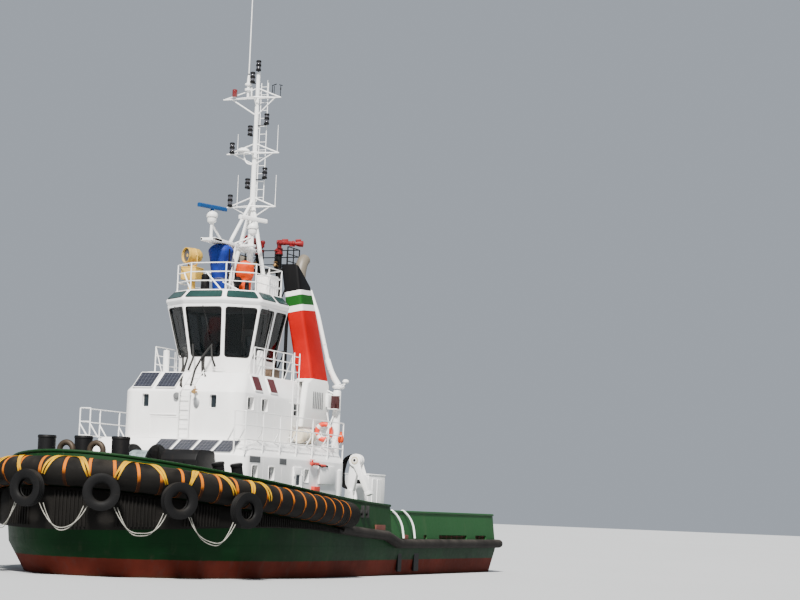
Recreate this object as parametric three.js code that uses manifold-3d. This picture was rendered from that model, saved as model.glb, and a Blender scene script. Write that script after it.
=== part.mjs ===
// Harbour tug with two azimuth thrusters aft.
// Frame: origin at the waterline amidships, +X forward, +Y port, +Z up.
// Lengths here are metres; the exported group is scaled to millimetres.
import * as THREE from "three";
import { mergeVertices } from "three/addons/utils/BufferGeometryUtils.js";
import Module from "manifold-3d";

const wasm = await Module();
wasm.setup();

const MILLIMETRES = 1000;
const GAP = 0.001; // between pieces that touch
const SIDES = [
  { side: "port", sign: 1 },
  { side: "starboard", sign: -1 },
];

// Hull
const STEM_X = 12.6;
const TRANSOM_X = -15.65;
const HALF_BEAM = 5.15;
const BOW_LENGTH = 9.2;
const STERN_CORNER = 0.6;
const DECK_STEP_FORE_X = -2.6;
const DECK_STEP_AFT_X = -3.9;
const AFT_DECK_Z = 1.38;
const BOW_BULWARK_HEIGHT = 1.08;
const BOW_BULWARK_END_X = -3.5;
const STERN_BULWARK_Z = 2.53;
const BULWARK_THICK = 0.12;
const BULWARK_LEAN = 0.14;

// Waterlines below the deck: level, stem, half beam, bow length, transom, round of the stern corner
const WATERLINES = [
  { z: -3.6, stem: 9.2, half: 2.2, bow: 10.0, transom: -3.5, corner: 0.9 },
  { z: -3.1, stem: 9.8, half: 3.3, bow: 10.6, transom: -5.5, corner: 1.2 },
  { z: -2.2, stem: 10.4, half: 4.1, bow: 10.8, transom: -9.5, corner: 1.3 },
  { z: -1.0, stem: 11.0, half: 4.6, bow: 10.5, transom: -13.8, corner: 1.0 },
  { z: 0.0, stem: 11.6, half: 4.95, bow: 10.0, transom: -15.5, corner: 0.7 },
  { z: 1.0, stem: 12.3, half: 5.15, bow: 9.3, transom: -15.65, corner: 0.6 },
];

// Fenders
const FENDER_R = 0.48;
const FENDER_OUT = 0.5;
const FENDER_BELOW_RAIL = 0.72;
const FENDER_END_X = 1.75;
const BLOCK_TOP_BELOW_RAIL = 1.24;
const BLOCK_FOOT_BELOW_RAIL = 1.4; // at its ends
const BLOCK_STEM_DEPTH = 1.2; // deeper than that at the stem
const BLOCK_DEEPENS_X = 2.5; // forward of this station
const BLOCK_CURVE = 1.8;
const BLOCK_OUT = 0.42;
const BLOCK_END_X = FENDER_END_X;
const BLOCK_TAPER_X = 7.6;
const BELT_OUT = 0.34;
const BELT_HEIGHT = 0.36;
const BELT_BELOW_DECK = 0.32;
const TYRE_R = 0.6;
const TYRE_TUBE_R = 0.17;
const TYRE_STATIONS = [-6.05, -3.95, -2.1, -0.24, 1.62, 3.72, 6.05]; // along the deck edge, from the stem
const TYRE_BELOW_RAIL = 1.3;
const ROPE_SAG = 1.1;
const ROPE_STEPS = 3;

// Deckhouses: plan outlines of the wall and of the top of the slope above it
const HOUSE_FOOT_Z = 1.2;
const LOWER_HOUSE = {
  wall: { fore: 5.95, aft: -3.6, half: 3.45, foreBevel: 0.25, aftBevel: 1.2 },
  slope: { fore: 5.0, aft: -3.6, half: 3.1, foreBevel: 0.25, aftBevel: 1.1 },
  eaveZ: 4.25,
  topZ: 4.8,
};
const UPPER_HOUSE = {
  wall: { fore: 4.6, aft: -3.4, half: 2.45, foreBevel: 0.35, aftBevel: 0.3 },
  slope: { fore: 3.8, aft: -3.4, half: 2.14, foreBevel: 0.3, aftBevel: 0.3 },
  eaveZ: 6.55,
  topZ: 7.3,
};
const HOUSE_DOOR = { x: 2.05, z: 2.12, width: 0.7, height: 1.8 };
const DOOR_RECESS = 0.3;

// Wheelhouse: its eight-sided plan at the sill and at the eave, which leans outwards
const SILL = {
  z: 7.86, fore: 2.8, frontHalf: 0.68, side: 1.52, sideFore: 2.12, sideAft: 0.1, aft: -0.75, aftHalf: 0.8,
};
const EAVE = {
  z: 9.9, fore: 3.2, frontHalf: 0.86, side: 1.98, sideFore: 2.4, sideAft: 0.05, aft: -0.75, aftHalf: 0.95,
};
const AFT_FACET = 3;
const ROOF_TOP_Z = 10.45;
const ROOF_LAP = 0.06;
const ROOF_SLOPE = 0.25;
const VISOR_HEIGHT = 0.25;
const WALL = 0.09;
const MULLION = 0.09;
const WINDOW_FOOT = 0.05; // shares of the leaning wall, from sill to eave
const WINDOW_TOP = 0.95;
const PANE = 0.02;
const PANE_GAP = 0.02;
const WHEELHOUSE_DOOR = { half: 0.36, height: 1.95 };

// Rails and roof gear
const RAIL_R = 0.024;
const BRIDGE_RAIL_AFT_X = -0.3;
const ROOF_RAIL = {
  fore: 2.9, frontHalf: 0.74, side: 1.66, sideFore: 2.25, sideAft: 0.12, aft: -0.42, aftHalf: 0.8,
};
const ROOF_LOCKER = { from: [0.85, 0.98], to: [0.2, 1.56], height: 0.8 };
const SEARCHLIGHT = [1.9, -1.25];
const SEARCHLIGHT_YAW = -30; // it looks ahead and to starboard at rest
const BLUE_COVER = [2.0, 0.0];
const ORANGE_COVER = [1.9, 1.0];
const MOVE_GAP = 0.006; // between pieces that turn on each other

// Funnels, which lean inboard: a casing on the house side, the stack above it and its slanted top
const FUNNEL_RINGS = [
  { fore: -0.1, aft: -2.5, inner: 2.2, outer: 2.68, foreZ: 5.55, aftZ: 5.55 },
  { fore: -0.5, aft: -2.5, inner: 2.0, outer: 2.68, foreZ: 7.25, aftZ: 7.25 },
  { fore: -1.0, aft: -2.48, inner: 1.93, outer: 2.62, foreZ: 7.45, aftZ: 7.45 },
  { fore: -1.13, aft: -2.45, inner: 1.29, outer: 2.01, foreZ: 10.1, aftZ: 10.1 },
  { fore: -1.15, aft: -2.42, inner: 0.97, outer: 1.72, foreZ: 11.9, aftZ: 11.1 },
];
const FUNNEL_BEVEL = 0.08;
const EXHAUST = { x: -2.05, y: 1.36, footZ: 11.2, bendZ: 12.0, mouth: [-2.62, 12.12], r: 0.21 };

// Fire monitors and their platform; yaw is the way the barrel points at rest
const MONITOR_DECK = { fore: -1.52, aft: -2.6, half: 1.1, z: 11.72, legY: 0.68 };
const MONITOR_X = -2.0;
const MONITOR_Y = 0.45;
const MONITOR_FOOT_Z = 12.42;
const MONITOR_BARREL_Z = 12.9;
const MONITOR_YAW = { port: 125, starboard: -10 };

// Mast
const MAST_X = -0.4;
const MAST_TOP_Z = 19.45;
const A_FRAME_Z = 14.4;
const RADAR_BEAM = { beamFore: 3.1, beamZ: 12.4, postX: 1.42 };
const WHIP = { y: -0.42, canister: 0.95, length: 8.2 };
const YARDS = [
  { level: 18.4, starboard: 1.5, port: 1.03, r: 0.04, brace: 0.7 },
  { level: 16.2, starboard: 1.23, port: 1.05, r: 0.035, brace: 0.45 },
  { level: 14.08, starboard: 1.12, port: 1.0, r: 0.035, brace: 0.45 },
];
const RADAR_YAW = 72; // both scanners are stopped with their starboard ends forward
const RADARS = [
  { name: "forward", x: 2.85, y: 0, foot: 12.98, bar: 1.4, paint: "blue" },
  { name: "aft", x: 1.04, y: 0.8, foot: 12.78, bar: 1.4, paint: "white" },
];

// Gear on the deckhouse
const SIDELIGHT = { x: -2.36, y: 3.07, footZ: 4.4, topZ: 7.1, screenZ: 6.35, r: 0.16 };
const RAFT = { x: -0.15, y: 2.8, liftZ: 0.37, r: 0.3 };

// Foredeck
const STAPLE = { x: 11.0, posts: [-1.43, 0, 1.43], topZ: 4.6 };
const ARCH = { x: 11.65, ys: [-0.25, 0.91], half: 0.25, springZ: 4.1 };
const BITTS = { xs: [7.7, 6.35], y: 3.6, topZ: 3.92 };
const WINCH = { x: 7.2, axisZ: 3.6, flangeR: 0.9, drumFrom: -0.35, drumTo: 0.7 };
const WINCH_COVER = { fore: 7.5, aft: 6.05, from: 0.95, to: 2.35, top: 4.35 };
const WINCH_BED_AFT_X = 6.0;

// Aft deck
const CRANE = { x: -4.75, y: 2.75, slewZ: 2.3, pinZ: 3.2, knee: [0.2, 1.25], tip: [0.63, -1.36] };
const CABINET = { at: [-6.8, 2.45], length: 1.7, width: 1.1, height: 2.58 };
const TOW_HOOK = { x: -7.6, z: 2.3 };
const HATCH = { x: -10.2, y: 1.9, half: 0.6, height: 0.16 };
const CAPSTAN = { x: -12.4, y: 0 };
const STERN_BITTS = { x: -13.2, y: 3.7 };

// Thrusters
const THRUSTER_X = -11.3;
const THRUSTER_Y = 2.35;
const THRUSTER_TOP_Z = -2.0;
const PROPELLER_Z = -3.55;
const NOZZLE_AFT = 0.62;
const NOZZLE_LENGTH = 1.15;
const NOZZLE_R = 1.38;
const NOZZLE_BORE = 1.19;
const PROPELLER_R = 1.14;

const PAINT = {
  hull: [0x2f6b3a, 0.55, 0.1],
  rubber: [0x1b1b1d, 0.9, 0],
  white: [0xe9e9e6, 0.5, 0.1],
  black: [0x17181a, 0.6, 0.2],
  red: [0xb8281e, 0.5, 0.1],
  glass: [0x2b3338, 0.1, 0],
  yellow: [0xe3b21c, 0.5, 0.1],
  blue: [0x2256b4, 0.6, 0],
  orange: [0xd9652a, 0.6, 0],
  rust: [0x6e3b22, 0.8, 0.3],
  steel: [0x9a9c9e, 0.4, 0.8],
  bronze: [0xa77b3a, 0.35, 0.9],
  grey: [0x70757a, 0.6, 0.1],
  cream: [0xc9bd9a, 0.7, 0],
};

// A solid from any closed three.js geometry
function solid(geometry) {
  const bare = geometry.index ? geometry.toNonIndexed() : geometry.clone();
  for (const name of Object.keys(bare.attributes)) if (name !== "position") bare.deleteAttribute(name);
  const merged = mergeVertices(bare, 1e-5);
  const made = new wasm.Manifold(
    new wasm.Mesh({
      numProp: 3,
      vertProperties: merged.attributes.position.array,
      triVerts: new Uint32Array(merged.index.array),
    }),
  );
  if (made.volume() > 0) return made;
  return solid(flipped(merged));
}

function flipped(geometry) {
  const out = geometry.clone();
  const index = out.index.array;
  for (let i = 0; i < index.length; i += 3) [index[i + 1], index[i + 2]] = [index[i + 2], index[i + 1]];
  return out;
}

function geometryOf(body) {
  const mesh = body.getMesh();
  const positions = new Float32Array(mesh.numVert * 3);
  for (let i = 0; i < mesh.numVert; i++) {
    positions.set(mesh.vertProperties.subarray(i * mesh.numProp, i * mesh.numProp + 3), i * 3);
  }
  return new THREE.BufferGeometry()
    .setAttribute("position", new THREE.BufferAttribute(positions, 3))
    .setIndex(new THREE.BufferAttribute(new Uint32Array(mesh.triVerts), 1));
}

const join = (...bodies) => bodies.flat(Infinity).reduce((sum, body) => sum.add(body));
const cut = (body, ...tools) => tools.flat(Infinity).reduce((rest, tool) => rest.subtract(tool), body);

// A block between two corners
function block([x0, y0, z0], [x1, y1, z1]) {
  const geometry = new THREE.BoxGeometry(Math.abs(x1 - x0), Math.abs(y1 - y0), Math.abs(z1 - z0));
  return solid(geometry.translate((x0 + x1) / 2, (y0 + y1) / 2, (z0 + z1) / 2));
}

// A round bar, or a cone, from one point to another
function rod(from, to, r0, r1 = r0, sides = 8) {
  const a = new THREE.Vector3(...from);
  const b = new THREE.Vector3(...to);
  const along = b.clone().sub(a);
  const geometry = new THREE.CylinderGeometry(r1, r0, along.length(), sides);
  const turn = new THREE.Quaternion().setFromUnitVectors(
    new THREE.Vector3(0, 1, 0),
    along.clone().normalize(),
  );
  return solid(geometry.applyQuaternion(turn).translate(...a.add(b).multiplyScalar(0.5).toArray()));
}

// Round bars through a list of points
function railing(points, r, sides = 4) {
  return points.slice(1).map((point, i) => rod(points[i], point, r, r, sides));
}

// A closed skin over rings that each have the same number of points, convex at both ends
function loft(rings) {
  const count = rings[0].length;
  const positions = [];
  const triangle = (a, b, c) => positions.push(...a, ...b, ...c);
  for (let r = 0; r + 1 < rings.length; r++) {
    for (let i = 0; i < count; i++) {
      const j = (i + 1) % count;
      triangle(rings[r][i], rings[r][j], rings[r + 1][i]);
      triangle(rings[r][j], rings[r + 1][j], rings[r + 1][i]);
    }
  }
  capWithPairs(rings[0], (a, b, c) => triangle(a, c, b));
  capWithPairs(rings.at(-1), triangle);
  return solid(
    new THREE.BufferGeometry().setAttribute("position", new THREE.Float32BufferAttribute(positions, 3)),
  );
}

// Closes a ring by strips straight across between its two halves, from its first point on
function capWithPairs(ring, triangle) {
  const count = ring.length;
  for (let i = 0; i < count - i - 1; i++) {
    const [a, b, c, d] = [ring[i], ring[i + 1], ring[count - i - 1], ring[(count - i) % count]];
    if (i + 1 < count - i - 1) triangle(a, b, c);
    if (i > 0) triangle(a, c, d);
  }
}

// A body turned about an axis through a point: profile is a list of [radius, distance along the axis]
function turned(profile, origin, axis, segments = 16) {
  const points = profile.map(([r, h]) => new THREE.Vector2(r, h));
  const geometry = new THREE.LatheGeometry(points, segments);
  const turn = new THREE.Quaternion().setFromUnitVectors(
    new THREE.Vector3(0, 1, 0),
    new THREE.Vector3(...axis).normalize(),
  );
  return solid(geometry.applyQuaternion(turn).translate(...origin));
}

// A bar that follows a path in plan: corners(point) gives its section as [outwards, level]
function barAlong(path, corners) {
  const rings = path.map((point) =>
    corners(point).map(([out, z]) => [point.x + point.nx * out, point.y + point.ny * out, z]),
  );
  return loft(rings);
}

function ringSection(radius, out, z, sides) {
  return Array.from({ length: sides }, (_, i) => {
    const angle = ((i + 0.5) / sides) * 2 * Math.PI;
    return [out + radius * Math.cos(angle), z + radius * Math.sin(angle)];
  });
}

const range = (count) => Array.from({ length: count }, (_, i) => i);
const mix = (a, b, t) => a + (b - a) * t;

const root = new THREE.Group();
root.name = "tugboat";
root.scale.setScalar(MILLIMETRES);

function add(name, body, paint) {
  const [color, roughness, metalness] = PAINT[paint];
  const geometry = geometryOf(body);
  geometry.computeVertexNormals();
  const mesh = new THREE.Mesh(geometry, new THREE.MeshStandardMaterial({ color, roughness, metalness }));
  mesh.name = name;
  root.add(mesh);
  return body;
}

// Sheer: the bow bulwark's top edge, and the deck under it
const railZ = (x) => 2.9 + 0.055 * x + 0.0032 * x * x;

function deckZ(x) {
  if (x <= DECK_STEP_AFT_X) return AFT_DECK_Z;
  if (x >= DECK_STEP_FORE_X) return railZ(x) - BOW_BULWARK_HEIGHT;
  const foot = railZ(DECK_STEP_FORE_X) - BOW_BULWARK_HEIGHT;
  return mix(AFT_DECK_Z, foot, (x - DECK_STEP_AFT_X) / (DECK_STEP_FORE_X - DECK_STEP_AFT_X));
}

// One half of a waterline from the stem to the middle of the transom, with its outward normals
function halfWaterline({ stem, half, bow, transom, corner }, xs = SIDE_XS) {
  const points = [];
  for (const i of range(BOW_STEPS)) {
    const t = (i / BOW_STEPS) * (Math.PI / 2);
    const normal = new THREE.Vector2(Math.cos(t) / bow, Math.sin(t) / half).normalize();
    points.push({ x: stem - bow + bow * Math.cos(t), y: half * Math.sin(t), nx: normal.x, ny: normal.y });
  }
  const [from, to] = [stem - bow, transom + corner];
  for (const share of xs) points.push({ x: mix(from, to, share), y: half, nx: 0, ny: 1 });
  for (const i of range(CORNER_STEPS)) {
    const t = ((i + 1) / CORNER_STEPS) * (Math.PI / 2);
    points.push({
      x: to - corner * Math.sin(t),
      y: half - corner + corner * Math.cos(t),
      nx: -Math.sin(t),
      ny: Math.cos(t),
    });
  }
  return points;
}

const BOW_STEPS = 12;
const CORNER_STEPS = 4;
// Shares of the straight side at which the sheer needs a point, the deck step among them
const SHEER_XS = [3.4, 1.2, -0.8, DECK_STEP_FORE_X, DECK_STEP_AFT_X, -9, TRANSOM_X + STERN_CORNER];
const SIDE_XS = SHEER_XS.map((x) => (SHEER_XS[0] - x) / (SHEER_XS[0] - SHEER_XS.at(-1)));

const DECK_LINE = {
  stem: STEM_X, half: HALF_BEAM, bow: BOW_LENGTH, transom: TRANSOM_X, corner: STERN_CORNER,
};
const toStarboard = (points) => points.slice().reverse().map((p) => ({ ...p, y: -p.y, ny: -p.ny }));

// A point of the deck's edge on the port side at a station
function deckEdge(x) {
  const along = Math.max(0, x - (STEM_X - BOW_LENGTH)) / BOW_LENGTH;
  const y = HALF_BEAM * Math.sqrt(1 - along * along);
  const normal = new THREE.Vector2(along / BOW_LENGTH, y / HALF_BEAM ** 2).normalize();
  return { x, y, nx: normal.x, ny: normal.y };
}

// The deck's edge from one station to another round the bow, from starboard to port
function bowPath(endX) {
  const half = [...halfWaterline(DECK_LINE).filter((p) => p.x > endX + 0.01), deckEdge(endX)];
  return [...toStarboard(half.slice(1)), ...half];
}

// The deck's edge from a station on the port side round the stern to starboard
function sternPath(startX) {
  const half = [deckEdge(startX), ...halfWaterline(DECK_LINE).filter((p) => p.x < startX - 0.01)];
  return [...half, ...toStarboard(half)];
}

function makeHull() {
  const ring = (line, level) => {
    const half = halfWaterline(line);
    const port = half.map((p) => [p.x, p.y, level(p.x)]);
    return [...port, ...port.slice(1).reverse().map(([x, y, z]) => [x, -y, z])];
  };
  const rings = WATERLINES.map((line) => ring(line, () => line.z));
  rings.push(ring(DECK_LINE, deckZ));
  const shell = loft(rings);
  const skegShape = [
    [8.6, -3.3],
    [7.2, -4.3],
    [5.6, -4.7],
    [-7.4, -4.7],
    [-8.6, -4.3],
    [-9.0, -1.9],
  ];
  const skeg = loft([-0.17, 0.17].map((y) => skegShape.map(([x, z]) => [x, y, z])));
  const headBoxes = SIDES.map(({ sign }) => {
    const [x, y] = [THRUSTER_X, sign * THRUSTER_Y];
    return rod([x, y, -1.0], [x, y, THRUSTER_TOP_Z], 0.78, 0.78, 20);
  });
  return add("hull", join(shell, skeg, headBoxes), "hull");
}

function makeBulwarks() {
  const wall = (topOf) => (p) => {
    const top = topOf(p.x);
    const foot = deckZ(p.x) + GAP;
    return [
      [-0.02, foot],
      [-0.02 - BULWARK_LEAN, top],
      [-0.02 - BULWARK_LEAN - BULWARK_THICK, top],
      [-0.02 - BULWARK_THICK, foot],
    ];
  };
  add("bow_bulwark", barAlong(bowPath(BOW_BULWARK_END_X), wall(railZ)), "hull");
  add("stern_bulwark", barAlong(sternPath(BOW_BULWARK_END_X - GAP), wall(() => STERN_BULWARK_Z)), "hull");
}

function makeFenders() {
  const fenderZ = (x) => railZ(x) - FENDER_BELOW_RAIL;
  const round = (p) => ringSection(FENDER_R, FENDER_OUT, fenderZ(p.x), 10);
  add("bow_fender", barAlong(bowPath(FENDER_END_X), round), "rubber");
  const blockSection = (p) => {
    const taper = Math.min(1, Math.max(0, (p.x - BLOCK_END_X) / (BLOCK_TAPER_X - BLOCK_END_X)));
    const top = railZ(p.x) - BLOCK_TOP_BELOW_RAIL;
    const share = Math.max(0, (p.x - BLOCK_DEEPENS_X) / (STEM_X - BLOCK_DEEPENS_X));
    const foot = railZ(p.x) - BLOCK_FOOT_BELOW_RAIL - BLOCK_STEM_DEPTH * share ** BLOCK_CURVE;
    return [
      [0.03, top],
      [mix(BELT_OUT, BLOCK_OUT, taper), top],
      [mix(BELT_OUT, BLOCK_OUT, taper), foot],
      [0.03, foot],
    ];
  };
  add("block_fender", barAlong(bowPath(BLOCK_END_X), blockSection), "rubber");
  const belt = (p) => {
    const low = deckZ(p.x) - BELT_BELOW_DECK;
    return [
      [0.03, low + BELT_HEIGHT],
      [BELT_OUT - 0.1, low + BELT_HEIGHT],
      [BELT_OUT, low + BELT_HEIGHT - 0.1],
      [BELT_OUT, low + 0.1],
      [BELT_OUT - 0.1, low],
      [0.03, low],
    ];
  };
  add("belting", barAlong(sternPath(BLOCK_END_X - GAP), belt), "rubber");
}

// A half outline from the fore centre to the aft centre, closed by its mirror image
const closed = (half) => [...half, ...half.slice(1, -1).reverse().map(([x, y]) => [x, -y])];
const atLevel = (outline, z) => outline.map(([x, y]) => [x, y, z]);

function houseOutline({ fore, aft, half, foreBevel, aftBevel }) {
  return closed([
    [fore, 0],
    [fore, half - foreBevel],
    [fore - foreBevel, half],
    [aft + aftBevel, half],
    [aft, half - aftBevel],
    [aft, 0],
  ]);
}

function makeHouses(hull) {
  const overDeck = hull.translate([0, 0, GAP]);
  const { wall, slope } = LOWER_HOUSE;
  const lower = loft([
    atLevel(houseOutline(wall), HOUSE_FOOT_Z),
    atLevel(houseOutline(wall), LOWER_HOUSE.eaveZ),
    atLevel(houseOutline(slope), LOWER_HOUSE.topZ),
  ]);
  const recesses = SIDES.map(({ sign }) =>
    block(
      [HOUSE_DOOR.x, sign * (wall.half - DOOR_RECESS), HOUSE_DOOR.z],
      [HOUSE_DOOR.x - HOUSE_DOOR.width, sign * (wall.half + 1), HOUSE_DOOR.z + HOUSE_DOOR.height],
    ),
  );
  add("lower_deckhouse", cut(lower, overDeck, recesses), "white");
  const foot = LOWER_HOUSE.topZ + GAP;
  const upper = loft([
    atLevel(houseOutline(UPPER_HOUSE.wall), foot),
    atLevel(houseOutline(UPPER_HOUSE.wall), UPPER_HOUSE.eaveZ),
    atLevel(houseOutline(UPPER_HOUSE.slope), UPPER_HOUSE.topZ),
  ]);
  return add("upper_deckhouse", upper, "white");
}

function makeHouseDoors() {
  const { x, z, width, height } = HOUSE_DOOR;
  const lap = 0.05;
  for (const { side, sign } of SIDES) {
    const face = sign * (LOWER_HOUSE.wall.half + GAP);
    const leaf = block([x + lap, face, z - lap], [x - width - lap, face + sign * 0.07, z + height + lap]);
    const handle = rod(
      [x - width + 0.1, face + sign * 0.05, z + 1.0],
      [x - width + 0.1, face + sign * 0.14, z + 1.0],
      0.03,
    );
    add(`deckhouse_door_${side}`, join(leaf, handle), "white");
  }
}

// The eight corners of the wheelhouse at a level, grown outwards by a margin
function wheelhouseRing({ z, fore, frontHalf, side, sideFore, sideAft, aft, aftHalf }, grow = 0, level = z) {
  const half = [
    [fore + grow, frontHalf + grow * 0.4],
    [sideFore + grow * 0.4, side + grow],
    [sideAft - grow * 0.4, side + grow],
    [aft - grow, aftHalf + grow * 0.4],
  ];
  return atLevel([...half, ...half.slice().reverse().map(([x, y]) => [x, -y])], level);
}

// The hole of one window: the facet between two corners of the sill and eave rings, less its frame
function windowHole(sill, eave, i) {
  const j = (i + 1) % sill.length;
  const [a, b, c, d] = [sill[i], sill[j], eave[j], eave[i]].map((p) => new THREE.Vector3(...p));
  const normal = b.clone().sub(a).cross(d.clone().sub(a)).normalize();
  const inwards = (start, end) => start.clone().add(end.clone().sub(start).setLength(MULLION));
  const edge = (share) => {
    const l = a.clone().lerp(d, share);
    const r = b.clone().lerp(c, share);
    return [inwards(l, r), inwards(r, l)];
  };
  const quad = [...edge(WINDOW_FOOT), ...edge(WINDOW_TOP).reverse()];
  const moved = (shift) => quad.map((p) => p.clone().addScaledVector(normal, shift).toArray());
  return loft([moved(-0.3), moved(0.3)]);
}

function makeWheelhouse() {
  const foot = wheelhouseRing(SILL, 0, UPPER_HOUSE.topZ + GAP);
  const [sill, eave] = [wheelhouseRing(SILL), wheelhouseRing(EAVE)];
  const outer = loft([foot, sill, eave]);
  const inner = loft([
    wheelhouseRing(SILL, -WALL, UPPER_HOUSE.topZ - 1),
    wheelhouseRing(SILL, -WALL),
    wheelhouseRing(EAVE, -WALL),
    wheelhouseRing(EAVE, -WALL, EAVE.z + 1),
  ]);
  const windows = range(sill.length)
    .filter((i) => i !== AFT_FACET)
    .map((i) => windowHole(sill, eave, i));
  const door = block(
    [SILL.aft - 0.5, -WHEELHOUSE_DOOR.half, UPPER_HOUSE.topZ + 0.06],
    [SILL.aft + 0.5, WHEELHOUSE_DOOR.half, UPPER_HOUSE.topZ + 0.06 + WHEELHOUSE_DOOR.height],
  );
  add("wheelhouse_walls", cut(outer, inner, windows, door), "white");

  const paneOut = -WALL - PANE_GAP;
  const paneIn = paneOut - PANE;
  const low = { from: 0.02, to: 0.98 };
  const level = (share) => mix(SILL.z, EAVE.z, share);
  const blend = (share) => {
    const mixed = {};
    for (const key of Object.keys(SILL)) mixed[key] = mix(SILL[key], EAVE[key], share);
    return mixed;
  };
  const ringAt = (share, grow) => wheelhouseRing(blend(share), grow, level(share));
  const band = (grow, from, to) => loft([ringAt(from, grow), ringAt(to, grow)]);
  const gapAft = block(
    [SILL.aft - 1, -WHEELHOUSE_DOOR.half - 0.08, SILL.z - 1],
    [SILL.aft + 0.6, WHEELHOUSE_DOOR.half + 0.08, EAVE.z + 1],
  );
  const glass = cut(band(paneOut, low.from, low.to), band(paneIn, low.from - 0.01, low.to + 0.01), gapAft);
  add("wheelhouse_glass", glass, "glass");

  const roof = loft([
    wheelhouseRing(EAVE, ROOF_LAP, EAVE.z + GAP),
    wheelhouseRing(EAVE, ROOF_LAP, EAVE.z + VISOR_HEIGHT),
    wheelhouseRing(EAVE, -ROOF_SLOPE, ROOF_TOP_Z),
  ]);
  add("wheelhouse_roof", roof, "white");

  const leafX = SILL.aft - GAP;
  const leafZ = UPPER_HOUSE.topZ + 0.03;
  const leaf = cut(
    block(
      [leafX, -WHEELHOUSE_DOOR.half - 0.04, leafZ],
      [leafX - 0.06, WHEELHOUSE_DOOR.half + 0.04, leafZ + WHEELHOUSE_DOOR.height + 0.07],
    ),
    block(
      [leafX - 1, -WHEELHOUSE_DOOR.half + 0.1, leafZ + 0.9],
      [leafX + 1, WHEELHOUSE_DOOR.half - 0.1, leafZ + 1.75],
    ),
  );
  add("wheelhouse_door", leaf, "white");
}

function makeBridgeInside() {
  const z = UPPER_HOUSE.topZ + GAP;
  const console = join(
    block([2.45, -0.75, z], [1.75, 0.75, z + 0.95]),
    block([2.3, -1.0, z], [1.6, -0.6, z + 0.85]),
    block([2.3, 0.6, z], [1.6, 1.0, z + 0.85]),
  );
  add("bridge_console", console, "grey");
  const chair = join(
    rod([0.8, 0, z], [0.8, 0, z + 0.06], 0.3, 0.3, 12),
    rod([0.8, 0, z + 0.03], [0.8, 0, z + 0.55], 0.07),
    block([1.05, -0.27, z + 0.5], [0.52, 0.27, z + 0.64]),
    block([0.62, -0.26, z + 0.6], [0.5, 0.26, z + 1.3]),
    block([1.0, -0.34, z + 0.78], [0.55, -0.26, z + 0.84]),
    block([1.0, 0.26, z + 0.78], [0.55, 0.34, z + 0.84]),
    block([0.62, -0.34, z + 0.55], [0.54, 0.34, z + 0.84]),
  );
  add("helm_chair", chair, "black");
}

// Posts at every point of a path and three bars between them
function rails(path, footZ, height, spacing = 1.1) {
  const bar = (share) => railing(path.map(([x, y]) => [x, y, footZ + height * share]), RAIL_R, 4);
  const bars = [0.34, 0.67, 1].map(bar);
  const posts = [];
  path.forEach(([x, y], i) => {
    posts.push([x, y]);
    if (i + 1 === path.length) return;
    const [x1, y1] = path[i + 1];
    const bays = Math.max(1, Math.round(Math.hypot(x1 - x, y1 - y) / spacing));
    for (let k = 1; k < bays; k++) posts.push([mix(x, x1, k / bays), mix(y, y1, k / bays)]);
  });
  const r = RAIL_R * 1.25;
  return [bars, posts.map(([x, y]) => rod([x, y, footZ], [x, y, footZ + height + 0.02], r, r, 4))];
}

function makeRails() {
  const { wall, slope, eaveZ, topZ } = LOWER_HOUSE;
  const inset = 0.07;
  const edge = [
    [wall.fore - inset, wall.half - 0.5],
    [wall.fore - inset, wall.half - inset],
    [wall.aft + wall.aftBevel, wall.half - inset],
    [wall.aft + inset, wall.half - wall.aftBevel],
  ];
  const columns = SIDES.map(({ sign }) => {
    const [x, y] = [SIDELIGHT.x, sign * SIDELIGHT.y];
    const { footZ, screenZ, r } = SIDELIGHT;
    return [
      rod([x, y, footZ], [x, y, SIDELIGHT.topZ], r, r, 12),
      block([x + 0.45, y - sign * 0.19, screenZ - 0.02], [x, y - sign * 0.15, screenZ + 0.5]),
      block([x + 0.47, y - sign * 0.21, screenZ - 0.05], [x, y + sign * 0.22, screenZ]),
      block([x + 0.18, y - sign * 0.17, screenZ - 0.02], [x + 0.14, y + sign * 0.2, screenZ + 0.48]),
      block([x + 0.1, y, topZ + 0.44], [x + 0.16, sign * (wall.half - inset), topZ + 0.5]),
    ];
  });
  const houseTop = loft([
    atLevel(houseOutline(wall), HOUSE_FOOT_Z),
    atLevel(houseOutline(wall), eaveZ),
    atLevel(houseOutline(slope), topZ),
  ]);
  const around = [...edge, ...edge.slice().reverse().map(([x, y]) => [x, -y])];
  const fence = join(rails(around, eaveZ - 0.05, 1.6, 2.0), columns);
  add("house_rails", cut(fence, houseTop.translate([0, 0, GAP])), "white");
  for (const { side, sign } of SIDES) {
    const y = sign * (UPPER_HOUSE.slope.half - 0.06);
    const path = [
      [UPPER_HOUSE.slope.fore - 0.9, y],
      [BRIDGE_RAIL_AFT_X, y],
    ];
    add(`bridge_rails_${side}`, join(rails(path, UPPER_HOUSE.topZ + GAP, 1.0, 0.95)), "white");
  }
  const { fore, frontHalf, side, sideFore, sideAft, aft, aftHalf } = ROOF_RAIL;
  const half = [
    [fore, frontHalf],
    [sideFore, side],
    [sideAft, side],
    [aft, aftHalf],
  ];
  const roofEdge = [...half.slice().reverse().map(([x, y]) => [x, -y]), ...half];
  add("roof_rails", join(rails(roofEdge, ROOF_TOP_Z + GAP, 1.02, 2.2)), "white");
}

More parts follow.
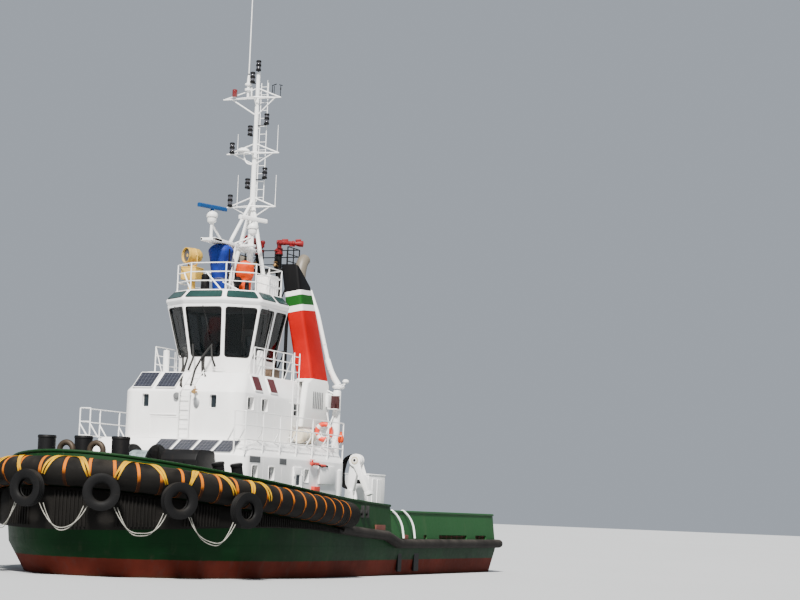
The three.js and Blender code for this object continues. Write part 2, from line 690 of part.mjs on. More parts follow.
function makeRoofGear() {
  const z = ROOF_TOP_Z + GAP;
  const [lampX, lampY] = SEARCHLIGHT;
  const lampBase = join(
    rod([lampX, lampY, z], [lampX, lampY, z + 0.5], 0.14, 0.14, 10),
    block([lampX + 0.33, lampY - 0.33, z + 0.48], [lampX - 0.33, lampY + 0.33, z + 0.98]),
  );
  add("searchlight_base", lampBase, "yellow");
  const lampZ = z + 1.42;
  const yokeFoot = z + 0.98 + MOVE_GAP;
  const lampShape = [
    [0, -0.36],
    [0.16, -0.36],
    [0.29, -0.2],
    [0.3, 0.33],
    [0, 0.33],
  ];
  const lamp = join(
    rod([0, 0, yokeFoot], [0, 0, yokeFoot + 0.06], 0.16, 0.16, 12),
    block([0.05, -0.36, yokeFoot + 0.02], [-0.05, 0.36, yokeFoot + 0.08]),
    block([0.05, -0.36, yokeFoot + 0.02], [-0.05, -0.32, lampZ + 0.05]),
    block([0.05, 0.32, yokeFoot + 0.02], [-0.05, 0.36, lampZ + 0.05]),
    rod([0, -0.34, lampZ], [0, 0.34, lampZ], 0.05),
    turned(lampShape, [0, 0, lampZ], [1, 0, 0], 14),
  );
  add("searchlight", lamp.rotate([0, 0, SEARCHLIGHT_YAW]).translate([lampX, lampY, 0]), "yellow");
  const [blueX, blueY] = BLUE_COVER;
  const blue = turned(
    [[0, 0], [0.29, 0], [0.36, 0.6], [0.42, 1.0], [0.48, 1.6], [0.46, 1.8], [0, 1.86]],
    [blueX, blueY, z],
    [0, 0, 1],
    14,
  );
  add("covered_compass_blue", blue, "blue");
  const [orangeX, orangeY] = ORANGE_COVER;
  const orange = turned(
    [[0, 0], [0.27, 0], [0.28, 0.5], [0.36, 0.62], [0.36, 1.02], [0.2, 1.18], [0, 1.22]],
    [orangeX, orangeY, z],
    [0, 0, 1],
    12,
  );
  add("covered_light_orange", orange, "orange");
  const { from, to, height } = ROOF_LOCKER;
  add("roof_locker", block([...from, z], [...to, z + height]), "white");
}

function makeFunnels(upperHouse) {
  const overHouse = upperHouse.translate([0, 0, GAP]);
  const b = FUNNEL_BEVEL;
  for (const { side, sign } of SIDES) {
    const rings = FUNNEL_RINGS.map(({ fore, aft, inner, outer, foreZ, aftZ }) => {
      const corners = [
        [fore, outer - b],
        [fore - b, outer],
        [aft + b, outer],
        [aft, outer - b],
        [aft, inner + b],
        [aft + b, inner],
        [fore - b, inner],
        [fore, inner + b],
      ];
      return corners.map(([x, y]) => [x, sign * y, mix(foreZ, aftZ, (fore - x) / (fore - aft))]);
    });
    const { x, y, footZ, bendZ, mouth, r } = EXHAUST;
    const bend = [x, sign * y, bendZ];
    const end = [mouth[0], sign * y, mouth[1]];
    const pipe = [rod([x, sign * y, footZ], bend, r, r, 12), rod(bend, end, r, r, 12)];
    add(`funnel_${side}`, cut(join(loft(rings), pipe), overHouse), "red");
  }
}

function makeMonitors() {
  const { fore, aft, half, z, legY } = MONITOR_DECK;
  const legs = SIDES.flatMap(({ sign }) => {
    const y = sign * legY;
    return [fore - 0.12, aft + 0.12].map((x) =>
      rod([x, y, UPPER_HOUSE.topZ + GAP], [x, y, z + 0.02], 0.07, 0.07, 8),
    );
  });
  const edge = half * 0.98;
  const around = [
    [fore, edge],
    [aft, edge],
    [aft, -edge],
    [fore, -edge],
  ];
  const fence = rails(around, z + 0.05, 0.9, 1.3);
  const pedestals = SIDES.map(({ sign }) => {
    const y = sign * MONITOR_Y;
    return rod([MONITOR_X, y, z + 0.05], [MONITOR_X, y, MONITOR_FOOT_Z], 0.13, 0.13, 12);
  });
  const plate = block([fore, -half, z], [aft, half, z + 0.08]);
  add("monitor_platform", join(plate, legs, fence, pedestals), "black");
  for (const { side, sign } of SIDES) {
    const foot = MONITOR_FOOT_Z + MOVE_GAP;
    const z = MONITOR_BARREL_Z;
    const at = [MONITOR_X, sign * MONITOR_Y, 0];
    const place = (body) => body.rotate([0, 0, MONITOR_YAW[side]]).translate(at);
    const fork = join(
      rod([0, 0, foot], [0, 0, foot + 0.1], 0.15, 0.15, 14),
      rod([0, 0, foot + 0.05], [0, 0, z - 0.15], 0.09, 0.09, 12),
      block([-0.07, -0.16, z - 0.2], [0.07, 0.16, z + 0.07]),
    );
    const turret = cut(fork, block([-0.5, -0.125, z - 0.13], [0.5, 0.125, z + 1]));
    add(`monitor_turret_${side}`, place(turret), "red");
    const barrel = join(
      rod([0, -0.118, z], [0, 0.118, z], 0.085, 0.085, 14),
      rod([0, 0, z], [0.75, 0, z], 0.08, 0.055, 12),
      rod([0.7, 0, z], [0.95, 0, z], 0.075, 0.085, 12),
    );
    add(`monitor_barrel_${side}`, place(barrel), "red");
  }
}

function makeMast() {
  const z = ROOF_TOP_Z + GAP;
  const top = MAST_TOP_Z;
  const { beamFore, beamZ, postX } = RADAR_BEAM;
  const beam = [
    block([beamFore, -0.3, beamZ - 0.1], [MAST_X, -0.22, beamZ]),
    block([beamFore, 0.22, beamZ - 0.1], [MAST_X, 0.3, beamZ]),
    block([beamFore, -0.3, beamZ - 0.1], [beamFore - 0.7, 0.3, beamZ]),
    block([MAST_X + 0.1, -0.3, beamZ - 0.1], [MAST_X - 0.2, 0.3, beamZ]),
    ...[1.0, 1.9].map((x) => block([x, -0.26, beamZ - 0.09], [x + 0.08, 0.26, beamZ - 0.01])),
    rod([postX, -0.26, z], [postX, -0.26, beamZ - 0.02], 0.05),
    rod([postX, 0.26, z], [postX, 0.26, beamZ - 0.02], 0.05),
  ];
  const legs = [
    rod([MAST_X, 0, z], [MAST_X, 0, top], 0.13, 0.07, 10),
    rod([postX, 0, beamZ - 0.05], [MAST_X, 0, A_FRAME_Z], 0.06),
    rod([postX - 0.04, -0.26, beamZ - 0.05], [postX - 0.04, 0.26, beamZ - 0.05], 0.04),
    ...SIDES.map(({ sign }) => {
      const foot = [MAST_X + 0.2, sign * 0.9, z + 0.03];
      return rod(foot, [MAST_X, 0, A_FRAME_Z - 0.1], 0.055);
    }),
  ];
  const yards = YARDS.map(({ level, starboard, port, r, brace }) => [
    rod([MAST_X, -starboard, level], [MAST_X, port, level], r, r, 6),
    [-starboard, port].map((end) => {
      const thin = r * 0.6;
      return rod([MAST_X, end * 0.75, level], [MAST_X, 0, level - brace], thin, thin, 4);
    }),
  ]);
  const stand = RADARS.map(({ x, y, foot }) => [
    block([x - 0.12, -0.26, beamZ - 0.1], [x + 0.12, y + 0.12, beamZ - 0.01]),
    rod([x, y, beamZ - 0.02], [x, y, foot], 0.11, 0.11, 8),
  ]);
  const whipZ = YARDS[0].level;
  const at = (lift) => [MAST_X, WHIP.y, whipZ + lift];
  const whip = [
    rod(at(0), at(WHIP.canister), 0.06, 0.06, 8),
    rod(at(WHIP.canister - 0.02), at(WHIP.length), 0.025, 0.012, 6),
  ];
  const gearboxes = RADARS.map(({ x, y, foot }) => [
    block([x + 0.22, y - 0.2, foot - 0.02], [x - 0.22, y + 0.2, foot + 0.36]),
    rod([x, y, foot + 0.3], [x, y, foot + 0.44], 0.1, 0.1, 8),
  ]);
  add("mast", join(beam, legs, yards, stand, whip, gearboxes), "white");
  for (const { name, x, y, foot, bar, paint } of RADARS) {
    const low = foot + 0.44 + MOVE_GAP;
    const scanner = join(
      rod([0, 0, low], [0, 0, low + 0.08], 0.07, 0.07, 12),
      block([-0.09, -bar / 2, low + 0.06], [0.09, bar / 2, low + 0.24]),
    );
    add(`radar_scanner_${name}`, scanner.rotate([0, 0, RADAR_YAW]).translate([x, y, 0]), paint);
  }
}

function makeLifeRafts() {
  const z = LOWER_HOUSE.topZ + GAP;
  const shell = [
    [0, -0.62],
    [RAFT.r - 0.07, -0.62],
    [RAFT.r, -0.5],
    [RAFT.r, 0.5],
    [RAFT.r - 0.07, 0.62],
    [0, 0.62],
  ];
  for (const { side, sign } of SIDES) {
    const y = sign * RAFT.y;
    const cradle = [-0.35, 0.35].map((dx) =>
      block([RAFT.x + dx - 0.04, y - 0.25, z], [RAFT.x + dx + 0.04, y + 0.25, z + RAFT.liftZ - 0.08]),
    );
    const sole = block([RAFT.x - 0.45, y - 0.2, z], [RAFT.x + 0.45, y + 0.2, z + 0.04]);
    const canister = turned(shell, [RAFT.x, y, z + RAFT.liftZ], [1, 0, 0], 10);
    add(`life_raft_${side}`, join(canister, cradle, sole), "cream");
  }
}

function makeForedeck(hull) {
  const overDeck = hull.translate([0, 0, GAP]);
  const posts = STAPLE.posts.map((y) => rod([STAPLE.x, y, 2.2], [STAPLE.x, y, STAPLE.topZ], 0.3, 0.3, 12));
  const base = block([STAPLE.x - 0.4, -1.9, 2.2], [STAPLE.x + 0.4, 1.9, deckZ(STAPLE.x) + 0.12]);
  const crossbar = rod([STAPLE.x, -1.5, 3.75], [STAPLE.x, 1.5, 3.75], 0.14, 0.14, 8);
  const arches = ARCH.ys.map((y) => {
    const arc = range(7).map((i) => {
      const t = (i / 6) * Math.PI;
      const rise = Math.sin(t);
      return [ARCH.x + 0.1 * rise, y - ARCH.half * Math.cos(t), ARCH.springZ + ARCH.half * 1.3 * rise];
    });
    return railing([[ARCH.x, y - ARCH.half, 2.2], ...arc, [ARCH.x, y + ARCH.half, 2.2]], 0.1, 6);
  });
  const sole = block([STAPLE.x, -0.7, 2.2], [ARCH.x + 0.14, 1.3, deckZ(ARCH.x) + 0.06]);
  add("towing_staple", cut(join(posts, base, crossbar, arches, sole), overDeck), "black");
  for (const { side, sign } of SIDES) {
    const y = sign * BITTS.y;
    const [foreX, aftX] = BITTS.xs;
    const plate = block([foreX + 0.4, y - 0.34, 1.8], [aftX - 0.4, y + 0.34, deckZ(foreX) + 0.1]);
    const horns = BITTS.xs.map((x) => rod([x, y, 2.0], [x + 0.3, y - sign * 0.12, BITTS.topZ], 0.2, 0.2, 14));
    add(`bow_bitts_${side}`, cut(join(plate, horns), overDeck), "black");
  }
  const { x, axisZ, flangeR } = WINCH;
  const stands = [WINCH.drumFrom - 0.16, WINCH.drumTo + 0.04].map((y) => [
    block([x - 0.55, y, 1.9], [x + 0.55, y + 0.12, axisZ - 0.1]),
    rod([x, y, axisZ], [x, y + 0.12, axisZ], 0.26, 0.26, 14),
  ]);
  const bedZ = deckZ(x) + 0.18;
  const bed = block([WINCH_BED_AFT_X, WINCH.drumFrom - 0.25, 1.9], [x + 0.95, WINCH_COVER.to + 0.05, bedZ]);
  const bore = rod([x, -3, axisZ], [x, 3, axisZ], 0.1 + MOVE_GAP, 0.1 + MOVE_GAP, 16);
  add("winch_frame", cut(join(stands, bed), bore, overDeck), "black");
  const drum = join(
    rod([x, WINCH.drumFrom - 0.2, axisZ], [x, WINCH.drumTo + 0.14, axisZ], 0.1, 0.1, 12),
    rod([x, WINCH.drumFrom, axisZ], [x, WINCH.drumTo, axisZ], 0.5, 0.5, 14),
    rod([x, WINCH.drumFrom, axisZ], [x, WINCH.drumFrom + 0.08, axisZ], flangeR, flangeR, 18),
    rod([x, WINCH.drumTo - 0.08, axisZ], [x, WINCH.drumTo, axisZ], flangeR, flangeR, 18),
  );
  add("winch_drum", drum, "grey");
  const { fore, aft, top } = WINCH_COVER;
  const coverShape = [
    [fore, bedZ + GAP],
    [fore, top - 0.35],
    [fore - 0.3, top],
    [aft + 0.15, top],
    [aft, bedZ + GAP],
  ];
  const coverAt = (y) => coverShape.map(([sx, sz]) => [sx, y, sz]);
  const cover = loft([coverAt(WINCH_COVER.from), coverAt(WINCH_COVER.to)]);
  add("winch_cover", cover, "black");
}

function makeTyres() {
  const path = bowPath(FENDER_END_X);
  const lengths = [0];
  path.slice(1).forEach((p, i) => lengths.push(lengths[i] + Math.hypot(p.x - path[i].x, p.y - path[i].y)));
  // The point at a distance along the path from its middle, moved outwards, at a level below the rail
  const place = (distance, out, below) => {
    const along = lengths.at(-1) / 2 + distance;
    const i = lengths.findIndex((length) => length >= along) - 1;
    const t = (along - lengths[i]) / (lengths[i + 1] - lengths[i]);
    const p = {};
    for (const key of ["x", "y", "nx", "ny"]) p[key] = mix(path[i][key], path[i + 1][key], t);
    return { ...p, at: [p.x + p.nx * out, p.y + p.ny * out, railZ(p.x) - below] };
  };
  const out = FENDER_OUT + FENDER_R + TYRE_TUBE_R + 0.01;
  const tyres = TYRE_STATIONS.map((station) => {
    const p = place(station, out, TYRE_BELOW_RAIL);
    const torus = new THREE.TorusGeometry(TYRE_R - TYRE_TUBE_R, TYRE_TUBE_R, 6, 12);
    torus.rotateX(Math.PI / 2);
    const turn = new THREE.Quaternion().setFromUnitVectors(
      new THREE.Vector3(0, 1, 0),
      new THREE.Vector3(p.nx, p.ny, 0).normalize(),
    );
    return solid(torus.applyQuaternion(turn).translate(...p.at));
  });
  const ropes = TYRE_STATIONS.slice(1).map((next, k) => {
    const from = TYRE_STATIONS[k] + TYRE_R * 0.45;
    const reach = next - TYRE_R * 0.45 - from;
    const points = range(ROPE_STEPS + 1).map((i) => {
      const share = i / ROPE_STEPS;
      const sag = ROPE_SAG * 4 * share * (1 - share);
      return place(from + reach * share, out, TYRE_BELOW_RAIL + TYRE_R * 0.6 + sag).at;
    });
    return railing(points, 0.035);
  });
  add("bow_tyres", join(tyres, ropes), "rubber");
}

function makeAftDeck() {
  const z = AFT_DECK_Z + GAP;
  const { x, y } = CRANE;
  const pedestal = join(
    rod([x, y, z], [x, y, z + 0.08], 0.6, 0.6, 16),
    rod([x, y, z], [x, y, CRANE.slewZ], 0.36, 0.32, 16),
  );
  add("crane_pedestal", pedestal, "white");
  const foot = CRANE.slewZ + MOVE_GAP;
  const cheeks = block([x - 0.2, y - 0.2, foot + 0.1], [x + 0.2, y + 0.2, CRANE.pinZ + 0.12]);
  const column = join(
    rod([x, y, foot], [x, y, foot + 0.14], 0.42, 0.42, 18),
    rod([x, y, foot + 0.05], [x, y, CRANE.pinZ - 0.35], 0.24, 0.2, 14),
    cheeks,
  );
  const slot = block([x - 0.13, y - 1, CRANE.pinZ - 0.26], [x + 0.13, y + 1, CRANE.pinZ + 1]);
  add("crane_column", cut(column, slot), "white");
  const knee = [y + CRANE.knee[0], CRANE.pinZ + CRANE.knee[1]];
  const tip = [knee[0] + CRANE.tip[0], knee[1] + CRANE.tip[1]];
  // A flat bar in the crane's own upright plane, between two points given as [y, z]
  const bar = ([ay, az], [by, bz], r0, r1, fromX, toX) => {
    const along = new THREE.Vector2(by - ay, bz - az).normalize();
    const across = new THREE.Vector2(-along.y, along.x);
    const shape = [
      [ay - along.x * r0 + across.x * r0, az - along.y * r0 + across.y * r0],
      [by + along.x * r1 + across.x * r1, bz + along.y * r1 + across.y * r1],
      [by + along.x * r1 - across.x * r1, bz + along.y * r1 - across.y * r1],
      [ay - along.x * r0 - across.x * r0, az - along.y * r0 - across.y * r0],
    ];
    return loft([fromX, toX].map((dx) => shape.map(([sy, sz]) => [x + dx, sy, sz])));
  };
  add("crane_boom", bar([y, CRANE.pinZ], knee, 0.15, 0.2, -0.12, 0.12), "white");
  const jib = join(
    [-0.2, 0.14].map((dx) => rod([x + dx, ...knee], [x + dx + 0.06, ...knee], 0.24, 0.24, 16)),
    [-0.2, 0.14].map((dx) => bar(knee, tip, 0.1, 0.08, dx, dx + 0.06)),
    bar([mix(knee[0], tip[0], 0.45), mix(knee[1], tip[1], 0.45)], tip, 0.1, 0.09, -0.2, 0.2),
  );
  add("crane_jib", jib, "white");
  const [cx, cy] = CABINET.at;
  const [halfX, halfY] = [CABINET.length / 2, CABINET.width / 2];
  const cabinet = block([cx + halfX, cy - halfY, z], [cx - halfX, cy + halfY, z + CABINET.height]);
  add("deck_cabinet", cabinet, "white");
  const hatch = block(
    [HATCH.x + HATCH.half, HATCH.y - HATCH.half, z],
    [HATCH.x - HATCH.half, HATCH.y + HATCH.half, z + HATCH.height],
  );
  add("deck_hatch", hatch, "black");
  const capstanBase = join(rod([CAPSTAN.x, CAPSTAN.y, z], [CAPSTAN.x, CAPSTAN.y, z + 0.35], 0.4, 0.34, 16));
  add("capstan_base", capstanBase, "black");
  const head = turned(
    [[0, 0], [0.34, 0], [0.34, 0.08], [0.2, 0.2], [0.19, 0.5], [0.3, 0.64], [0.3, 0.74], [0, 0.78]],
    [CAPSTAN.x, CAPSTAN.y, z + 0.35 + MOVE_GAP],
    [0, 0, 1],
    18,
  );
  add("capstan_head", head, "black");
  const hx = TOW_HOOK.x;
  const hookZ = TOW_HOOK.z - 0.2;
  const pivotX = hx - 0.3;
  const standShape = [
    [hx + 0.45, z],
    [hx + 0.1, TOW_HOOK.z],
    [hx - 0.15, TOW_HOOK.z],
    [hx - 0.25, z],
  ];
  const hookStand = join(
    block([hx + 0.55, -0.45, z], [hx - 0.45, 0.45, z + 0.08]),
    loft([-0.3, 0.3].map((dy) => standShape.map(([sx, sz]) => [sx, dy, sz]))),
    [-0.12, 0.08].map((dz) => block([hx, -0.12, hookZ + dz], [pivotX - 0.1, 0.12, hookZ + dz + 0.04])),
  );
  add("tow_hook_stand", hookStand, "black");
  const hook = join(
    rod([pivotX, 0, hookZ - 0.07], [pivotX, 0, hookZ + 0.07], 0.07, 0.07, 14),
    block([pivotX, -0.05, hookZ - 0.06], [pivotX - 0.5, 0.05, hookZ + 0.06]),
    block([pivotX - 0.45, -0.05, hookZ - 0.06], [pivotX - 0.6, 0.05, hookZ + 0.24]),
  );
  add("tow_hook", hook, "red");
  for (const { side, sign } of SIDES) {
    const y0 = sign * STERN_BITTS.y;
    const bitts = join(
      block([STERN_BITTS.x + 0.65, y0 - 0.25, z], [STERN_BITTS.x - 0.65, y0 + 0.25, z + 0.08]),
      [-0.38, 0.38].map((dx) => {
        const x0 = STERN_BITTS.x + dx;
        return rod([x0, y0, z], [x0, y0, z + 0.75], 0.16, 0.16, 14);
      }),
    );
    add(`stern_bitts_${side}`, bitts, "black");
  }
}

// A blade as a thin twisted plate from the hub to its tip
function blade(angle) {
  const stations = [
    { r: 0.2, chord: 0.34, pitch: 1.0 },
    { r: 0.62, chord: 0.62, pitch: 0.62 },
    { r: PROPELLER_R, chord: 0.5, pitch: 0.42 },
  ];
  const rings = stations.map(({ r, chord, pitch }) => {
    const corner = (u, w) => {
      const along = (u * chord) / 2;
      const swirl = (along * Math.cos(pitch)) / r;
      const a = angle + swirl;
      return [along * Math.sin(pitch) + w * 0.02, r * Math.cos(a), r * Math.sin(a)];
    };
    return [corner(-1, -1), corner(0, -1.8), corner(1, -1), corner(1, 1), corner(0, 1.8), corner(-1, 1)];
  });
  return loft(rings);
}

function makeThrusters() {
  for (const { side, sign } of SIDES) {
    const [x, y, z] = [THRUSTER_X, sign * THRUSTER_Y, PROPELLER_Z];
    const nozzleX = x - NOZZLE_AFT;
    const nozzle = turned(
      [
        [NOZZLE_BORE + 0.12, NOZZLE_LENGTH / 2],
        [NOZZLE_BORE, NOZZLE_LENGTH / 4],
        [NOZZLE_BORE, -NOZZLE_LENGTH / 4],
        [NOZZLE_BORE + 0.03, -NOZZLE_LENGTH / 2],
        [NOZZLE_BORE + 0.09, -NOZZLE_LENGTH / 2],
        [NOZZLE_R, NOZZLE_LENGTH / 4],
        [NOZZLE_R - 0.03, NOZZLE_LENGTH / 2],
        [NOZZLE_BORE + 0.12, NOZZLE_LENGTH / 2],
      ],
      [nozzleX, y, z],
      [1, 0, 0],
      20,
    );
    const pod = turned(
      [[0, -0.34], [0.24, -0.34], [0.3, 0.1], [0.26, 0.5], [0, 0.75]],
      [x + 0.05, y, z],
      [1, 0, 0],
      12,
    );
    const leg = [
      rod([x, y, THRUSTER_TOP_Z - MOVE_GAP], [x, y, THRUSTER_TOP_Z - 0.25], 0.62, 0.5, 14),
      rod([x + 0.05, y, THRUSTER_TOP_Z - 0.1], [x + 0.05, y, z], 0.2, 0.2, 10),
      block([x + 0.2, y - 0.1, THRUSTER_TOP_Z - 0.2], [nozzleX - 0.1, y + 0.1, z + NOZZLE_R - 0.06]),
      [-1, 1].map((s) => rod([x + 0.05, y, z - 0.05], [x - 0.2, y + s * 0.95, z - 0.85], 0.06, 0.06, 6)),
    ];
    add(`thruster_${side}`, join(nozzle, pod, leg), "steel");
    const hubX = nozzleX - 0.08;
    const hubShape = [
      [0, -0.42],
      [0.1, -0.38],
      [0.2, -0.15],
      [0.21, 0.3],
      [0, 0.3],
    ];
    const hub = turned(hubShape, [hubX, y, z], [1, 0, 0], 12);
    const blades = range(4).map((i) => blade((i * Math.PI) / 2).translate([hubX + 0.05, y, z]));
    add(`propeller_${side}`, join(hub, blades), "bronze");
  }
}

const hullBody = makeHull();
makeBulwarks();
makeFenders();
makeTyres();
const upperHouse = makeHouses(hullBody);
makeHouseDoors();
makeWheelhouse();
makeBridgeInside();
makeRails();
makeRoofGear();
makeFunnels(upperHouse);
makeMonitors();
makeMast();
makeLifeRafts();
makeForedeck(hullBody);
makeAftDeck();
makeThrusters();

export default root;
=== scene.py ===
"""A harbour tug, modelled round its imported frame, in metres.

Origin at the waterline, +X forward, +Y port, +Z up.
"""
import math
import random

import bpy
from mathutils import Matrix, Vector


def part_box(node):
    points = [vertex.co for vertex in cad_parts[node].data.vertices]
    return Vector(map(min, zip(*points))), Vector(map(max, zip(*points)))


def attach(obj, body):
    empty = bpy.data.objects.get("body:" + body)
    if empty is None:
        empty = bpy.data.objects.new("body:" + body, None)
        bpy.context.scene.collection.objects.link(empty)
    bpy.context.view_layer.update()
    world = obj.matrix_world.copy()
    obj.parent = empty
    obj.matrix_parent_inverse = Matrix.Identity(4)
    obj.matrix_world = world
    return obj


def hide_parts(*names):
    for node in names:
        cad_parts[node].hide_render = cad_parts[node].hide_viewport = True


bl_info = {
    "name": "Harbour Tug",
    "version": (1, 0, 0),
    "blender": (4, 5, 0),
    "location": "3D View > Sidebar > Tug",
    "description": "Models a harbour tug's hull, fenders, deckhouses, bridge, mast and deck gear",
    "category": "Object",
}

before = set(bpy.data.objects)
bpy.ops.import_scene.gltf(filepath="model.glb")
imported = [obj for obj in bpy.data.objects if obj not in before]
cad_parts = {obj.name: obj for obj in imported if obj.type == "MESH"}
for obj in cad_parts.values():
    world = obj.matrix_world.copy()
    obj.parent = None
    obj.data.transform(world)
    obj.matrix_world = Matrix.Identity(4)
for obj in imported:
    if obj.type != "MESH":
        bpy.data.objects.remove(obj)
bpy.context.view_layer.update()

# Hull, in metres
STEM_X = 12.6
TRANSOM_X = -15.65
HALF_BEAM = 5.15
BOW_LENGTH = 9.2
STERN_CORNER = 0.6
STEP_FORE_X = -2.6
STEP_AFT_X = -3.9
AFT_DECK_Z = 1.38
BULWARK_HEIGHT = 1.08
BULWARK_LEAN = 0.14
BULWARK_THICK = 0.12
BOW_BULWARK_END_X = -3.5
STERN_BULWARK_Z = 2.53
FENDER_END_X = 1.75
WATERLINES = [  # level, stem, half beam, bow length, transom, stern corner
    (-3.6, 9.2, 2.2, 10.0, -3.5, 0.9),
    (-3.1, 9.8, 3.3, 10.6, -5.5, 1.2),
    (-2.2, 10.4, 4.1, 10.8, -9.5, 1.3),
    (-1.0, 11.0, 4.6, 10.5, -13.8, 1.0),
    (0.0, 11.6, 4.95, 10.0, -15.5, 0.7),
    (1.0, 12.3, 5.15, 9.3, -15.65, 0.6),
]
THRUSTER_X = -11.3
THRUSTER_Y = 2.35
SIDES = ((1, "port"), (-1, "starboard"))
AHEAD = Vector((1, 0, 0))
ACROSS = Vector((0, 1, 0))
UP = Vector((0, 0, 1))


def colour(name, description, default):
    return bpy.props.FloatVectorProperty(name=name, description=description, subtype="COLOR", default=default,
        min=0, max=1)


def length(name, description, default):
    return bpy.props.FloatProperty(name=name, description=description, unit="LENGTH", default=default)


class TugPaints(bpy.types.PropertyGroup):
    """Colours of the boat's main finishes"""

    # Painted shade: the hull's green is set far darker than the bulwarks' green, for the shade on the hull
    # under its flare and fenders.
    hull: colour("Hull", "Green of the hull", (0.001, 0.021, 0.0045))
    bulwark: colour("Bulwarks", "Green of the bulwarks", (0.012, 0.066, 0.017))
    boot_top: colour("Boot-top", "Red-brown below the waterline", (0.085, 0.014, 0.008))
    house: colour("Houses", "White of the deckhouses, rails and mast", (0.96, 0.95, 0.935))
    funnel: colour("Funnels", "Red of the funnels", (0.36, 0.004, 0.003))
    band: colour("Funnel band", "Green band of the funnels", (0.009, 0.072, 0.01))
    strap: colour("Straps", "Orange webbing round the bow fender", (0.5, 0.125, 0.0))
    sling: colour("Slings", "Yellow webbing that carries the tyres", (0.56, 0.3, 0.0))


class TugSizes(bpy.types.PropertyGroup):
    """Sizes of the boat's details"""

    boot_top: length("Boot-top height", "Level where the red underwater paint ends", 0.62)
    strap_spacing: length("Strap spacing", "From one fender strap to the next", 0.645)
    strap_width: length("Strap width", "Width of a fender strap at the stem", 0.105)
    fender_radius: length("Fender radius", "Radius of the bow fender", 0.468)
    tyre_radius: length("Tyre radius", "Outer radius of a bow tyre", 0.6)
    rail_radius: length("Rail radius", "Radius of the guard rails' tube", 0.023)


def paints():
    return bpy.context.scene.tug_paints


def sizes():
    return bpy.context.scene.tug_sizes


# Modelling helpers

def object_mode():
    if bpy.context.mode != "OBJECT":
        bpy.ops.object.mode_set(mode="OBJECT")


def select_only(*objs):
    object_mode()
    bpy.ops.object.select_all(action="DESELECT")
    for obj in objs:
        obj.select_set(True)
    bpy.context.view_layer.objects.active = objs[0]


def linked(name, data):
    obj = bpy.data.objects.new(name, data)
    bpy.context.scene.collection.objects.link(obj)
    return obj


def applied(obj):
    """The object with its place, turn and scale put into its mesh."""
    select_only(obj)
    bpy.ops.object.transform_apply(location=True, rotation=True, scale=True)
    return obj


def modified(obj, kind, **settings):
    """The object with one modifier set and applied."""
    select_only(obj)
    modifier = obj.modifiers.new(kind.title(), kind)
    for key, value in settings.items():
        setattr(modifier, key, value)
    bpy.ops.object.modifier_apply(modifier=modifier.name)
    return obj


def bevelled(obj, width, segments=2, angle=30):
    return modified(obj, "BEVEL", width=width, segments=segments, limit_method="ANGLE",
        angle_limit=math.radians(angle), harden_normals=False)


def coated(obj, finish):
    """The object with one finish all over."""
    obj.data.materials.clear()
    obj.data.materials.append(bpy.data.materials[finish])
    return obj


def joined(objs):
    select_only(*objs)
    bpy.ops.object.join()
    return bpy.context.view_layer.objects.active


def blocks(corners, bevel=0.01, segments=2):
    """One mesh of rounded blocks, each between two corners."""
    object_mode()
    bpy.ops.object.select_all(action="DESELECT")
    for i, (a, b) in enumerate(corners):
        a, b = Vector(a), Vector(b)
        size = [abs(d) for d in b - a]
        bpy.ops.mesh.primitive_cube_add(size=1, location=(a + b) / 2, scale=size)
        if i == 0:
            bpy.ops.object.transform_apply(location=True, rotation=True, scale=True)
            bpy.ops.object.mode_set(mode="EDIT")
    object_mode()
    obj = bpy.context.view_layer.objects.active
    return bevelled(obj, bevel, segments) if bevel else obj


def tubes(paths, radius, sides=8, closed=False):
    """Round bars along paths of points."""
    curve = bpy.data.curves.new("bars", "CURVE")
    curve.dimensions = "3D"
    curve.bevel_depth = radius
    curve.bevel_resolution = max(0, (sides - 4) // 2)
    curve.use_fill_caps = not closed
    for path in paths:
        spline = curve.splines.new("POLY")
        spline.points.add(len(path) - 1)
        for point, place in zip(spline.points, path):
            point.co = (*place, 1)
        spline.use_cyclic_u = closed
    obj = linked("bars", curve)
    select_only(obj)
    bpy.ops.object.convert(target="MESH")
    return bpy.context.view_layer.objects.active


def rounded(points, radius, steps=4):
    """A path with its corners rounded."""
    points = [Vector(p) for p in points]
    out = [points[0]]
    for a, b, c in zip(points, points[1:], points[2:]):
        reach = min(radius, (a - b).length / 2, (c - b).length / 2)
        start, end = b + (a - b).normalized() * reach, b + (c - b).normalized() * reach
        for k in range(steps + 1):
            t = k / steps
            out.append(start.lerp(b, t).lerp(b.lerp(end, t), t))
    return out + [points[-1]]


def outline(corners, radius, steps=4):
    """A closed path with its corners rounded."""
    corners = [Vector(c) for c in corners]
    path = []
    for i, corner in enumerate(corners):
        before, after = corners[i - 1], corners[(i + 1) % len(corners)]
        reach = min(radius, (before - corner).length * 0.49, (after - corner).length * 0.49)
        start, end = corner + (before - corner).normalized() * reach, corner + (after
            - corner).normalized() * reach
        for k in range(steps + 1):
            t = k / steps
            path.append(start.lerp(corner, t).lerp(corner.lerp(end, t), t))
    return path


def slab(path, low, high, normal=UP):
    """A plate between two offsets of a closed path along its normal."""
    return skinned([[Vector(p) + normal * low for p in path], [Vector(p) + normal * high for p in path]])


def bar(a, b, start, end=None, steps=20, bevel=0.01):
    """A round bar from a to b with its end edges eased."""
    a, b = Vector(a), Vector(b)
    end = start if end is None else end
    length = (b - a).length
    ease = min(bevel, length / 3, start / 2, end / 2)
    profile = [(0, 0), (start - ease, 0), (start, ease), (end, length - ease), (end - ease, length),
        (0, length)]
    return turned(profile, a, b - a, steps)


def mirrored_pair(make):
    """What make(sign) gives for port and for starboard, in one list."""
    return [piece for sign in (1, -1) for piece in make(sign)]


def circle(count):
    """The angles of equal steps round a circle."""
    return [2 * math.pi * i / count for i in range(count)]


def moved(at, angle=0.0):
    """A move to a place after a turn about the vertical."""
    return Matrix.Translation(at) @ Matrix.Rotation(angle, 4, "Z")


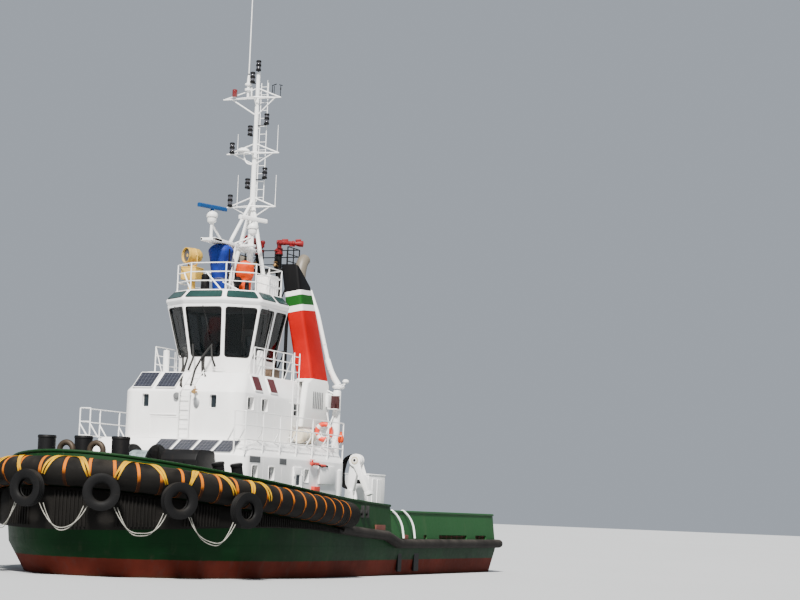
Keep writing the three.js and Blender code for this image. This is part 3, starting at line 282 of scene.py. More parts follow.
def facing(axis):
    """The turn that takes +Z to an axis."""
    return Vector(axis).normalized().to_track_quat("Z", "Y").to_matrix().to_4x4()


def turned(profile, at=(0, 0, 0), axis=(0, 0, 1), steps=24):
    """A profile of (radius, height) pairs spun round an axis through a point."""
    mesh = bpy.data.meshes.new("profile")
    mesh.from_pydata([(r, 0, h) for r, h in profile], [(i, i + 1) for i in range(len(profile) - 1)], [])
    obj = linked("turned", mesh)
    select_only(obj)
    bpy.ops.object.mode_set(mode="EDIT")
    bpy.ops.mesh.select_all(action="SELECT")
    bpy.ops.mesh.spin(steps=steps, angle=2 * math.pi, center=(0, 0, 0), axis=(0, 0, 1))
    bpy.ops.mesh.select_all(action="SELECT")
    bpy.ops.mesh.remove_doubles(threshold=1e-5)
    bpy.ops.mesh.normals_make_consistent(inside=False)
    object_mode()
    obj.matrix_world = Matrix.Translation(at) @ facing(axis)
    return applied(obj)


def skinned(rings, caps=True, loop=True):
    """A skin over rings of points; loop closes each ring, and caps fill the first and the last."""
    count = len(rings[0])
    points = [tuple(p) for ring in rings for p in ring]
    faces = []
    for r in range(len(rings) - 1):
        s = r + 1
        for i in range(count if loop else count - 1):
            j = (i + 1) % count
            faces.append((r * count + i, r * count + j, s * count + j, s * count + i))
    if caps:
        faces += [tuple(range(count))[::-1], tuple((len(rings) - 1) * count + i for i in range(count))]
    mesh = bpy.data.meshes.new("skin")
    mesh.from_pydata(points, [], faces)
    obj = linked("skin", mesh)
    select_only(obj)
    bpy.ops.object.mode_set(mode="EDIT")
    bpy.ops.mesh.select_all(action="SELECT")
    bpy.ops.mesh.normals_make_consistent(inside=False)
    object_mode()
    return obj


def copies(obj, places):
    """One mesh of copies of an object, each set by its own matrix."""
    made = []
    for place in places:
        copy = linked(obj.name, obj.data.copy())
        copy.matrix_world = place
        made.append(copy)
    bpy.data.objects.remove(obj)
    select_only(*made)
    bpy.ops.object.transform_apply(location=True, rotation=True, scale=True)
    return joined(made)


def without(obj, tool):
    """The object less another one."""
    modified(obj, "BOOLEAN", object=tool, operation="DIFFERENCE", solver="EXACT")
    bpy.data.objects.remove(tool)
    return obj


def placed(parts, finish, name, body="ship", replaces=None, angle=40):
    """Finishes a piece: joins, coats, smooths and names it, hangs it on its body and hides the CAD node it
    replaces.
    """
    obj = joined(parts) if isinstance(parts, list) else parts
    if finish:
        coated(obj, finish)
    applied(obj)
    bpy.ops.object.shade_smooth_by_angle(angle=math.radians(angle))
    obj.name = name
    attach(obj, body)
    if replaces:
        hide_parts(replaces)
    return obj


# The hull's lines

def rail_z(x):
    return 2.9 + 0.055 * x + 0.0032 * x * x


def deck_z(x):
    if x <= STEP_AFT_X:
        return AFT_DECK_Z
    if x >= STEP_FORE_X:
        return rail_z(x) - BULWARK_HEIGHT
    share = (x - STEP_AFT_X) / (STEP_FORE_X - STEP_AFT_X)
    return AFT_DECK_Z + share * (rail_z(STEP_FORE_X) - BULWARK_HEIGHT - AFT_DECK_Z)


def half_waterline(stem, half, bow, transom, corner, stations):
    """A waterline's port half from the stem to the transom, as (x, y, normal x, normal y)."""
    points = []
    steps = 28
    for i in range(steps):
        t = (i / steps) ** 0.9 * math.pi / 2
        normal = Vector((math.cos(t) / bow, math.sin(t) / half)).normalized()
        points.append((stem - bow + bow * math.cos(t), half * math.sin(t), *normal))
    start, end = stem - bow, transom + corner
    points += [(start + (end - start) * share, half, 0, 1) for share in stations]
    for i in range(8):
        t = (i + 1) / 8 * math.pi / 2
        points.append((end - corner * math.sin(t), half - corner + corner * math.cos(t), -math.sin(t),
            math.cos(t)))
    return points


SHEER_XS = [3.4, 2.2, 1.0, -0.2, -1.4, STEP_FORE_X, -3.25, STEP_AFT_X, -6, -9, -12, TRANSOM_X + STERN_CORNER]
STATIONS = [(SHEER_XS[0] - x) / (SHEER_XS[0] - SHEER_XS[-1]) for x in SHEER_XS]
DECK_LINE = (STEM_X, HALF_BEAM, BOW_LENGTH, TRANSOM_X, STERN_CORNER)


class Edge:
    """The deck's edge as a line with equal steps, from the stem aft along one side, the other mirrored."""

    def __init__(self, step=0.02):
        half = half_waterline(*DECK_LINE, STATIONS)
        fine = []
        for a, b in zip(half, half[1:]):
            count = max(1, round(math.hypot(b[0] - a[0], b[1] - a[1]) / step))
            fine += [tuple(p + (q - p) * k / count for p, q in zip(a, b)) for k in range(count)]
        fine.append(half[-1])
        self.points, self.lengths = fine, [0.0]
        for a, b in zip(fine, fine[1:]):
            self.lengths.append(self.lengths[-1] + math.hypot(b[0] - a[0], b[1] - a[1]))

    def at(self, distance):
        """(x, y, normal x, normal y) at a distance from the stem, positive to port."""
        reach = abs(distance)
        low, high = 0, len(self.lengths) - 1
        while high - low > 1:
            middle = (low + high) // 2
            if self.lengths[middle] <= reach:
                low = middle
            else:
                high = middle
        share = (reach - self.lengths[low]) / max(1e-9, self.lengths[high] - self.lengths[low])
        x, y, nx, ny = (p + (q - p) * share for p, q in zip(self.points[low], self.points[high]))
        return (x, y, nx, ny) if distance >= 0 else (x, -y, nx, -ny)

    def distance(self, x):
        """The distance from the stem at which the edge passes a station."""
        return next(s for s, p in zip(self.lengths, self.points) if p[0] <= x)

    def point(self, distance, out, level):
        """A point moved outwards, at a level counted from the rail."""
        x, y, nx, ny = self.at(distance)
        return Vector((x + nx * out, y + ny * out, level + rail_z(x)))

    def ring(self, distance, section):
        """A section of (out, level) pairs set square to the edge."""
        x, y, nx, ny = self.at(distance)
        return [(x + nx * out, y + ny * out, z) for out, z in section]

    def turn(self, distance):
        """A turn whose X points outwards and whose Z points up."""
        _, _, nx, ny = self.at(distance)
        return Matrix.Rotation(math.atan2(ny, nx), 4, "Z")

    def place(self, distance, out, level):
        """A move to a point off the rail after that turn."""
        return Matrix.Translation(self.point(distance, out, level)) @ self.turn(distance)


EDGE = Edge()
BOW_REACH = EDGE.distance(FENDER_END_X)
TYRE_STATIONS = [-6.05, -3.95, -2.1, -0.24, 1.62, 3.72, 6.05]


def span(low, high, step):
    """Equal steps from low to high, no longer than step."""
    count = max(1, math.ceil((high - low) / step))
    return [low + (high - low) * i / count for i in range(count + 1)]


# Finishes

class Mark:
    """A value in a finish: Python's operators on it add Math nodes."""

    def __init__(self, finish, socket):
        self.finish = finish
        self.socket = socket

    def math(self, operation, *values):
        return self.finish.node("ShaderNodeMath", {"operation": operation}, *values)

    def __add__(self, other):
        return self.math("ADD", self, other)

    def __sub__(self, other):
        return self.math("SUBTRACT", self, other)

    def __rsub__(self, other):
        return self.math("SUBTRACT", other, self)

    def __mul__(self, other):
        return self.math("MULTIPLY", self, other)

    def __gt__(self, other):
        return self.math("GREATER_THAN", self, other)

    def __lt__(self, other):
        return self.math("LESS_THAN", self, other)

    __radd__ = __add__
    __rmul__ = __mul__

    def rise(self, low, high):
        """0 below low, 1 above high, smooth between."""
        return self.finish.node("ShaderNodeMapRange", {"interpolation_type": "SMOOTHSTEP"}, self, low, high,
            0, 1)

    def fraction(self):
        return self.math("FRACT", self)


class Finish:
    """A material's nodes, with its shader's fixed values set from the start."""

    def __init__(self, name, colour, roughness=0.5, metallic=0.0, **fixed):
        self.material = bpy.data.materials.new(name)
        self.material.use_nodes = True
        self.tree = self.material.node_tree
        self.shader = self.tree.nodes["Principled BSDF"]
        self.material.diffuse_color = (*colour, 1)
        self.set("Base Color", (*colour, 1))
        self.set("Roughness", roughness)
        self.set("Metallic", metallic)
        for key, value in fixed.items():
            self.set(key.replace("_", " ").title().replace("Ior", "IOR"), value)

    def node(self, kind, settings, *values, output=0, **named):
        """Adds a node: its settings first, then the values or links of its sockets."""
        made = self.tree.nodes.new(kind)
        for key, value in settings.items():
            setattr(made, key, value)
        for key, value in [*enumerate(values), *named.items()]:
            if value is not None:
                self.plug(made.inputs[key], value)
        return Mark(self, made.outputs[output])

    def plug(self, socket, value):
        if isinstance(value, Mark):
            self.tree.links.new(value.socket, socket)
        else:
            socket.default_value = value

    def set(self, name, value):
        self.plug(self.shader.inputs[name], value)

    def place(self, scale=None):
        """Object coordinates, scaled where a scale is given."""
        bare = self.node("ShaderNodeTexCoord", {}, output="Object")
        return self.node("ShaderNodeMapping", {}, bare, Scale=scale) if scale else bare

    def axes(self, place=None):
        split = self.node("ShaderNodeSeparateXYZ", {}, place or self.place())
        return [Mark(self, split.socket.node.outputs[i]) for i in range(3)]

    def up(self):
        """The upward part of the surface's own normal."""
        normal = self.node("ShaderNodeTexCoord", {}, output="Normal")
        return self.axes(normal)[2]

    def noise(self, scale, detail=3, roughness=0.55, place=None):
        return self.node("ShaderNodeTexNoise", {}, place or self.place(), Scale=scale, Detail=detail,
            Roughness=roughness)

    def cells(self, scale):
        return self.node("ShaderNodeTexVoronoi", {}, self.place(), Scale=scale)

    def mix(self, share, a, b):
        """A colour between two colours."""
        made = self.tree.nodes.new("ShaderNodeMix")
        made.data_type = "RGBA"
        for index, value in ((0, share), (6, a), (7, b)):
            if isinstance(value, (tuple, list)) and len(value) == 3:
                value = (*value, 1)
            self.plug(made.inputs[index], value)
        return Mark(self, made.outputs[2])

    def bump(self, height, distance=0.01, strength=1.0):
        self.set("Normal", self.node("ShaderNodeBump", {}, Strength=strength, Distance=distance,
            Height=height))


def shade(colour, factor):
    return tuple(min(1, c * factor) for c in colour[:3])


def ship_paint(name, colour, roughness=0.35, dirt=(0.2, 0.13, 0.07), wear=0.25, runs=0.35, gloss=0.5):
    """Ship's paint: uneven plating, faded patches, dirt that runs down, and small rust spots."""
    finish = Finish(name, colour, roughness, specular_ior_level=gloss)
    patches = finish.noise(0.55, 4)
    fine = finish.noise(9, 5)
    streaks = finish.noise(1, 5, 0.6, finish.place((4.5, 4.5, 0.28)))
    run = (streaks.rise(0.52, 0.78) * fine.rise(0.3, 0.75)) * runs
    faded = finish.mix(patches.rise(0.35, 0.7) * 0.6, shade(colour, 0.9), shade(colour, 1.06))
    dirty = finish.mix(run, faded, tuple(c * 0.55 + d * 0.45 for c, d in zip(colour, dirt)))
    spots = finish.cells(2.6).rise(0.0, 0.055)
    spots = (1 - spots) * finish.noise(1.7, 2).rise(0.52, 0.62) * wear
    finish.set("Base Color", finish.mix(spots, dirty, (0.16, 0.055, 0.02)))
    finish.set("Roughness", roughness + 0.16 * fine + 0.2 * run)
    finish.bump(finish.noise(1.1, 2) * 0.7 + finish.noise(40, 2) * 0.05, 0.03, 0.3)


def mix_hull_paint():
    colour, red = tuple(paints().hull), tuple(paints().boot_top)
    # The hull's base green is darkened as painted shade for its flared, downward-facing sides.
    finish = Finish("hull green", colour, 0.4, specular_ior_level=0.07)
    x, _, z = finish.axes()
    patches = finish.noise(0.5, 5)
    fine = finish.noise(7, 5)
    runs = finish.noise(1, 5, 0.6, finish.place((3.2, 3.2, 0.3))).rise(0.5, 0.8)
    scrapes = finish.noise(1, 4, 0.6, finish.place((0.35, 0.35, 5))).rise(0.58, 0.72)
    green = finish.mix(patches.rise(0.3, 0.75), shade(colour, 0.72), shade(colour, 1.35))
    green = finish.mix(scrapes * fine.rise(0.4, 0.6) * 0.5, green, (0.006, 0.018, 0.01))
    green = finish.mix(runs * 0.22, green, (0.05, 0.045, 0.03))
    rust = finish.mix(patches.rise(0.35, 0.7), shade(red, 0.75), shade(red, 1.25))
    rust = finish.mix(runs * 0.5, rust, (0.05, 0.03, 0.025))
    top = sizes().boot_top
    below = 1 - (z + 0.05 * fine).rise(top, top + 0.03)
    slime = (1 - (z + 0.18 * patches).rise(0.02, 0.22)) * (z > -0.6)
    side = finish.mix(below, green, rust)
    side = finish.mix(slime * 0.55, side, (0.022, 0.034, 0.014))
    finish.set("Base Color", side)
    finish.set("Roughness", 0.42 + 0.2 * fine + 0.2 * below)
    seam_x = (x * 0.42).fraction()
    seam_z = (z * 0.62 + 0.3).fraction()
    weld = (1 - seam_x.rise(0.0, 0.012)) + (1 - seam_z.rise(0.0, 0.018))
    finish.bump(finish.noise(0.8, 2) * 1.2 + weld * 0.25 + fine * 0.12, 0.03, 0.45)


def mix_deck_paint():
    finish = Finish("deck green", (0.03, 0.085, 0.05), 0.8, specular_ior_level=0.4)
    grit = finish.noise(60, 2)
    patches = finish.noise(0.7, 4)
    worn = finish.noise(1.6, 5).rise(0.55, 0.72)
    colour = finish.mix(patches.rise(0.3, 0.7), (0.018, 0.062, 0.035), (0.045, 0.11, 0.065))
    colour = finish.mix(worn * 0.45, colour, (0.09, 0.085, 0.075))
    finish.set("Base Color", colour)
    finish.set("Roughness", 0.7 + 0.2 * grit)
    finish.bump(grit, 0.004, 0.6)


def mix_rubber(name, colour=(0.0055, 0.005, 0.0045), roughness=0.7, dust=(0.045, 0.038, 0.03)):
    finish = Finish(name, colour, roughness, specular_ior_level=0.08)
    patches = finish.noise(1.3, 4)
    fine = finish.noise(24, 4)
    up = finish.up()
    dusty = up.rise(0.1, 1.0) * patches.rise(0.3, 0.7) * 0.4 + fine.rise(0.6, 0.8) * 0.06
    scuffs = finish.noise(1, 4, 0.6, finish.place((2, 2, 14))).rise(0.6, 0.72) * 0.3
    faded = finish.mix(patches, shade(colour, 0.7), shade(colour, 1.8))
    finish.set("Base Color", finish.mix(dusty + scuffs * 0.35, faded, dust))
    finish.set("Roughness", roughness - 0.12 * patches + 0.14 * fine)
    finish.bump(fine * 0.4 + patches * 1.5, 0.012, 0.55)


def mix_webbing(name, colour):
    """Woven polyester strap, dirty in patches, with painted shade that darkens its downward faces."""
    finish = Finish(name, colour, 0.8, specular_ior_level=0.15)
    x, _, z = finish.axes()
    weave = x.math("SINE", x * 340) * 0.5 + z.math("SINE", z * 340) * 0.5
    grime = finish.noise(2.2, 4).rise(0.42, 0.72)
    dirty = finish.mix(grime * 0.5, colour, (0.14, 0.07, 0.02))
    worn = finish.mix(finish.noise(30, 2).rise(0.45, 0.75) * 0.3, dirty, shade(colour, 0.6))
    # Painted shade: faces that point down go almost black, the edge of the shade broken up by the grime
    # noise.
    lit = (finish.up() + 0.3 * grime).rise(-0.25, 0.3)
    finish.set("Base Color", finish.mix(lit, shade(colour, 0.04), worn))
    finish.bump(weave + finish.noise(90, 2), 0.002, 0.6)


def mix_rope(name, colour):
    finish = Finish(name, colour, 0.85, specular_ior_level=0.2)
    lay = finish.node("ShaderNodeTexWave", {"wave_type": "BANDS", "bands_direction": "DIAGONAL"},
        finish.place(), Scale=16, Distortion=1.2)
    dirt = finish.noise(5, 4)
    finish.set("Base Color", finish.mix(dirt.rise(0.35, 0.7), shade(colour, 0.5), colour))
    finish.bump(lay, 0.006, 0.8)


def mix_funnel_paint():
    """Red with a white, a green and a white band below a black top, across the funnel's lean."""
    red, green = tuple(paints().funnel), tuple(paints().band)
    finish = Finish("funnel bands", red, 0.45, specular_ior_level=0.06)
    x, y, z = finish.axes()
    side = y.math("ABSOLUTE", y)
    level = z - 0.17 * (side - 1.95) + 0.08 * (x + 1.15)
    fine = finish.noise(9, 5)
    patches = finish.noise(0.8, 4)
    red_paint = finish.mix(patches.rise(0.3, 0.7), shade(red, 0.82), shade(red, 1.1))
    white = (0.8, 0.8, 0.78)
    colour = finish.mix(z > 7.44, white, red_paint)
    for start, paint in ((10.1, white), (10.34, green), (10.74, white), (10.93, (0.005, 0.005, 0.0055))):
        colour = finish.mix(level > start, colour, paint)
    runs = finish.noise(1, 5, 0.6, finish.place((5, 5, 0.3))).rise(0.55, 0.8)
    finish.set("Base Color", finish.mix(runs * 0.14, colour, (0.05, 0.04, 0.035)))
    finish.set("Roughness", 0.5 + 0.2 * fine)
    finish.bump(finish.noise(1.2, 2) + fine * 0.05, 0.02, 0.25)


def mix_glass(name, colour, alpha=1.0, roughness=0.04, gloss=0.5):
    finish = Finish(name, colour, roughness, specular_ior_level=gloss, alpha=alpha)
    smear = finish.noise(2.2, 4)
    finish.set("Roughness", roughness + 0.08 * smear.rise(0.5, 0.8))
    finish.set("Base Color", finish.mix(smear.rise(0.3, 0.8), shade(colour, 0.8), shade(colour, 1.25)))


def mix_cloth(name, colour):
    """Coated canvas with a faint weave, paler on the raised creases."""
    finish = Finish(name, colour, 0.62, specular_ior_level=0.25)
    creases = finish.noise(1, 5, 0.6, finish.place((5, 5, 2.2)))
    soft = finish.noise(2.5, 3)
    faded = finish.mix(soft.rise(0.3, 0.7), shade(colour, 0.7), shade(colour, 1.25))
    finish.set("Base Color", finish.mix(creases.rise(0.6, 0.8) * 0.3, faded, shade(colour, 1.4)))
    finish.bump(creases * 1.6 + finish.noise(70, 2) * 0.08, 0.03, 0.7)


def mix_metal(name, colour, roughness, metallic=1.0):
    finish = Finish(name, colour, roughness, metallic)
    lines = finish.noise(1, 4, 0.6, finish.place((30, 30, 4)))
    stain = finish.noise(2.5, 4).rise(0.45, 0.75)
    finish.set("Base Color", finish.mix(stain * 0.5, colour, shade(colour, 0.45)))
    finish.set("Roughness", roughness + 0.18 * lines + 0.12 * stain)
    finish.bump(lines, 0.003, 0.3)


def mix_lamp(name, colour):
    finish = Finish(name, colour, 0.12, specular_ior_level=0.6, coat_weight=0.6)
    rings = finish.node("ShaderNodeTexWave", {"wave_type": "BANDS", "bands_direction": "Z"}, finish.place(),
        Scale=14)
    finish.set("Base Color", finish.mix(rings * 0.5, colour, shade(colour, 0.5)))
    finish.bump(rings, 0.004, 0.6)


def mix_buoy():
    """Orange-red lifebuoy with four white bands."""
    finish = Finish("buoy red", (0.75, 0.04, 0.015), 0.45, specular_ior_level=0.4)
    _, y, z = finish.axes()
    side = y.math("ABSOLUTE", y) - 3.0
    level = z - 5.42
    band = side.math("ABSOLUTE", side.math("ABSOLUTE", side) - side.math("ABSOLUTE", level)) < 0.09
    dirt = finish.noise(7, 4).rise(0.45, 0.75) * 0.3
    colour = finish.mix(band, (0.7, 0.035, 0.012), (0.8, 0.8, 0.77))
    finish.set("Base Color", finish.mix(dirt, colour, (0.3, 0.16, 0.1)))
    finish.bump(finish.noise(60, 2), 0.003, 0.3)


def mix_sun_cells():
    """Dark blue cells with a pale grid of wires."""
    finish = Finish("sun cells", (0.008, 0.012, 0.035), 0.5, specular_ior_level=0.3)
    _, y, z = finish.axes()
    lines = ((y * 7.1).fraction() < 0.07) + ((z * 17).fraction() < 0.09)
    fine = finish.noise(6, 3)
    cell = finish.mix(fine.rise(0.3, 0.7), (0.003, 0.004, 0.012), (0.006, 0.008, 0.02))
    finish.set("Base Color", finish.mix(lines, cell, (0.13, 0.135, 0.15)))


class TUG_OT_finishes(bpy.types.Operator):
    """Mix the boat's paints, rubber, webbing, cloth, glass and metals"""

    bl_idname = "tug.finishes"
    bl_label = "Mix finishes"

    def execute(self, context):
        mix_hull_paint()
        mix_deck_paint()
        mix_funnel_paint()
        ship_paint("ship white", tuple(paints().house), 0.32, wear=0.18, runs=0.14)
        ship_paint("bulwark green", tuple(paints().bulwark), 0.5, (0.2, 0.17, 0.12), wear=0.7, gloss=0.15)
        # Painted shade: the bow bulwark's green is the bulwark green darkened, a shaded copy of the same
        # paint.
        ship_paint("bulwark green in painted shade", shade(tuple(paints().bulwark), 0.45), 0.5, (0.2, 0.17, 0.12), wear=0.7,
            gloss=0.12)
        ship_paint("gear black", (0.006, 0.006, 0.0065), 0.45, dirt=(0.12, 0.07, 0.04), wear=0.9, runs=0.3,
            gloss=0.14)
        ship_paint("monitor red", (0.2, 0.006, 0.008), 0.45, wear=0.3, runs=0.2, gloss=0.3)
        ship_paint("signal red", (0.6, 0.03, 0.015), 0.4, wear=0.3)
        ship_paint("lamp yellow", (0.6, 0.37, 0.06), 0.5, wear=0.4, runs=0.3, gloss=0.35)
        ship_paint("rust brown", (0.12, 0.03, 0.02), 0.7, wear=1.0, runs=0.8)
        ship_paint("deck grey", (0.14, 0.145, 0.15), 0.55, wear=0.6)
        ship_paint("antifouling", (0.12, 0.028, 0.02), 0.6, dirt=(0.05, 0.07, 0.03), wear=0.6, runs=0.6)
        mix_rubber("fender rubber")
        mix_rubber("tyre rubber", (0.005, 0.005, 0.0052), 0.55)
        mix_rubber("belting rubber", (0.015, 0.0135, 0.0125), 0.75, (0.08, 0.07, 0.06))
        mix_webbing("orange webbing", tuple(paints().strap))
        mix_webbing("yellow webbing", tuple(paints().sling))
        mix_rope("grey rope", (0.36, 0.35, 0.31))
        mix_rope("winch rope", (0.28, 0.34, 0.36))
        # Painted shade: the bridge panes are partly opaque near-black, darkening the view into the
        # wheelhouse.
        mix_glass("bridge glass", (0.002, 0.0035, 0.004), 0.6, gloss=0.2)
        mix_glass("window glass", (0.015, 0.02, 0.024))
        mix_glass("roof glass", (0.012, 0.038, 0.034), roughness=0.2, gloss=0.35)
        ship_paint("skylight red", (0.07, 0.006, 0.008), 0.3, wear=0.0, runs=0.2)
        ship_paint("rusty white", tuple(paints().house), 0.6, dirt=(0.02, 0.02, 0.02), wear=1.6, runs=1.0)
        ship_paint("lagging beige", (0.15, 0.13, 0.1), 0.4, wear=0.3, runs=0.5)
        ship_paint("sidelight red", (0.03, 0.002, 0.003), 0.4, wear=0.1)
        ship_paint("sidelight green", (0.002, 0.02, 0.006), 0.4, wear=0.1)
        mix_buoy()
        mix_sun_cells()
        mix_cloth("blue cloth", (0.003, 0.02, 0.19))
        mix_cloth("orange cloth", (0.6, 0.05, 0.0))
        mix_metal("bronze", (0.5, 0.3, 0.12), 0.25)
        mix_metal("aged bronze", (0.05, 0.035, 0.022), 0.5, metallic=0.5)
        mix_metal("galvanised steel", (0.42, 0.43, 0.44), 0.45)
        mix_rubber("gasket", (0.02, 0.02, 0.02), 0.55)
        mix_lamp("lamp glass", (0.05, 0.05, 0.06))
        mix_lamp("red lamp", (0.16, 0.005, 0.005))
        ship_paint("moulded cream", (0.6, 0.53, 0.4), 0.45, wear=0.1)
        ship_paint("moulded white", (0.9, 0.9, 0.885), 0.28, wear=0.02, runs=0.08)
        ship_paint("radar blue", (0.008, 0.055, 0.18), 0.4, wear=0.05, gloss=0.2)
        ship_paint("teak", (0.12, 0.075, 0.045), 0.6, wear=0.1)
        mix_rubber("seat leather", (0.02, 0.02, 0.022), 0.45)
        # Painted shade: the wheelhouse's inside walls are dark grey so that they read as the dim inside.
        ship_paint("painted shade lining", (0.05, 0.052, 0.05), 0.8, wear=0.0, runs=0.0, gloss=0.1)
        ship_paint("console grey", (0.12, 0.125, 0.13), 0.5, wear=0.0, runs=0.05)
        return {"FINISHED"}


# Hull and fenders

def waterline_at(z):
    """The waterline table's row at a level, between its rows."""
    for low, high in zip(WATERLINES, WATERLINES[1:]):
        if z <= high[0]:
            share = (z - low[0]) / (high[0] - low[0])
            return [a + (b - a) * share for a, b in zip(low[1:], high[1:])]
    return WATERLINES[-1][1:]


def mirrored(half):
    """A closed ring from a half that starts on the centre line."""
    return half + [(x, -y, z) for x, y, z in reversed(half[1:])]


class TUG_OT_hull(bpy.types.Operator):
    """Loft the hull and its deck, and add the skeg and the thrusters' head boxes"""

    bl_idname = "tug.hull"
    bl_label = "Hull"

    def execute(self, context):
        rings = []
        for z in [-3.6, -3.45, -3.28, -3.1, -2.8, -2.5, -2.2, -1.8, -1.4, -1.0, -0.5, 0.0, 0.25, 0.5, 0.75,
                1.0]:
            stem, half, bow, transom, corner = waterline_at(z)
            line = half_waterline(stem, half, bow, transom, corner, STATIONS)
            rings.append(mirrored([(x, y, z) for x, y, _, _ in line]))
        deck = [(x, y, deck_z(x)) for x, y, _, _ in half_waterline(*DECK_LINE, STATIONS)]
        rings.append(mirrored(deck))
        shell = coated(skinned(rings, caps=False), "hull green")
        keel = rings[0]
        count = len(keel)
        bottom = skinned([[keel[i] for i in range(count // 2 + 1)],
            [keel[-i % count] for i in range(count // 2 + 1)]], caps=False, loop=False)
        coated(bottom, "hull green")
        top = rings[-1]
        plating = []
        for share in (0.0, 0.25, 0.5, 0.75, 1.0):
            plating.append([Vector(top[i]).lerp(Vector(top[-i % count]), share)
                for i in range(count // 2 + 1)])
        floor = coated(skinned(plating, caps=False, loop=False), "deck green")
        for face in floor.data.polygons:
            if face.normal.z < 0:
                face.flip()
        skeg_side = [(8.6, -3.3), (7.2, -4.3), (5.6, -4.7), (-7.4, -4.7), (-8.6, -4.3), (-9.0, -1.9)]
        skeg = skinned([[(x, y, z) for x, z in skeg_side] for y in (-0.17, 0.17)])
        coated(bevelled(skeg, 0.06, 3), "hull green")
        heads = [coated(turned([(0, -1.0), (0.78, -1.0), (0.78, -1.94), (0.72, -2.0), (0, -2.0)],
            (THRUSTER_X, y, 0), steps=32), "hull green") for y in (THRUSTER_Y, -THRUSTER_Y)]
        hull = joined([shell, bottom, floor, skeg, *heads])
        modified(hull, "WELD", merge_threshold=0.0005)
        placed(hull, None, "hull_shell", replaces="hull", angle=35)
        return {"FINISHED"}


FREEING_PORTS = ((-7.0, 0.34), (-10.1, 3.2), (-13.4, 1.3))  # middle and length along the side


def wall_section(top, foot):
    """The bulwark's section as (out, level) with a rounded cap rail."""
    lean = -0.02 - BULWARK_LEAN
    return [(-0.02, foot), (lean + 0.012, top - 0.1), (lean + 0.05, top - 0.085), (lean + 0.062, top - 0.045),
        (lean + 0.04, top - 0.008), (lean, top), (lean - BULWARK_THICK, top),
        (lean - BULWARK_THICK - 0.04, top - 0.008), (lean - BULWARK_THICK - 0.062, top - 0.045),
        (lean - BULWARK_THICK - 0.05, top - 0.085), (lean - BULWARK_THICK + 0.012, top - 0.1),
        (-0.02 - BULWARK_THICK, foot)]


def bulwark(distances, top_of):
    stations = [(s, EDGE.at(s)[0]) for s in distances]
    return skinned([EDGE.ring(s, wall_section(top_of(x), deck_z(x) + 0.001)) for s, x in stations])


def stays(distances, top_of):
    """Triangular brackets that hold the bulwark from inside."""
    rings = []
    for s in distances:
        x, _, nx, ny = EDGE.at(s)
        top, foot = top_of(x) - 0.1, deck_z(x) + 0.002
        along = Vector((-ny, nx, 0)) * 0.012
        shape = [(-0.14, foot), (-0.27, top), (-0.34, top), (-0.62, foot + 0.06), (-0.62, foot)]
        corners = [Vector(p) for p in EDGE.ring(s, shape)]
        rings.append(skinned([[c - along for c in corners], [c + along for c in corners]]))
    return joined(rings)


class TUG_OT_bulwarks(bpy.types.Operator):
    """Raise the bow and stern bulwarks with cap rails, stays, freeing ports and boarding rails"""

    bl_idname = "tug.bulwarks"
    bl_label = "Bulwarks"

    def execute(self, context):
        bow_end = EDGE.distance(BOW_BULWARK_END_X)
        stern_end = EDGE.lengths[-1]
        bow = bulwark(span(-bow_end, bow_end, 0.2), rail_z)
        bow_stays = stays(span(-bow_end + 0.4, bow_end - 0.4, 0.9), rail_z)
        # The bow bulwark is coated with the bulwark green darkened as painted shade.
        placed([bow, bow_stays], "bulwark green in painted shade", "bow_bulwark_plating", replaces="bow_bulwark", angle=35)

        half = span(bow_end + 0.001, stern_end, 0.2)
        stern = bulwark(half + [-s for s in reversed(half[:-1])], lambda x: STERN_BULWARK_Z)
        ports = []
        for x, length in FREEING_PORTS:
            for side in (1, -1):
                ports.append(((x - length / 2, side * 4.7, AFT_DECK_Z + 0.04),
                    (x + length / 2, side * 5.4, AFT_DECK_Z + 0.2)))
        for y in (-2.6, 2.6):
            ports.append(((-15.2, y - 0.5, AFT_DECK_Z + 0.04), (-15.9, y + 0.5, AFT_DECK_Z + 0.2)))
        stern = without(stern, blocks(ports, 0.05, 3))
        slats = [((x - length / 2 + 0.02, side * 5.035, AFT_DECK_Z + 0.085 + 0.06 * k),
            (x + length / 2 - 0.02, side * 5.055, AFT_DECK_Z + 0.105 + 0.06 * k))
            for x, length in FREEING_PORTS for side in (1, -1) for k in range(2)]
        slats += [((x - 0.015, side * 5.03, AFT_DECK_Z + 0.03), (x + 0.015, side * 5.06, AFT_DECK_Z + 0.21))
            for x in (-7.0, -8.9, -9.5, -10.1, -10.7, -11.3, -13.0, -13.4, -13.8) for side in (1, -1)]
        placed(blocks(slats, 0.004, 1), "rust brown", "freeing_port_bars")
        stern_stays = stays([s * side for s in span(bow_end + 0.6, stern_end - 0.7, 0.95)
            for side in (1, -1)], lambda x: STERN_BULWARK_Z)
        placed([stern, stern_stays], "bulwark green", "stern_bulwark_plating", replaces="stern_bulwark",
            angle=35)
        rails = []
        for side in (1, -1):
            for x in (-3.9, -5.05):
                rails.append(rounded([(x + 0.35, side * 4.86, 2.36), (x + 0.28, side * 5.0, 2.56),
                    (x - 0.05, side * 5.17, 2.3), (x - 0.2, side * 5.3, 1.95), (x - 0.24, side * 5.36, 1.46)],
                    0.35, 6))
        placed(tubes(rails, 0.042, 12), "moulded white", "boarding_rails")
        return {"FINISHED"}


def hoop(radius, width, thick):
    """A flat band round a cylinder whose axis is Y."""
    inner, outer = radius, radius + thick
    edge = 0.3 * thick
    profile = [(inner, -width / 2), (outer - edge, -width / 2), (outer, -width / 2 + edge),
        (outer, width / 2 - edge), (outer - edge, width / 2), (inner, width / 2), (inner, -width / 2)]
    return turned(profile, axis=(0, 1, 0), steps=32)


FENDER_BELOW_RAIL = 0.72
FENDER_OUT = 0.484
JOINT_GROOVE = 0.03  # how far the cylinder narrows at its joints


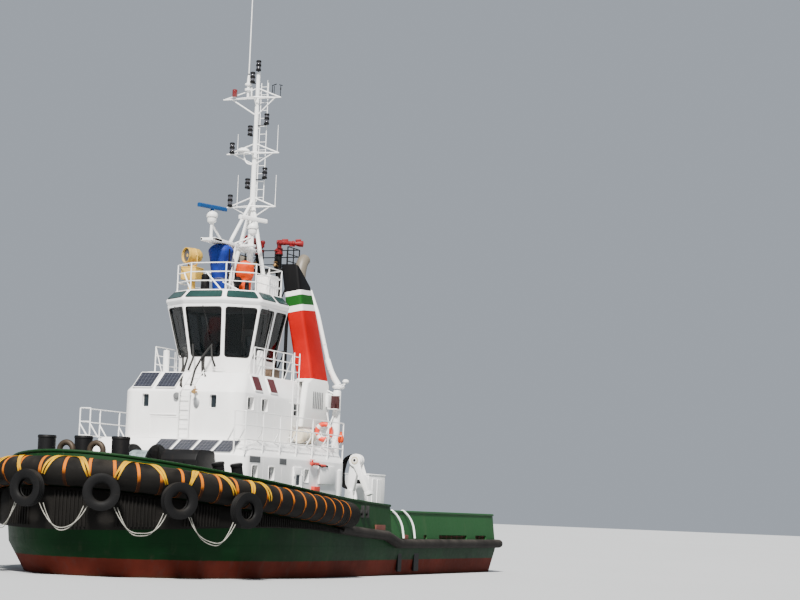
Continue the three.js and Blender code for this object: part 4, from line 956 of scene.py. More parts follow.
class TUG_OT_bow_fender(bpy.types.Operator):
    """Run the rubber cylinder round the bow, with its straps, joints and end plugs"""

    bl_idname = "tug.bow_fender"
    bl_label = "Bow fender"

    def execute(self, context):
        radius = sizes().fender_radius
        joints = span(-BOW_REACH + 1.2, BOW_REACH - 1.2, 1.95)
        rings = []
        for s in span(-BOW_REACH, BOW_REACH, 0.13):
            centre = EDGE.point(s, FENDER_OUT, -FENDER_BELOW_RAIL)
            out = Vector((*EDGE.at(s)[2:], 0))
            near = min(abs(s - joint) for joint in joints)
            share = 1 - JOINT_GROOVE * max(0, 1 - near / 0.14)
            rings.append([centre + (out * math.cos(a) + UP * math.sin(a)) * radius * share
                for a in circle(36)])
        body = bevelled(skinned(rings), 0.05, 3, 60)
        placed(body, "fender rubber", "bow_fender_cylinder", replaces="bow_fender", angle=50)
        strap = hoop(radius + 0.002, 1, 0.009)
        reach = BOW_REACH - 0.3
        count = int(reach / sizes().strap_spacing)
        stops = [k * sizes().strap_spacing for k in range(-count, count + 1)]
        rng = random.Random(4)
        places = []
        for s in stops:
            tilt = Matrix.Rotation(math.radians(rng.uniform(-4, 4)), 4, "X")
            width = sizes().strap_width * (1 - 0.6 * max(0, abs(s) - 6) / 6.5)
            place = EDGE.place(s, FENDER_OUT, -FENDER_BELOW_RAIL)
            places.append(place @ tilt @ Matrix.Diagonal((1, width, 1, 1)))
        placed(copies(strap, places), "orange webbing", "bow_fender_straps")
        band = hoop(radius - 0.008, 0.05, 0.012)
        ends = [side * (BOW_REACH - 0.12 - 0.16 * k) for side in (1, -1) for k in range(9)]
        places = [EDGE.place(s, FENDER_OUT, -FENDER_BELOW_RAIL) for s in ends]
        placed(copies(band, places), "fender rubber", "bow_fender_end_ribs")
        return {"FINISHED"}


BLOCK_TOP = 1.24
BLOCK_FOOT = 1.4
BLOCK_STEM_DEPTH = 1.2
BELT_OUT = 0.34
BELT_HEIGHT = 0.36
BELT_BELOW_DECK = 0.32


def block_depth(x):
    """The block fender's outward reach and height, which taper to the belting."""
    taper = min(1, max(0, (x - FENDER_END_X) / (7.6 - FENDER_END_X)))
    share = max(0, (x - 2.5) / (STEM_X - 2.5))
    return BELT_OUT + (0.42 - BELT_OUT) * taper, BLOCK_FOOT - BLOCK_TOP + BLOCK_STEM_DEPTH * share ** 1.8


class TUG_OT_low_fenders(bpy.types.Operator):
    """Fit the ribbed block fender under the bow cylinder and the belting along the sides"""

    bl_idname = "tug.low_fenders"
    bl_label = "Block fender and belting"

    def execute(self, context):
        rings = []
        for s in span(-BOW_REACH, BOW_REACH, 0.15):
            x = EDGE.at(s)[0]
            out, height = block_depth(x)
            top = rail_z(x) - BLOCK_TOP
            low = top - height
            ease = height * 0.3
            section = [(0.03, top), (out - 0.12, top), (out - 0.06, top - ease * 0.4),
                (out - 0.05, top - ease), (out - 0.05, low + ease), (out - 0.06, low + ease * 0.4),
                (out - 0.12, low), (0.03, low)]
            rings.append(EDGE.ring(s, section))
        wall = skinned(rings)
        rib = blocks([((-0.03, -0.035, -0.5), (0.03, 0.035, 0.5))], 0.02, 3)
        places = []
        for s in span(-BOW_REACH + 0.4, BOW_REACH - 0.4, 0.115):
            if min(abs(s - tyre) for tyre in TYRE_STATIONS) < 0.42:
                continue
            out, height = block_depth(EDGE.at(s)[0])
            place = EDGE.place(s, out - 0.035, -BLOCK_TOP - height / 2)
            places.append(place @ Matrix.Diagonal((1, 1, height * 0.86, 1)))
        placed([wall, copies(rib, places)], "fender rubber", "block_fender_ribbed", replaces="block_fender")

        stern_end = EDGE.lengths[-1]
        half = span(BOW_REACH + 0.001, stern_end, 0.15)
        rings = []
        for s in half + [-s for s in reversed(half[:-1])]:
            low = deck_z(EDGE.at(s)[0]) - BELT_BELOW_DECK
            section = [(0.03, low + BELT_HEIGHT)]
            for k in range(9):
                a = math.pi / 2 - math.pi * k / 8
                section.append((0.16 + 0.18 * math.cos(a), low + 0.18 + 0.18 * math.sin(a)))
            section.append((0.03, low))
            rings.append(EDGE.ring(s, section))
        placed(skinned(rings), "belting rubber", "belting_rubber", replaces="belting")
        return {"FINISHED"}


def tyre():
    """A worn lorry tyre, its axle along X, with a grooved tread."""
    outer = sizes().tyre_radius
    profile = [(0.29, 0.07), (0.305, 0.1), (0.35, 0.135), (0.43, 0.155), (0.5, 0.16), (0.55, 0.15)]
    for h in (0.12, 0.04):
        profile += [(outer - 0.005, h + 0.018), (outer, h), (outer - 0.004, h - 0.02),
            (outer - 0.022, h - 0.03)]
    half = profile + [(outer - 0.022, 0.0)]
    ring = half + [(r, -h) for r, h in reversed(half[:-1])]
    inside = [(0.31, -0.05), (0.36, -0.1), (0.5, -0.13), (0.56, -0.08), (0.57, 0.0), (0.56, 0.08),
        (0.5, 0.13), (0.36, 0.1), (0.31, 0.05)]
    return turned(ring + inside + [ring[0]], axis=(1, 0, 0), steps=48)


class TUG_OT_tyres(bpy.types.Operator):
    """Hang the bow tyres on their yellow slings with doubled rope loops between them"""

    bl_idname = "tug.tyres"
    bl_label = "Bow tyres"

    def execute(self, context):
        out, below = 1.131, 1.3
        rng = random.Random(9)
        places = []
        for s in TYRE_STATIONS:
            spin = Matrix.Rotation(rng.uniform(0, 6), 4, "X")
            places.append(EDGE.place(s, out, -below) @ spin)
        tyres = coated(copies(tyre(), places), "tyre rubber")
        ropes = []
        for start, end in zip(TYRE_STATIONS, TYRE_STATIONS[1:]):
            for inset, sag, depth in ((0.42, 0.82, 0.0), (0.33, 0.74, 0.035)):
                points = []
                for i in range(25):
                    t = i / 24
                    s = start + inset + (end - start - 2 * inset) * t
                    drop = 0.46 + sag * (1 - abs(2 * t - 1) ** 2.4)
                    points.append(EDGE.point(s, out - 0.1 + depth, -below - drop
                        + 0.02 * math.sin(11 * t + start)))
                ropes.append(points)
        loops = coated(tubes(ropes, 0.016, 8), "grey rope")
        placed([tyres, loops], None, "bow_tyres_and_loops", replaces="bow_tyres", angle=50)

        slings = []
        radius = sizes().fender_radius + 0.016
        stops = [TYRE_STATIONS[0] - 1.5, *TYRE_STATIONS, TYRE_STATIONS[-1] + 1.5]
        for start, end in zip(stops, stops[1:]):
            rings = []
            steps = 32
            for i in range(steps + 1):
                t = i / steps
                s = start + 0.34 + (end - start - 0.68) * t
                lift = 1 - abs(2 * t - 1) ** 2.0
                angle = math.radians(-14 + 124 * lift)
                _, _, nx, ny = EDGE.at(s)
                normal = Vector((nx * math.cos(angle), ny * math.cos(angle), math.sin(angle)))
                centre = EDGE.point(s, FENDER_OUT, -FENDER_BELOW_RAIL) + normal * radius
                rings.append((centre, normal))
            for side in (-1, 1):
                strip = []
                for i, (centre, normal) in enumerate(rings):
                    ahead = rings[min(i + 1, steps)][0] - rings[max(i - 1, 0)][0]
                    across = normal.cross(ahead).normalized()
                    middle = centre + across * (0.045 * side * (1 + 0.3 * math.sin(i * 0.7 + start)))
                    middle += normal * (0.004 + 0.004 * side)
                    edge = across * (0.02 + 0.034 * min(1, 6 * min(i, steps - i) / steps))
                    strip.append([middle - edge, middle + edge, middle + edge + normal * 0.007,
                        middle - edge + normal * 0.007])
                slings.append(skinned(strip))
        placed(slings, "yellow webbing", "tyre_slings")
        return {"FINISHED"}


# Deckhouses

LOWER_HOUSE = {"wall": (5.95, -3.6, 3.45, 0.25, 1.2), "slope": (5.0, -3.6, 3.1, 0.25, 1.1), "eave": 4.25,
    "top": 4.8}
UPPER_HOUSE = {
    "wall": (4.6, -3.4, 2.45, 0.35, 0.3), "slope": (3.8, -3.4, 2.14, 0.3, 0.3), "eave": 6.55, "top": 7.3,
}
HOUSE_DOOR = {"fore": 2.05, "aft": 1.35, "foot": 2.12, "top": 3.92, "recess": 0.3}
SIDE_WINDOWS = {  # fore ends, lengths and levels of the windows in a house's side
    "lower": [
        (5.4, 0.45, 3.42, 3.92), (4.07, 0.47, 3.42, 3.92), (1.12, 0.42, 3.42, 3.92), (-0.9, 0.42, 3.42, 3.92),
    ],
    "upper": [(4.02, 0.52, 5.94, 6.42), (2.89, 0.52, 5.94, 6.42), (0.2, 0.52, 5.94, 6.42)],
}
WINDOW_DEPTH = 0.16


HOUSE_CORNER = 0.16


def house_ring(plan, level):
    """A house's outline at a level: fore and aft ends, half breadth, and fore and aft corner cuts."""
    fore, aft, half, fore_cut, aft_cut = plan
    port = [(fore, half - fore_cut), (fore - fore_cut, half), (aft + aft_cut, half), (aft, half - aft_cut)]
    corners = port + [(x, -y) for x, y in reversed(port)]
    return outline([(x, y, level) for x, y in corners], HOUSE_CORNER, 3)


def house_shell(house, foot):
    """Walls that follow the deck, the slope over them and the flat top, with eased edges."""
    wall, slope, eave, top = (house[key] for key in ("wall", "slope", "eave", "top"))
    low = house_ring(wall, 0)
    rings = [[Vector((p.x, p.y, foot(p.x))) for p in low], house_ring(wall, eave), house_ring(slope, top)]
    return bevelled(skinned(rings), 0.035, 3, 25)


def side_openings(key, half):
    """Tools, panes and rims of the windows in both sides of a house."""
    tools, panes, rims = [], [], []
    for sign in (1, -1):
        for fore, length, low, high in SIDE_WINDOWS[key]:
            tools.append(((fore, sign * (half - WINDOW_DEPTH), low),
                (fore - length, sign * (half + 0.2), high)))
            panes.append(((fore + 0.01, sign * (half - WINDOW_DEPTH - 0.01), low - 0.01),
                (fore - length - 0.01, sign * (half - WINDOW_DEPTH + 0.012), high + 0.01)))
            corners = [(fore, sign * half, low), (fore, sign * half, high),
                (fore - length, sign * half, high), (fore - length, sign * half, low)]
            rims.append(outline(corners, 0.07))
    return tools, panes, rims


class TUG_OT_lower_house(bpy.types.Operator):
    """Raise the lower deckhouse with its windows, doors, grilles, pipes and sun panels"""

    bl_idname = "tug.lower_house"
    bl_label = "Lower deckhouse"

    def execute(self, context):
        half = LOWER_HOUSE["wall"][2]
        shell = house_shell(LOWER_HOUSE, lambda x: deck_z(x) + 0.002)
        tools, panes, rims = side_openings("lower", half)
        door = HOUSE_DOOR
        recesses = [((door["fore"], sign * (half - door["recess"]), door["foot"]),
            (door["aft"], sign * (half + 0.2), door["top"])) for sign in (1, -1)]
        shell = without(shell, blocks(tools, 0.06, 3))
        shell = without(shell, blocks(recesses, 0.05, 3))
        frames = tubes(rims, 0.016, 6, closed=True)
        sills = [((door["fore"] + 0.05, sign * (half - 0.02), door["foot"] - 0.11),
            (door["aft"] - 0.05, sign * (half + 0.06), door["foot"] - 0.06)) for sign in (1, -1)]
        seams = [((x + 0.008, sign * (half - 0.01), deck_z(x) + 0.02),
            (x - 0.008, sign * (half + 0.003), 4.2)) for x in (4.5, 3.0, 0.0) for sign in (1, -1)]
        foot = [((5.7, sign * (half - 0.02), deck_z(5.6) - 0.1),
            (3.0, sign * (half + 0.03), deck_z(5.6) + 0.06)) for sign in (1, -1)]
        placed([shell, frames, blocks(sills + foot, 0.01, 1), blocks(seams, 0)], "ship white",
            "lower_deckhouse_walls", replaces="lower_deckhouse", angle=32)
        placed(blocks(panes, 0.004, 1), "window glass", "lower_deckhouse_windows", angle=30)

        slats = []
        for sign in (1, -1):
            for fore, aft in ((5.56, 4.78), (3.18, 2.67)):
                slats += [((fore, sign * (half - 0.01), 4.05 + 0.035 * k),
                    (aft, sign * (half + 0.018), 4.068 + 0.035 * k)) for k in range(5)]
                slats.append(((fore + 0.03, sign * (half - 0.02), 4.02),
                    (aft - 0.03, sign * (half + 0.006), 4.24)))
        placed(blocks(slats, 0.004, 1), "console grey", "deckhouse_vent_grilles")

        pillars = mirrored_pair(lambda sign: [bar((-2.05, sign * 3.15, deck_z(-2.05)),
            (-2.05, sign * 3.15, 4.05), 0.36, steps=28, bevel=0.08)])
        lockers = blocks([((-0.1, sign * 3.44, 3.4), (-1.5, sign * 3.53, 4.1)) for sign in (1, -1)], 0.03)
        placed([*pillars, lockers], "ship white", "deckhouse_corner_pillars")

        def hydrant(sign):
            wall = sign * half
            wheel = [(0.08, -0.012), (0.1, -0.012), (0.1, 0.012), (0.08, 0.012), (0.08, -0.012)]
            return [bar((0.55, wall, 4.14), (0.55, wall + sign * 0.16, 4.14), 0.05),
                bar((0.1, wall + sign * 0.1, 4.14), (0.75, wall + sign * 0.1, 4.14), 0.06),
                bar((0.64, wall + sign * 0.1, 4.05), (0.64, wall + sign * 0.1, 4.27), 0.035),
                turned(wheel, (0.64, wall + sign * 0.1, 4.28), steps=20),
                bar((-0.5, wall + sign * 0.09, 4.1), (-0.1, wall + sign * 0.09, 4.1), 0.05)]

        reds = mirrored_pair(hydrant)
        reds.append(blocks([((0.45, sign * (half - 0.01), 3.02), (-0.05, sign * (half + 0.14), 3.3))
            for sign in (1, -1)], 0.02))
        placed(reds, "signal red", "fire_hydrants")
        hoses = []
        for sign in (1, -1):
            wall = sign * (half + 0.08)
            hoses.append(rounded([(0.1, wall, 4.12), (-0.3, wall, 4.05), (-0.5, wall, 4.12),
                (-0.75, wall, 4.08)], 0.2))
        placed(tubes(hoses, 0.04, 10), "gasket", "hydrant_hoses")

        panels, frames = [], []
        a, b = Vector((5.86, 0, 4.302)), Vector((5.09, 0, 4.748))
        normal = (b - a).cross(UP.cross(b - a)).normalized()
        normal = normal if normal.z > 0 else -normal
        for k in range(4):
            left = -0.42 + 0.84 * k
            corners = [a + Vector((0, left, 0)), a + Vector((0, left + 0.72, 0)),
                b + Vector((0, left + 0.72, 0)), b + Vector((0, left, 0))]
            frames.append(slab(outline(corners, 0.03), 0.01, 0.035, normal))
            inner = [c.lerp((a + b) / 2 + Vector((0, left + 0.36, 0)), 0.07) for c in corners]
            panels.append(slab(inner, 0.03, 0.04, normal))
        placed(frames, "galvanised steel", "lower_sun_panel_frames")
        placed(panels, "sun cells", "lower_sun_panels")
        return {"FINISHED"}


class TUG_OT_house_doors(bpy.types.Operator):
    """Hang the deckhouse's two steel doors with their clips, windows and hinges"""

    bl_idname = "tug.house_doors"
    bl_label = "Deckhouse doors"

    def execute(self, context):
        for sign, side in SIDES:
            low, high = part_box(f"deckhouse_door_{side}")
            face = LOWER_HOUSE["wall"][2] + 0.001
            fore, aft, foot, top = high.x, low.x, low.z, high.z

            def across(inner, outer):
                return sign * (face + inner), sign * (face + outer)

            y0, y1 = across(0, 0.055)
            leaf = blocks([((fore, y0, foot), (aft, y1, top))], 0.02, 3)
            y0, y1 = across(0.02, 0.2)
            pane = ((fore - 0.2, y0, top - 0.7), (aft + 0.2, y1, top - 0.25))
            leaf = without(leaf, blocks([pane], 0.06, 4))
            y0, y1 = across(0.05, 0.066)
            ribs = blocks([((fore - 0.08, y0, foot + 0.12), (fore - 0.13, y1, top - 0.1)),
                ((aft + 0.08, y0, foot + 0.12), (aft + 0.13, y1, top - 0.1)),
                ((fore - 0.1, y0, foot + 0.8), (aft + 0.1, y1, foot + 0.85))], 0.008, 1)
            pin = sign * (face + 0.07)
            hinges = [bar((fore - 0.01, pin, z), (fore - 0.01, pin, z + 0.16), 0.022)
                for z in (foot + 0.2, foot + 0.88, top - 0.36)]
            clips = []
            for z in (foot + 0.3, foot + 0.85, foot + 1.05, top - 0.3):
                y0, y1 = across(0.04, 0.1)
                clips.append(bar((aft + 0.06, y0, z), (aft + 0.06, y1, z), 0.02))
                clips.append(bar((aft + 0.06, y1, z), (aft + 0.17, y1, z + 0.05), 0.013))
            y0, y1 = across(0.05, 0.11)
            grip = [(aft + 0.2, y0, foot + 0.95), (aft + 0.2, y1, foot + 0.95),
                (aft + 0.2, y1, foot + 1.2), (aft + 0.2, y0, foot + 1.2)]
            handle = tubes([rounded(grip, 0.04)], 0.014)
            placed([leaf, ribs, *hinges, *clips, handle], "ship white", f"steel_door_{side}",
                body=f"door_{side}", replaces=f"deckhouse_door_{side}", angle=32)
            y0, y1 = across(0.012, 0.024)
            placed(blocks([((fore - 0.19, y0, top - 0.71), (aft + 0.19, y1, top - 0.24))], 0.004, 1),
                "window glass", f"door_window_{side}", body=f"door_{side}")
        return {"FINISHED"}


def slope_normal(low, high):
    """The upward normal of a slope that climbs from one point to another."""
    along = (high - low).normalized()
    normal = along.cross(Vector((-along.y, along.x, 0)).normalized())
    return normal if normal.z > 0 else -normal


def ladder(foot, top, side, width=0.42, rung=0.28, radius=0.022):
    """A steel ladder between two points, its rungs along a side vector."""
    foot, top, side = Vector(foot), Vector(top), Vector(side).normalized() * width / 2
    rails = [[foot - side, top - side], [foot + side, top + side]]
    count = max(2, int((top - foot).length / rung))
    rungs = [[foot.lerp(top, (k + 0.5) / count) - side, foot.lerp(top, (k + 0.5) / count) + side]
        for k in range(count)]
    return joined([tubes(rails, radius, 8), tubes(rungs, radius * 0.7, 6)])


class TUG_OT_upper_house(bpy.types.Operator):
    """Raise the upper deckhouse with its windows, skylights, ladders and sun panels"""

    bl_idname = "tug.upper_house"
    bl_label = "Upper deckhouse"

    def execute(self, context):
        fore, half = UPPER_HOUSE["wall"][0], UPPER_HOUSE["wall"][2]
        top, eave = UPPER_HOUSE["top"], UPPER_HOUSE["eave"]
        shell = house_shell(UPPER_HOUSE, lambda x: LOWER_HOUSE["top"] + 0.001)
        tools, panes, rims = side_openings("upper", half)
        for y in (-1.43, 1.36):
            tools.append(((fore - 0.1, y - 0.15, 5.94), (fore + 0.3, y + 0.15, 6.44)))
            panes.append(((fore - 0.11, y - 0.155, 5.93), (fore - 0.088, y + 0.155, 6.45)))
            corners = [(fore, y - 0.15, 5.94), (fore, y + 0.15, 5.94), (fore, y + 0.15, 6.44),
                (fore, y - 0.15, 6.44)]
            rims.append(outline(corners, 0.07))
        shell = without(shell, blocks(tools, 0.06, 3))
        frames = tubes(rims, 0.016, 6, closed=True)
        hatch = outline([(fore, -1.21, 4.84), (fore, 0.0, 4.84), (fore, 0.0, 5.6), (fore, -1.21, 5.6)], 0.08)
        gutters = tubes([[(fore + 0.015, -1.2, 5.68), (fore + 0.03, -0.1, 5.68)], hatch + hatch[:1]], 0.02, 6)
        seams = [((fore - 0.01, y, 4.85), (fore + 0.003, y + 0.015, 6.5)) for y in (-1.85, 0.75, 1.85)]
        seams += [((x + 0.008, sign * (half - 0.01), 4.85), (x - 0.008, sign * (half + 0.003), 6.5))
            for x in (3.2, 1.8, 0.5) for sign in (1, -1)]
        collar = outline([(p.x, p.y, top) for p in bridge_ring(0, 0.05)], 0.05)
        cowl = slab(collar, -0.01, 0.05)
        placed([shell, frames, gutters, blocks(seams, 0), cowl], "ship white", "upper_deckhouse_walls",
            replaces="upper_deckhouse", angle=32)
        placed(blocks(panes, 0.004, 1), "window glass", "upper_deckhouse_windows", angle=30)

        frames, cells, reds = [], [], []
        foot, head = Vector((fore - 0.07, 0, eave + 0.075)), Vector((3.87, 0, top - 0.07))
        normal = slope_normal(foot, head)
        for left in (-2.05, -1.08):
            corners = [foot + ACROSS * left, foot + ACROSS * (left + 0.82), head + ACROSS * (left + 0.82),
                head + ACROSS * left]
            frames.append(slab(outline(corners, 0.02), 0.02, 0.06, normal))
            middle = sum(corners, Vector()) / 4
            cells.append(slab([c.lerp(middle, 0.07) for c in corners], 0.055, 0.066, normal))
        for sign in (1, -1):
            low, high = Vector((0, sign * (half - 0.04), eave + 0.09)), Vector((0, sign * 2.18, top - 0.09))
            normal = slope_normal(low, high)
            for front in (3.4, 2.15):
                corners = [low + AHEAD * front, low + AHEAD * (front - 0.62), high + AHEAD * (front - 0.62),
                    high + AHEAD * front]
                middle = sum(corners, Vector()) / 4
                frames.append(slab(outline(corners, 0.03), 0.0, 0.05, normal))
                reds.append(slab([c.lerp(middle, 0.12) for c in corners], 0.045, 0.056, normal))
        placed(frames, "moulded white", "slope_panel_frames")
        placed(cells, "sun cells", "upper_sun_panels")
        placed(reds, "skylight red", "slope_skylights")

        ladders = [ladder((fore + 0.14, 0.25, 4.82), (fore + 0.14, 0.25, 6.5), (0, 1, 0)),
            ladder((fore + 0.12, 0.25, 6.5), (3.75, 0.25, 7.36), (0, 1, 0))]
        stand = tubes([[(fore, y, z), (fore + 0.14, y, z)] for y in (0.04, 0.46) for z in (5.0, 6.4)],
            0.014, 6)
        side_ladders = [ladder((0.32, sign * (half + 0.12), 4.83), (0.32, sign * (half + 0.12), 8.3),
            (1, 0, 0), 0.46) for sign in (1, -1)]
        side_stand = tubes([[(x, sign * half, z), (x, sign * (half + 0.12), z)] for x in (0.09, 0.55)
            for z in (5.1, 6.4) for sign in (1, -1)], 0.014, 6)
        placed([*ladders, stand, *side_ladders, side_stand], "moulded white", "house_ladders")

        x = fore + 0.005
        lamp = turned([(0, 0), (0.13, 0), (0.13, 0.05), (0.1, 0.1), (0, 0.12)],
            (x, -0.13, 6.36), AHEAD, 24)
        placed(lamp, "deck grey", "bulkhead_lamp")
        horn = [bar((x, 0.68, 6.52), (x + 0.16, 0.68, 6.52), 0.03),
            bar((x + 0.14, 0.6, 6.6), (x + 0.14, 0.78, 6.6), 0.022),
            bar((x + 0.13, 0.68, 6.5), (x + 0.15, 0.68, 6.72), 0.025),
            turned([(0, 0), (0.035, 0), (0.05, 0.12), (0.085, 0.17), (0, 0.17)], (x + 0.12, 0.68, 6.6),
            (0.8, 0, -0.6), 20)]
        placed(horn, "bronze", "whistle_fitting")
        oval = turned([(0, 0), (0.12, 0), (0.12, 0.02), (0.1, 0.035), (0, 0.04)],
            (x, 0.69, 6.12), AHEAD, 28)
        for vertex in oval.data.vertices:
            vertex.co.z = 6.12 + (vertex.co.z - 6.12) * 1.6
        placed(oval, "galvanised steel", "oval_cover_plate")
        return {"FINISHED"}


def fence(path, foot, height, spacing, feet=True, braced=0.0):
    """Guard rails: three bars on round posts along a path, with feet or inboard braces."""
    radius = sizes().rail_radius
    bars = [rounded([(x, y, foot + height * share) for x, y in path], 0.05) for share in (0.34, 0.67, 1.0)]
    posts = []
    for (x0, y0), (x1, y1) in zip(path, path[1:]):
        bays = max(1, round(math.hypot(x1 - x0, y1 - y0) / spacing))
        posts += [(x0 + (x1 - x0) * k / bays, y0 + (y1 - y0) * k / bays) for k in range(bays)]
    posts.append(path[-1])
    uprights = [[(x, y, foot), (x, y, foot + height)] for x, y in posts]
    if braced:
        uprights += [[(x, y, foot + height * 0.62), (x * 0.985, y - math.copysign(braced, y),
            foot + height * 0.3)] for x, y in posts]
    made = [tubes(bars, radius * 0.85), tubes(uprights, radius * 1.15)]
    if feet:
        made += [turned([(0, 0), (0.055, 0), (0.055, 0.012), (0.03, 0.02), (0, 0.02)], (x, y, foot), steps=10)
            for x, y in posts]
    return joined(made)


def both_sides(path):
    return [(x, -y) for x, y in reversed(path)] + list(path)


class TUG_OT_rails(bpy.types.Operator):
    """Set the guard rails of the deckhouses and the bridge deck"""

    bl_idname = "tug.rails"
    bl_label = "Guard rails"

    def execute(self, context):
        edge = [(5.88, 2.95), (5.88, 3.38), (-2.4, 3.38), (-3.53, 2.25)]
        aft = [(-3.53, -2.25), (-3.53, 2.25)]
        sides = [fence([(x, sign * y) for x, y in edge], 4.3, 1.5, 1.35, feet=False, braced=0.3)
            for sign in (1, -1)]
        rails = joined([*sides, fence(aft, 4.3, 1.5, 1.5, feet=False)])
        placed(rails, "moulded white", "house_guard_rails", replaces="house_rails")
        for sign, side in SIDES:
            path = [(2.9, sign * 2.08), (-0.3, sign * 2.08)]
            rail = fence(path, 7.302, 1.0, 0.8)
            post = bar((2.26, sign * 1.98, 7.3), (2.26, sign * 1.98, 8.22), 0.12, steps=20, bevel=0.03)
            stay = tubes([[(-0.3, sign * 2.08, 8.28), (-0.3, sign * 1.75, 7.31)],
                [(2.9, sign * 2.08, 8.28), (2.9, sign * 1.78, 7.31)]], 0.02)
            placed([rail, post, stay], "moulded white", f"bridge_deck_rails_{side}",
                replaces=f"bridge_rails_{side}")
        box = blocks([((1.33, 1.75, 7.31), (0.64, 2.02, 7.58))], 0.015)
        lids = blocks([((1.35, 1.73, 7.58), (0.62, 2.04, 7.61))], 0.008, 1)
        placed([box, lids], "teak", "bridge_deck_box")
        return {"FINISHED"}


# Wheelhouse

SILL = (7.86, 2.8, 0.68, 1.52, 2.12, 0.1, -0.75, 0.8)
EAVE = (9.9, 3.2, 0.86, 1.98, 2.4, 0.05, -0.75, 0.95)
ROOF_EDGE_Z = 10.15
ROOF_TOP_Z = 10.45
WALL = 0.09
BRIDGE_WINDOWS = [  # facet, counted from the port bow, and the shares of its breadth that the window takes
    (7, 0, 1), (0, 0, 1), (6, 0, 1), (1, 0, 0.56), (1, 0.56, 1),
    (5, 0, 0.44), (5, 0.44, 1), (2, 0, 1), (4, 0, 1),
]


def bridge_ring(share, grow=0.0, level=None):
    """The wheelhouse's eight corners between sill and eave, grown outwards."""
    z, fore, front, side, side_fore, side_aft, aft, aft_half = (a + (b - a) * share
        for a, b in zip(SILL, EAVE))
    half = [(fore + grow, front + grow * 0.4), (side_fore + grow * 0.4, side + grow),
        (side_aft - grow * 0.4, side + grow), (aft - grow, aft_half + grow * 0.4)]
    z = z if level is None else level
    return [Vector((x, y, z)) for x, y in half] + [Vector((x, -y, z)) for x, y in reversed(half)]


def facet_quad(low, high, facet, start, end, margin, foot, top):
    """A window's corners on the facet between two rings, inside its frame, with the outward normal."""
    i, j = facet, (facet + 1) % 8
    a, b, c, d = low[i].lerp(low[j], start), low[i].lerp(low[j], end), high[i].lerp(high[j],
        end), high[i].lerp(high[j], start)
    normal = (b - a).cross(d - a).normalized()
    quad = []
    for share, flip in ((foot, False), (top, True)):
        left, right = a.lerp(d, share), b.lerp(c, share)
        step = (right - left).normalized() * margin
        quad += [right - step, left + step] if flip else [left + step, right - step]
    middle = sum(quad, Vector()) / 4
    if normal.dot(middle - Vector((1, 0, middle.z))) < 0:
        normal = -normal
    return quad, normal


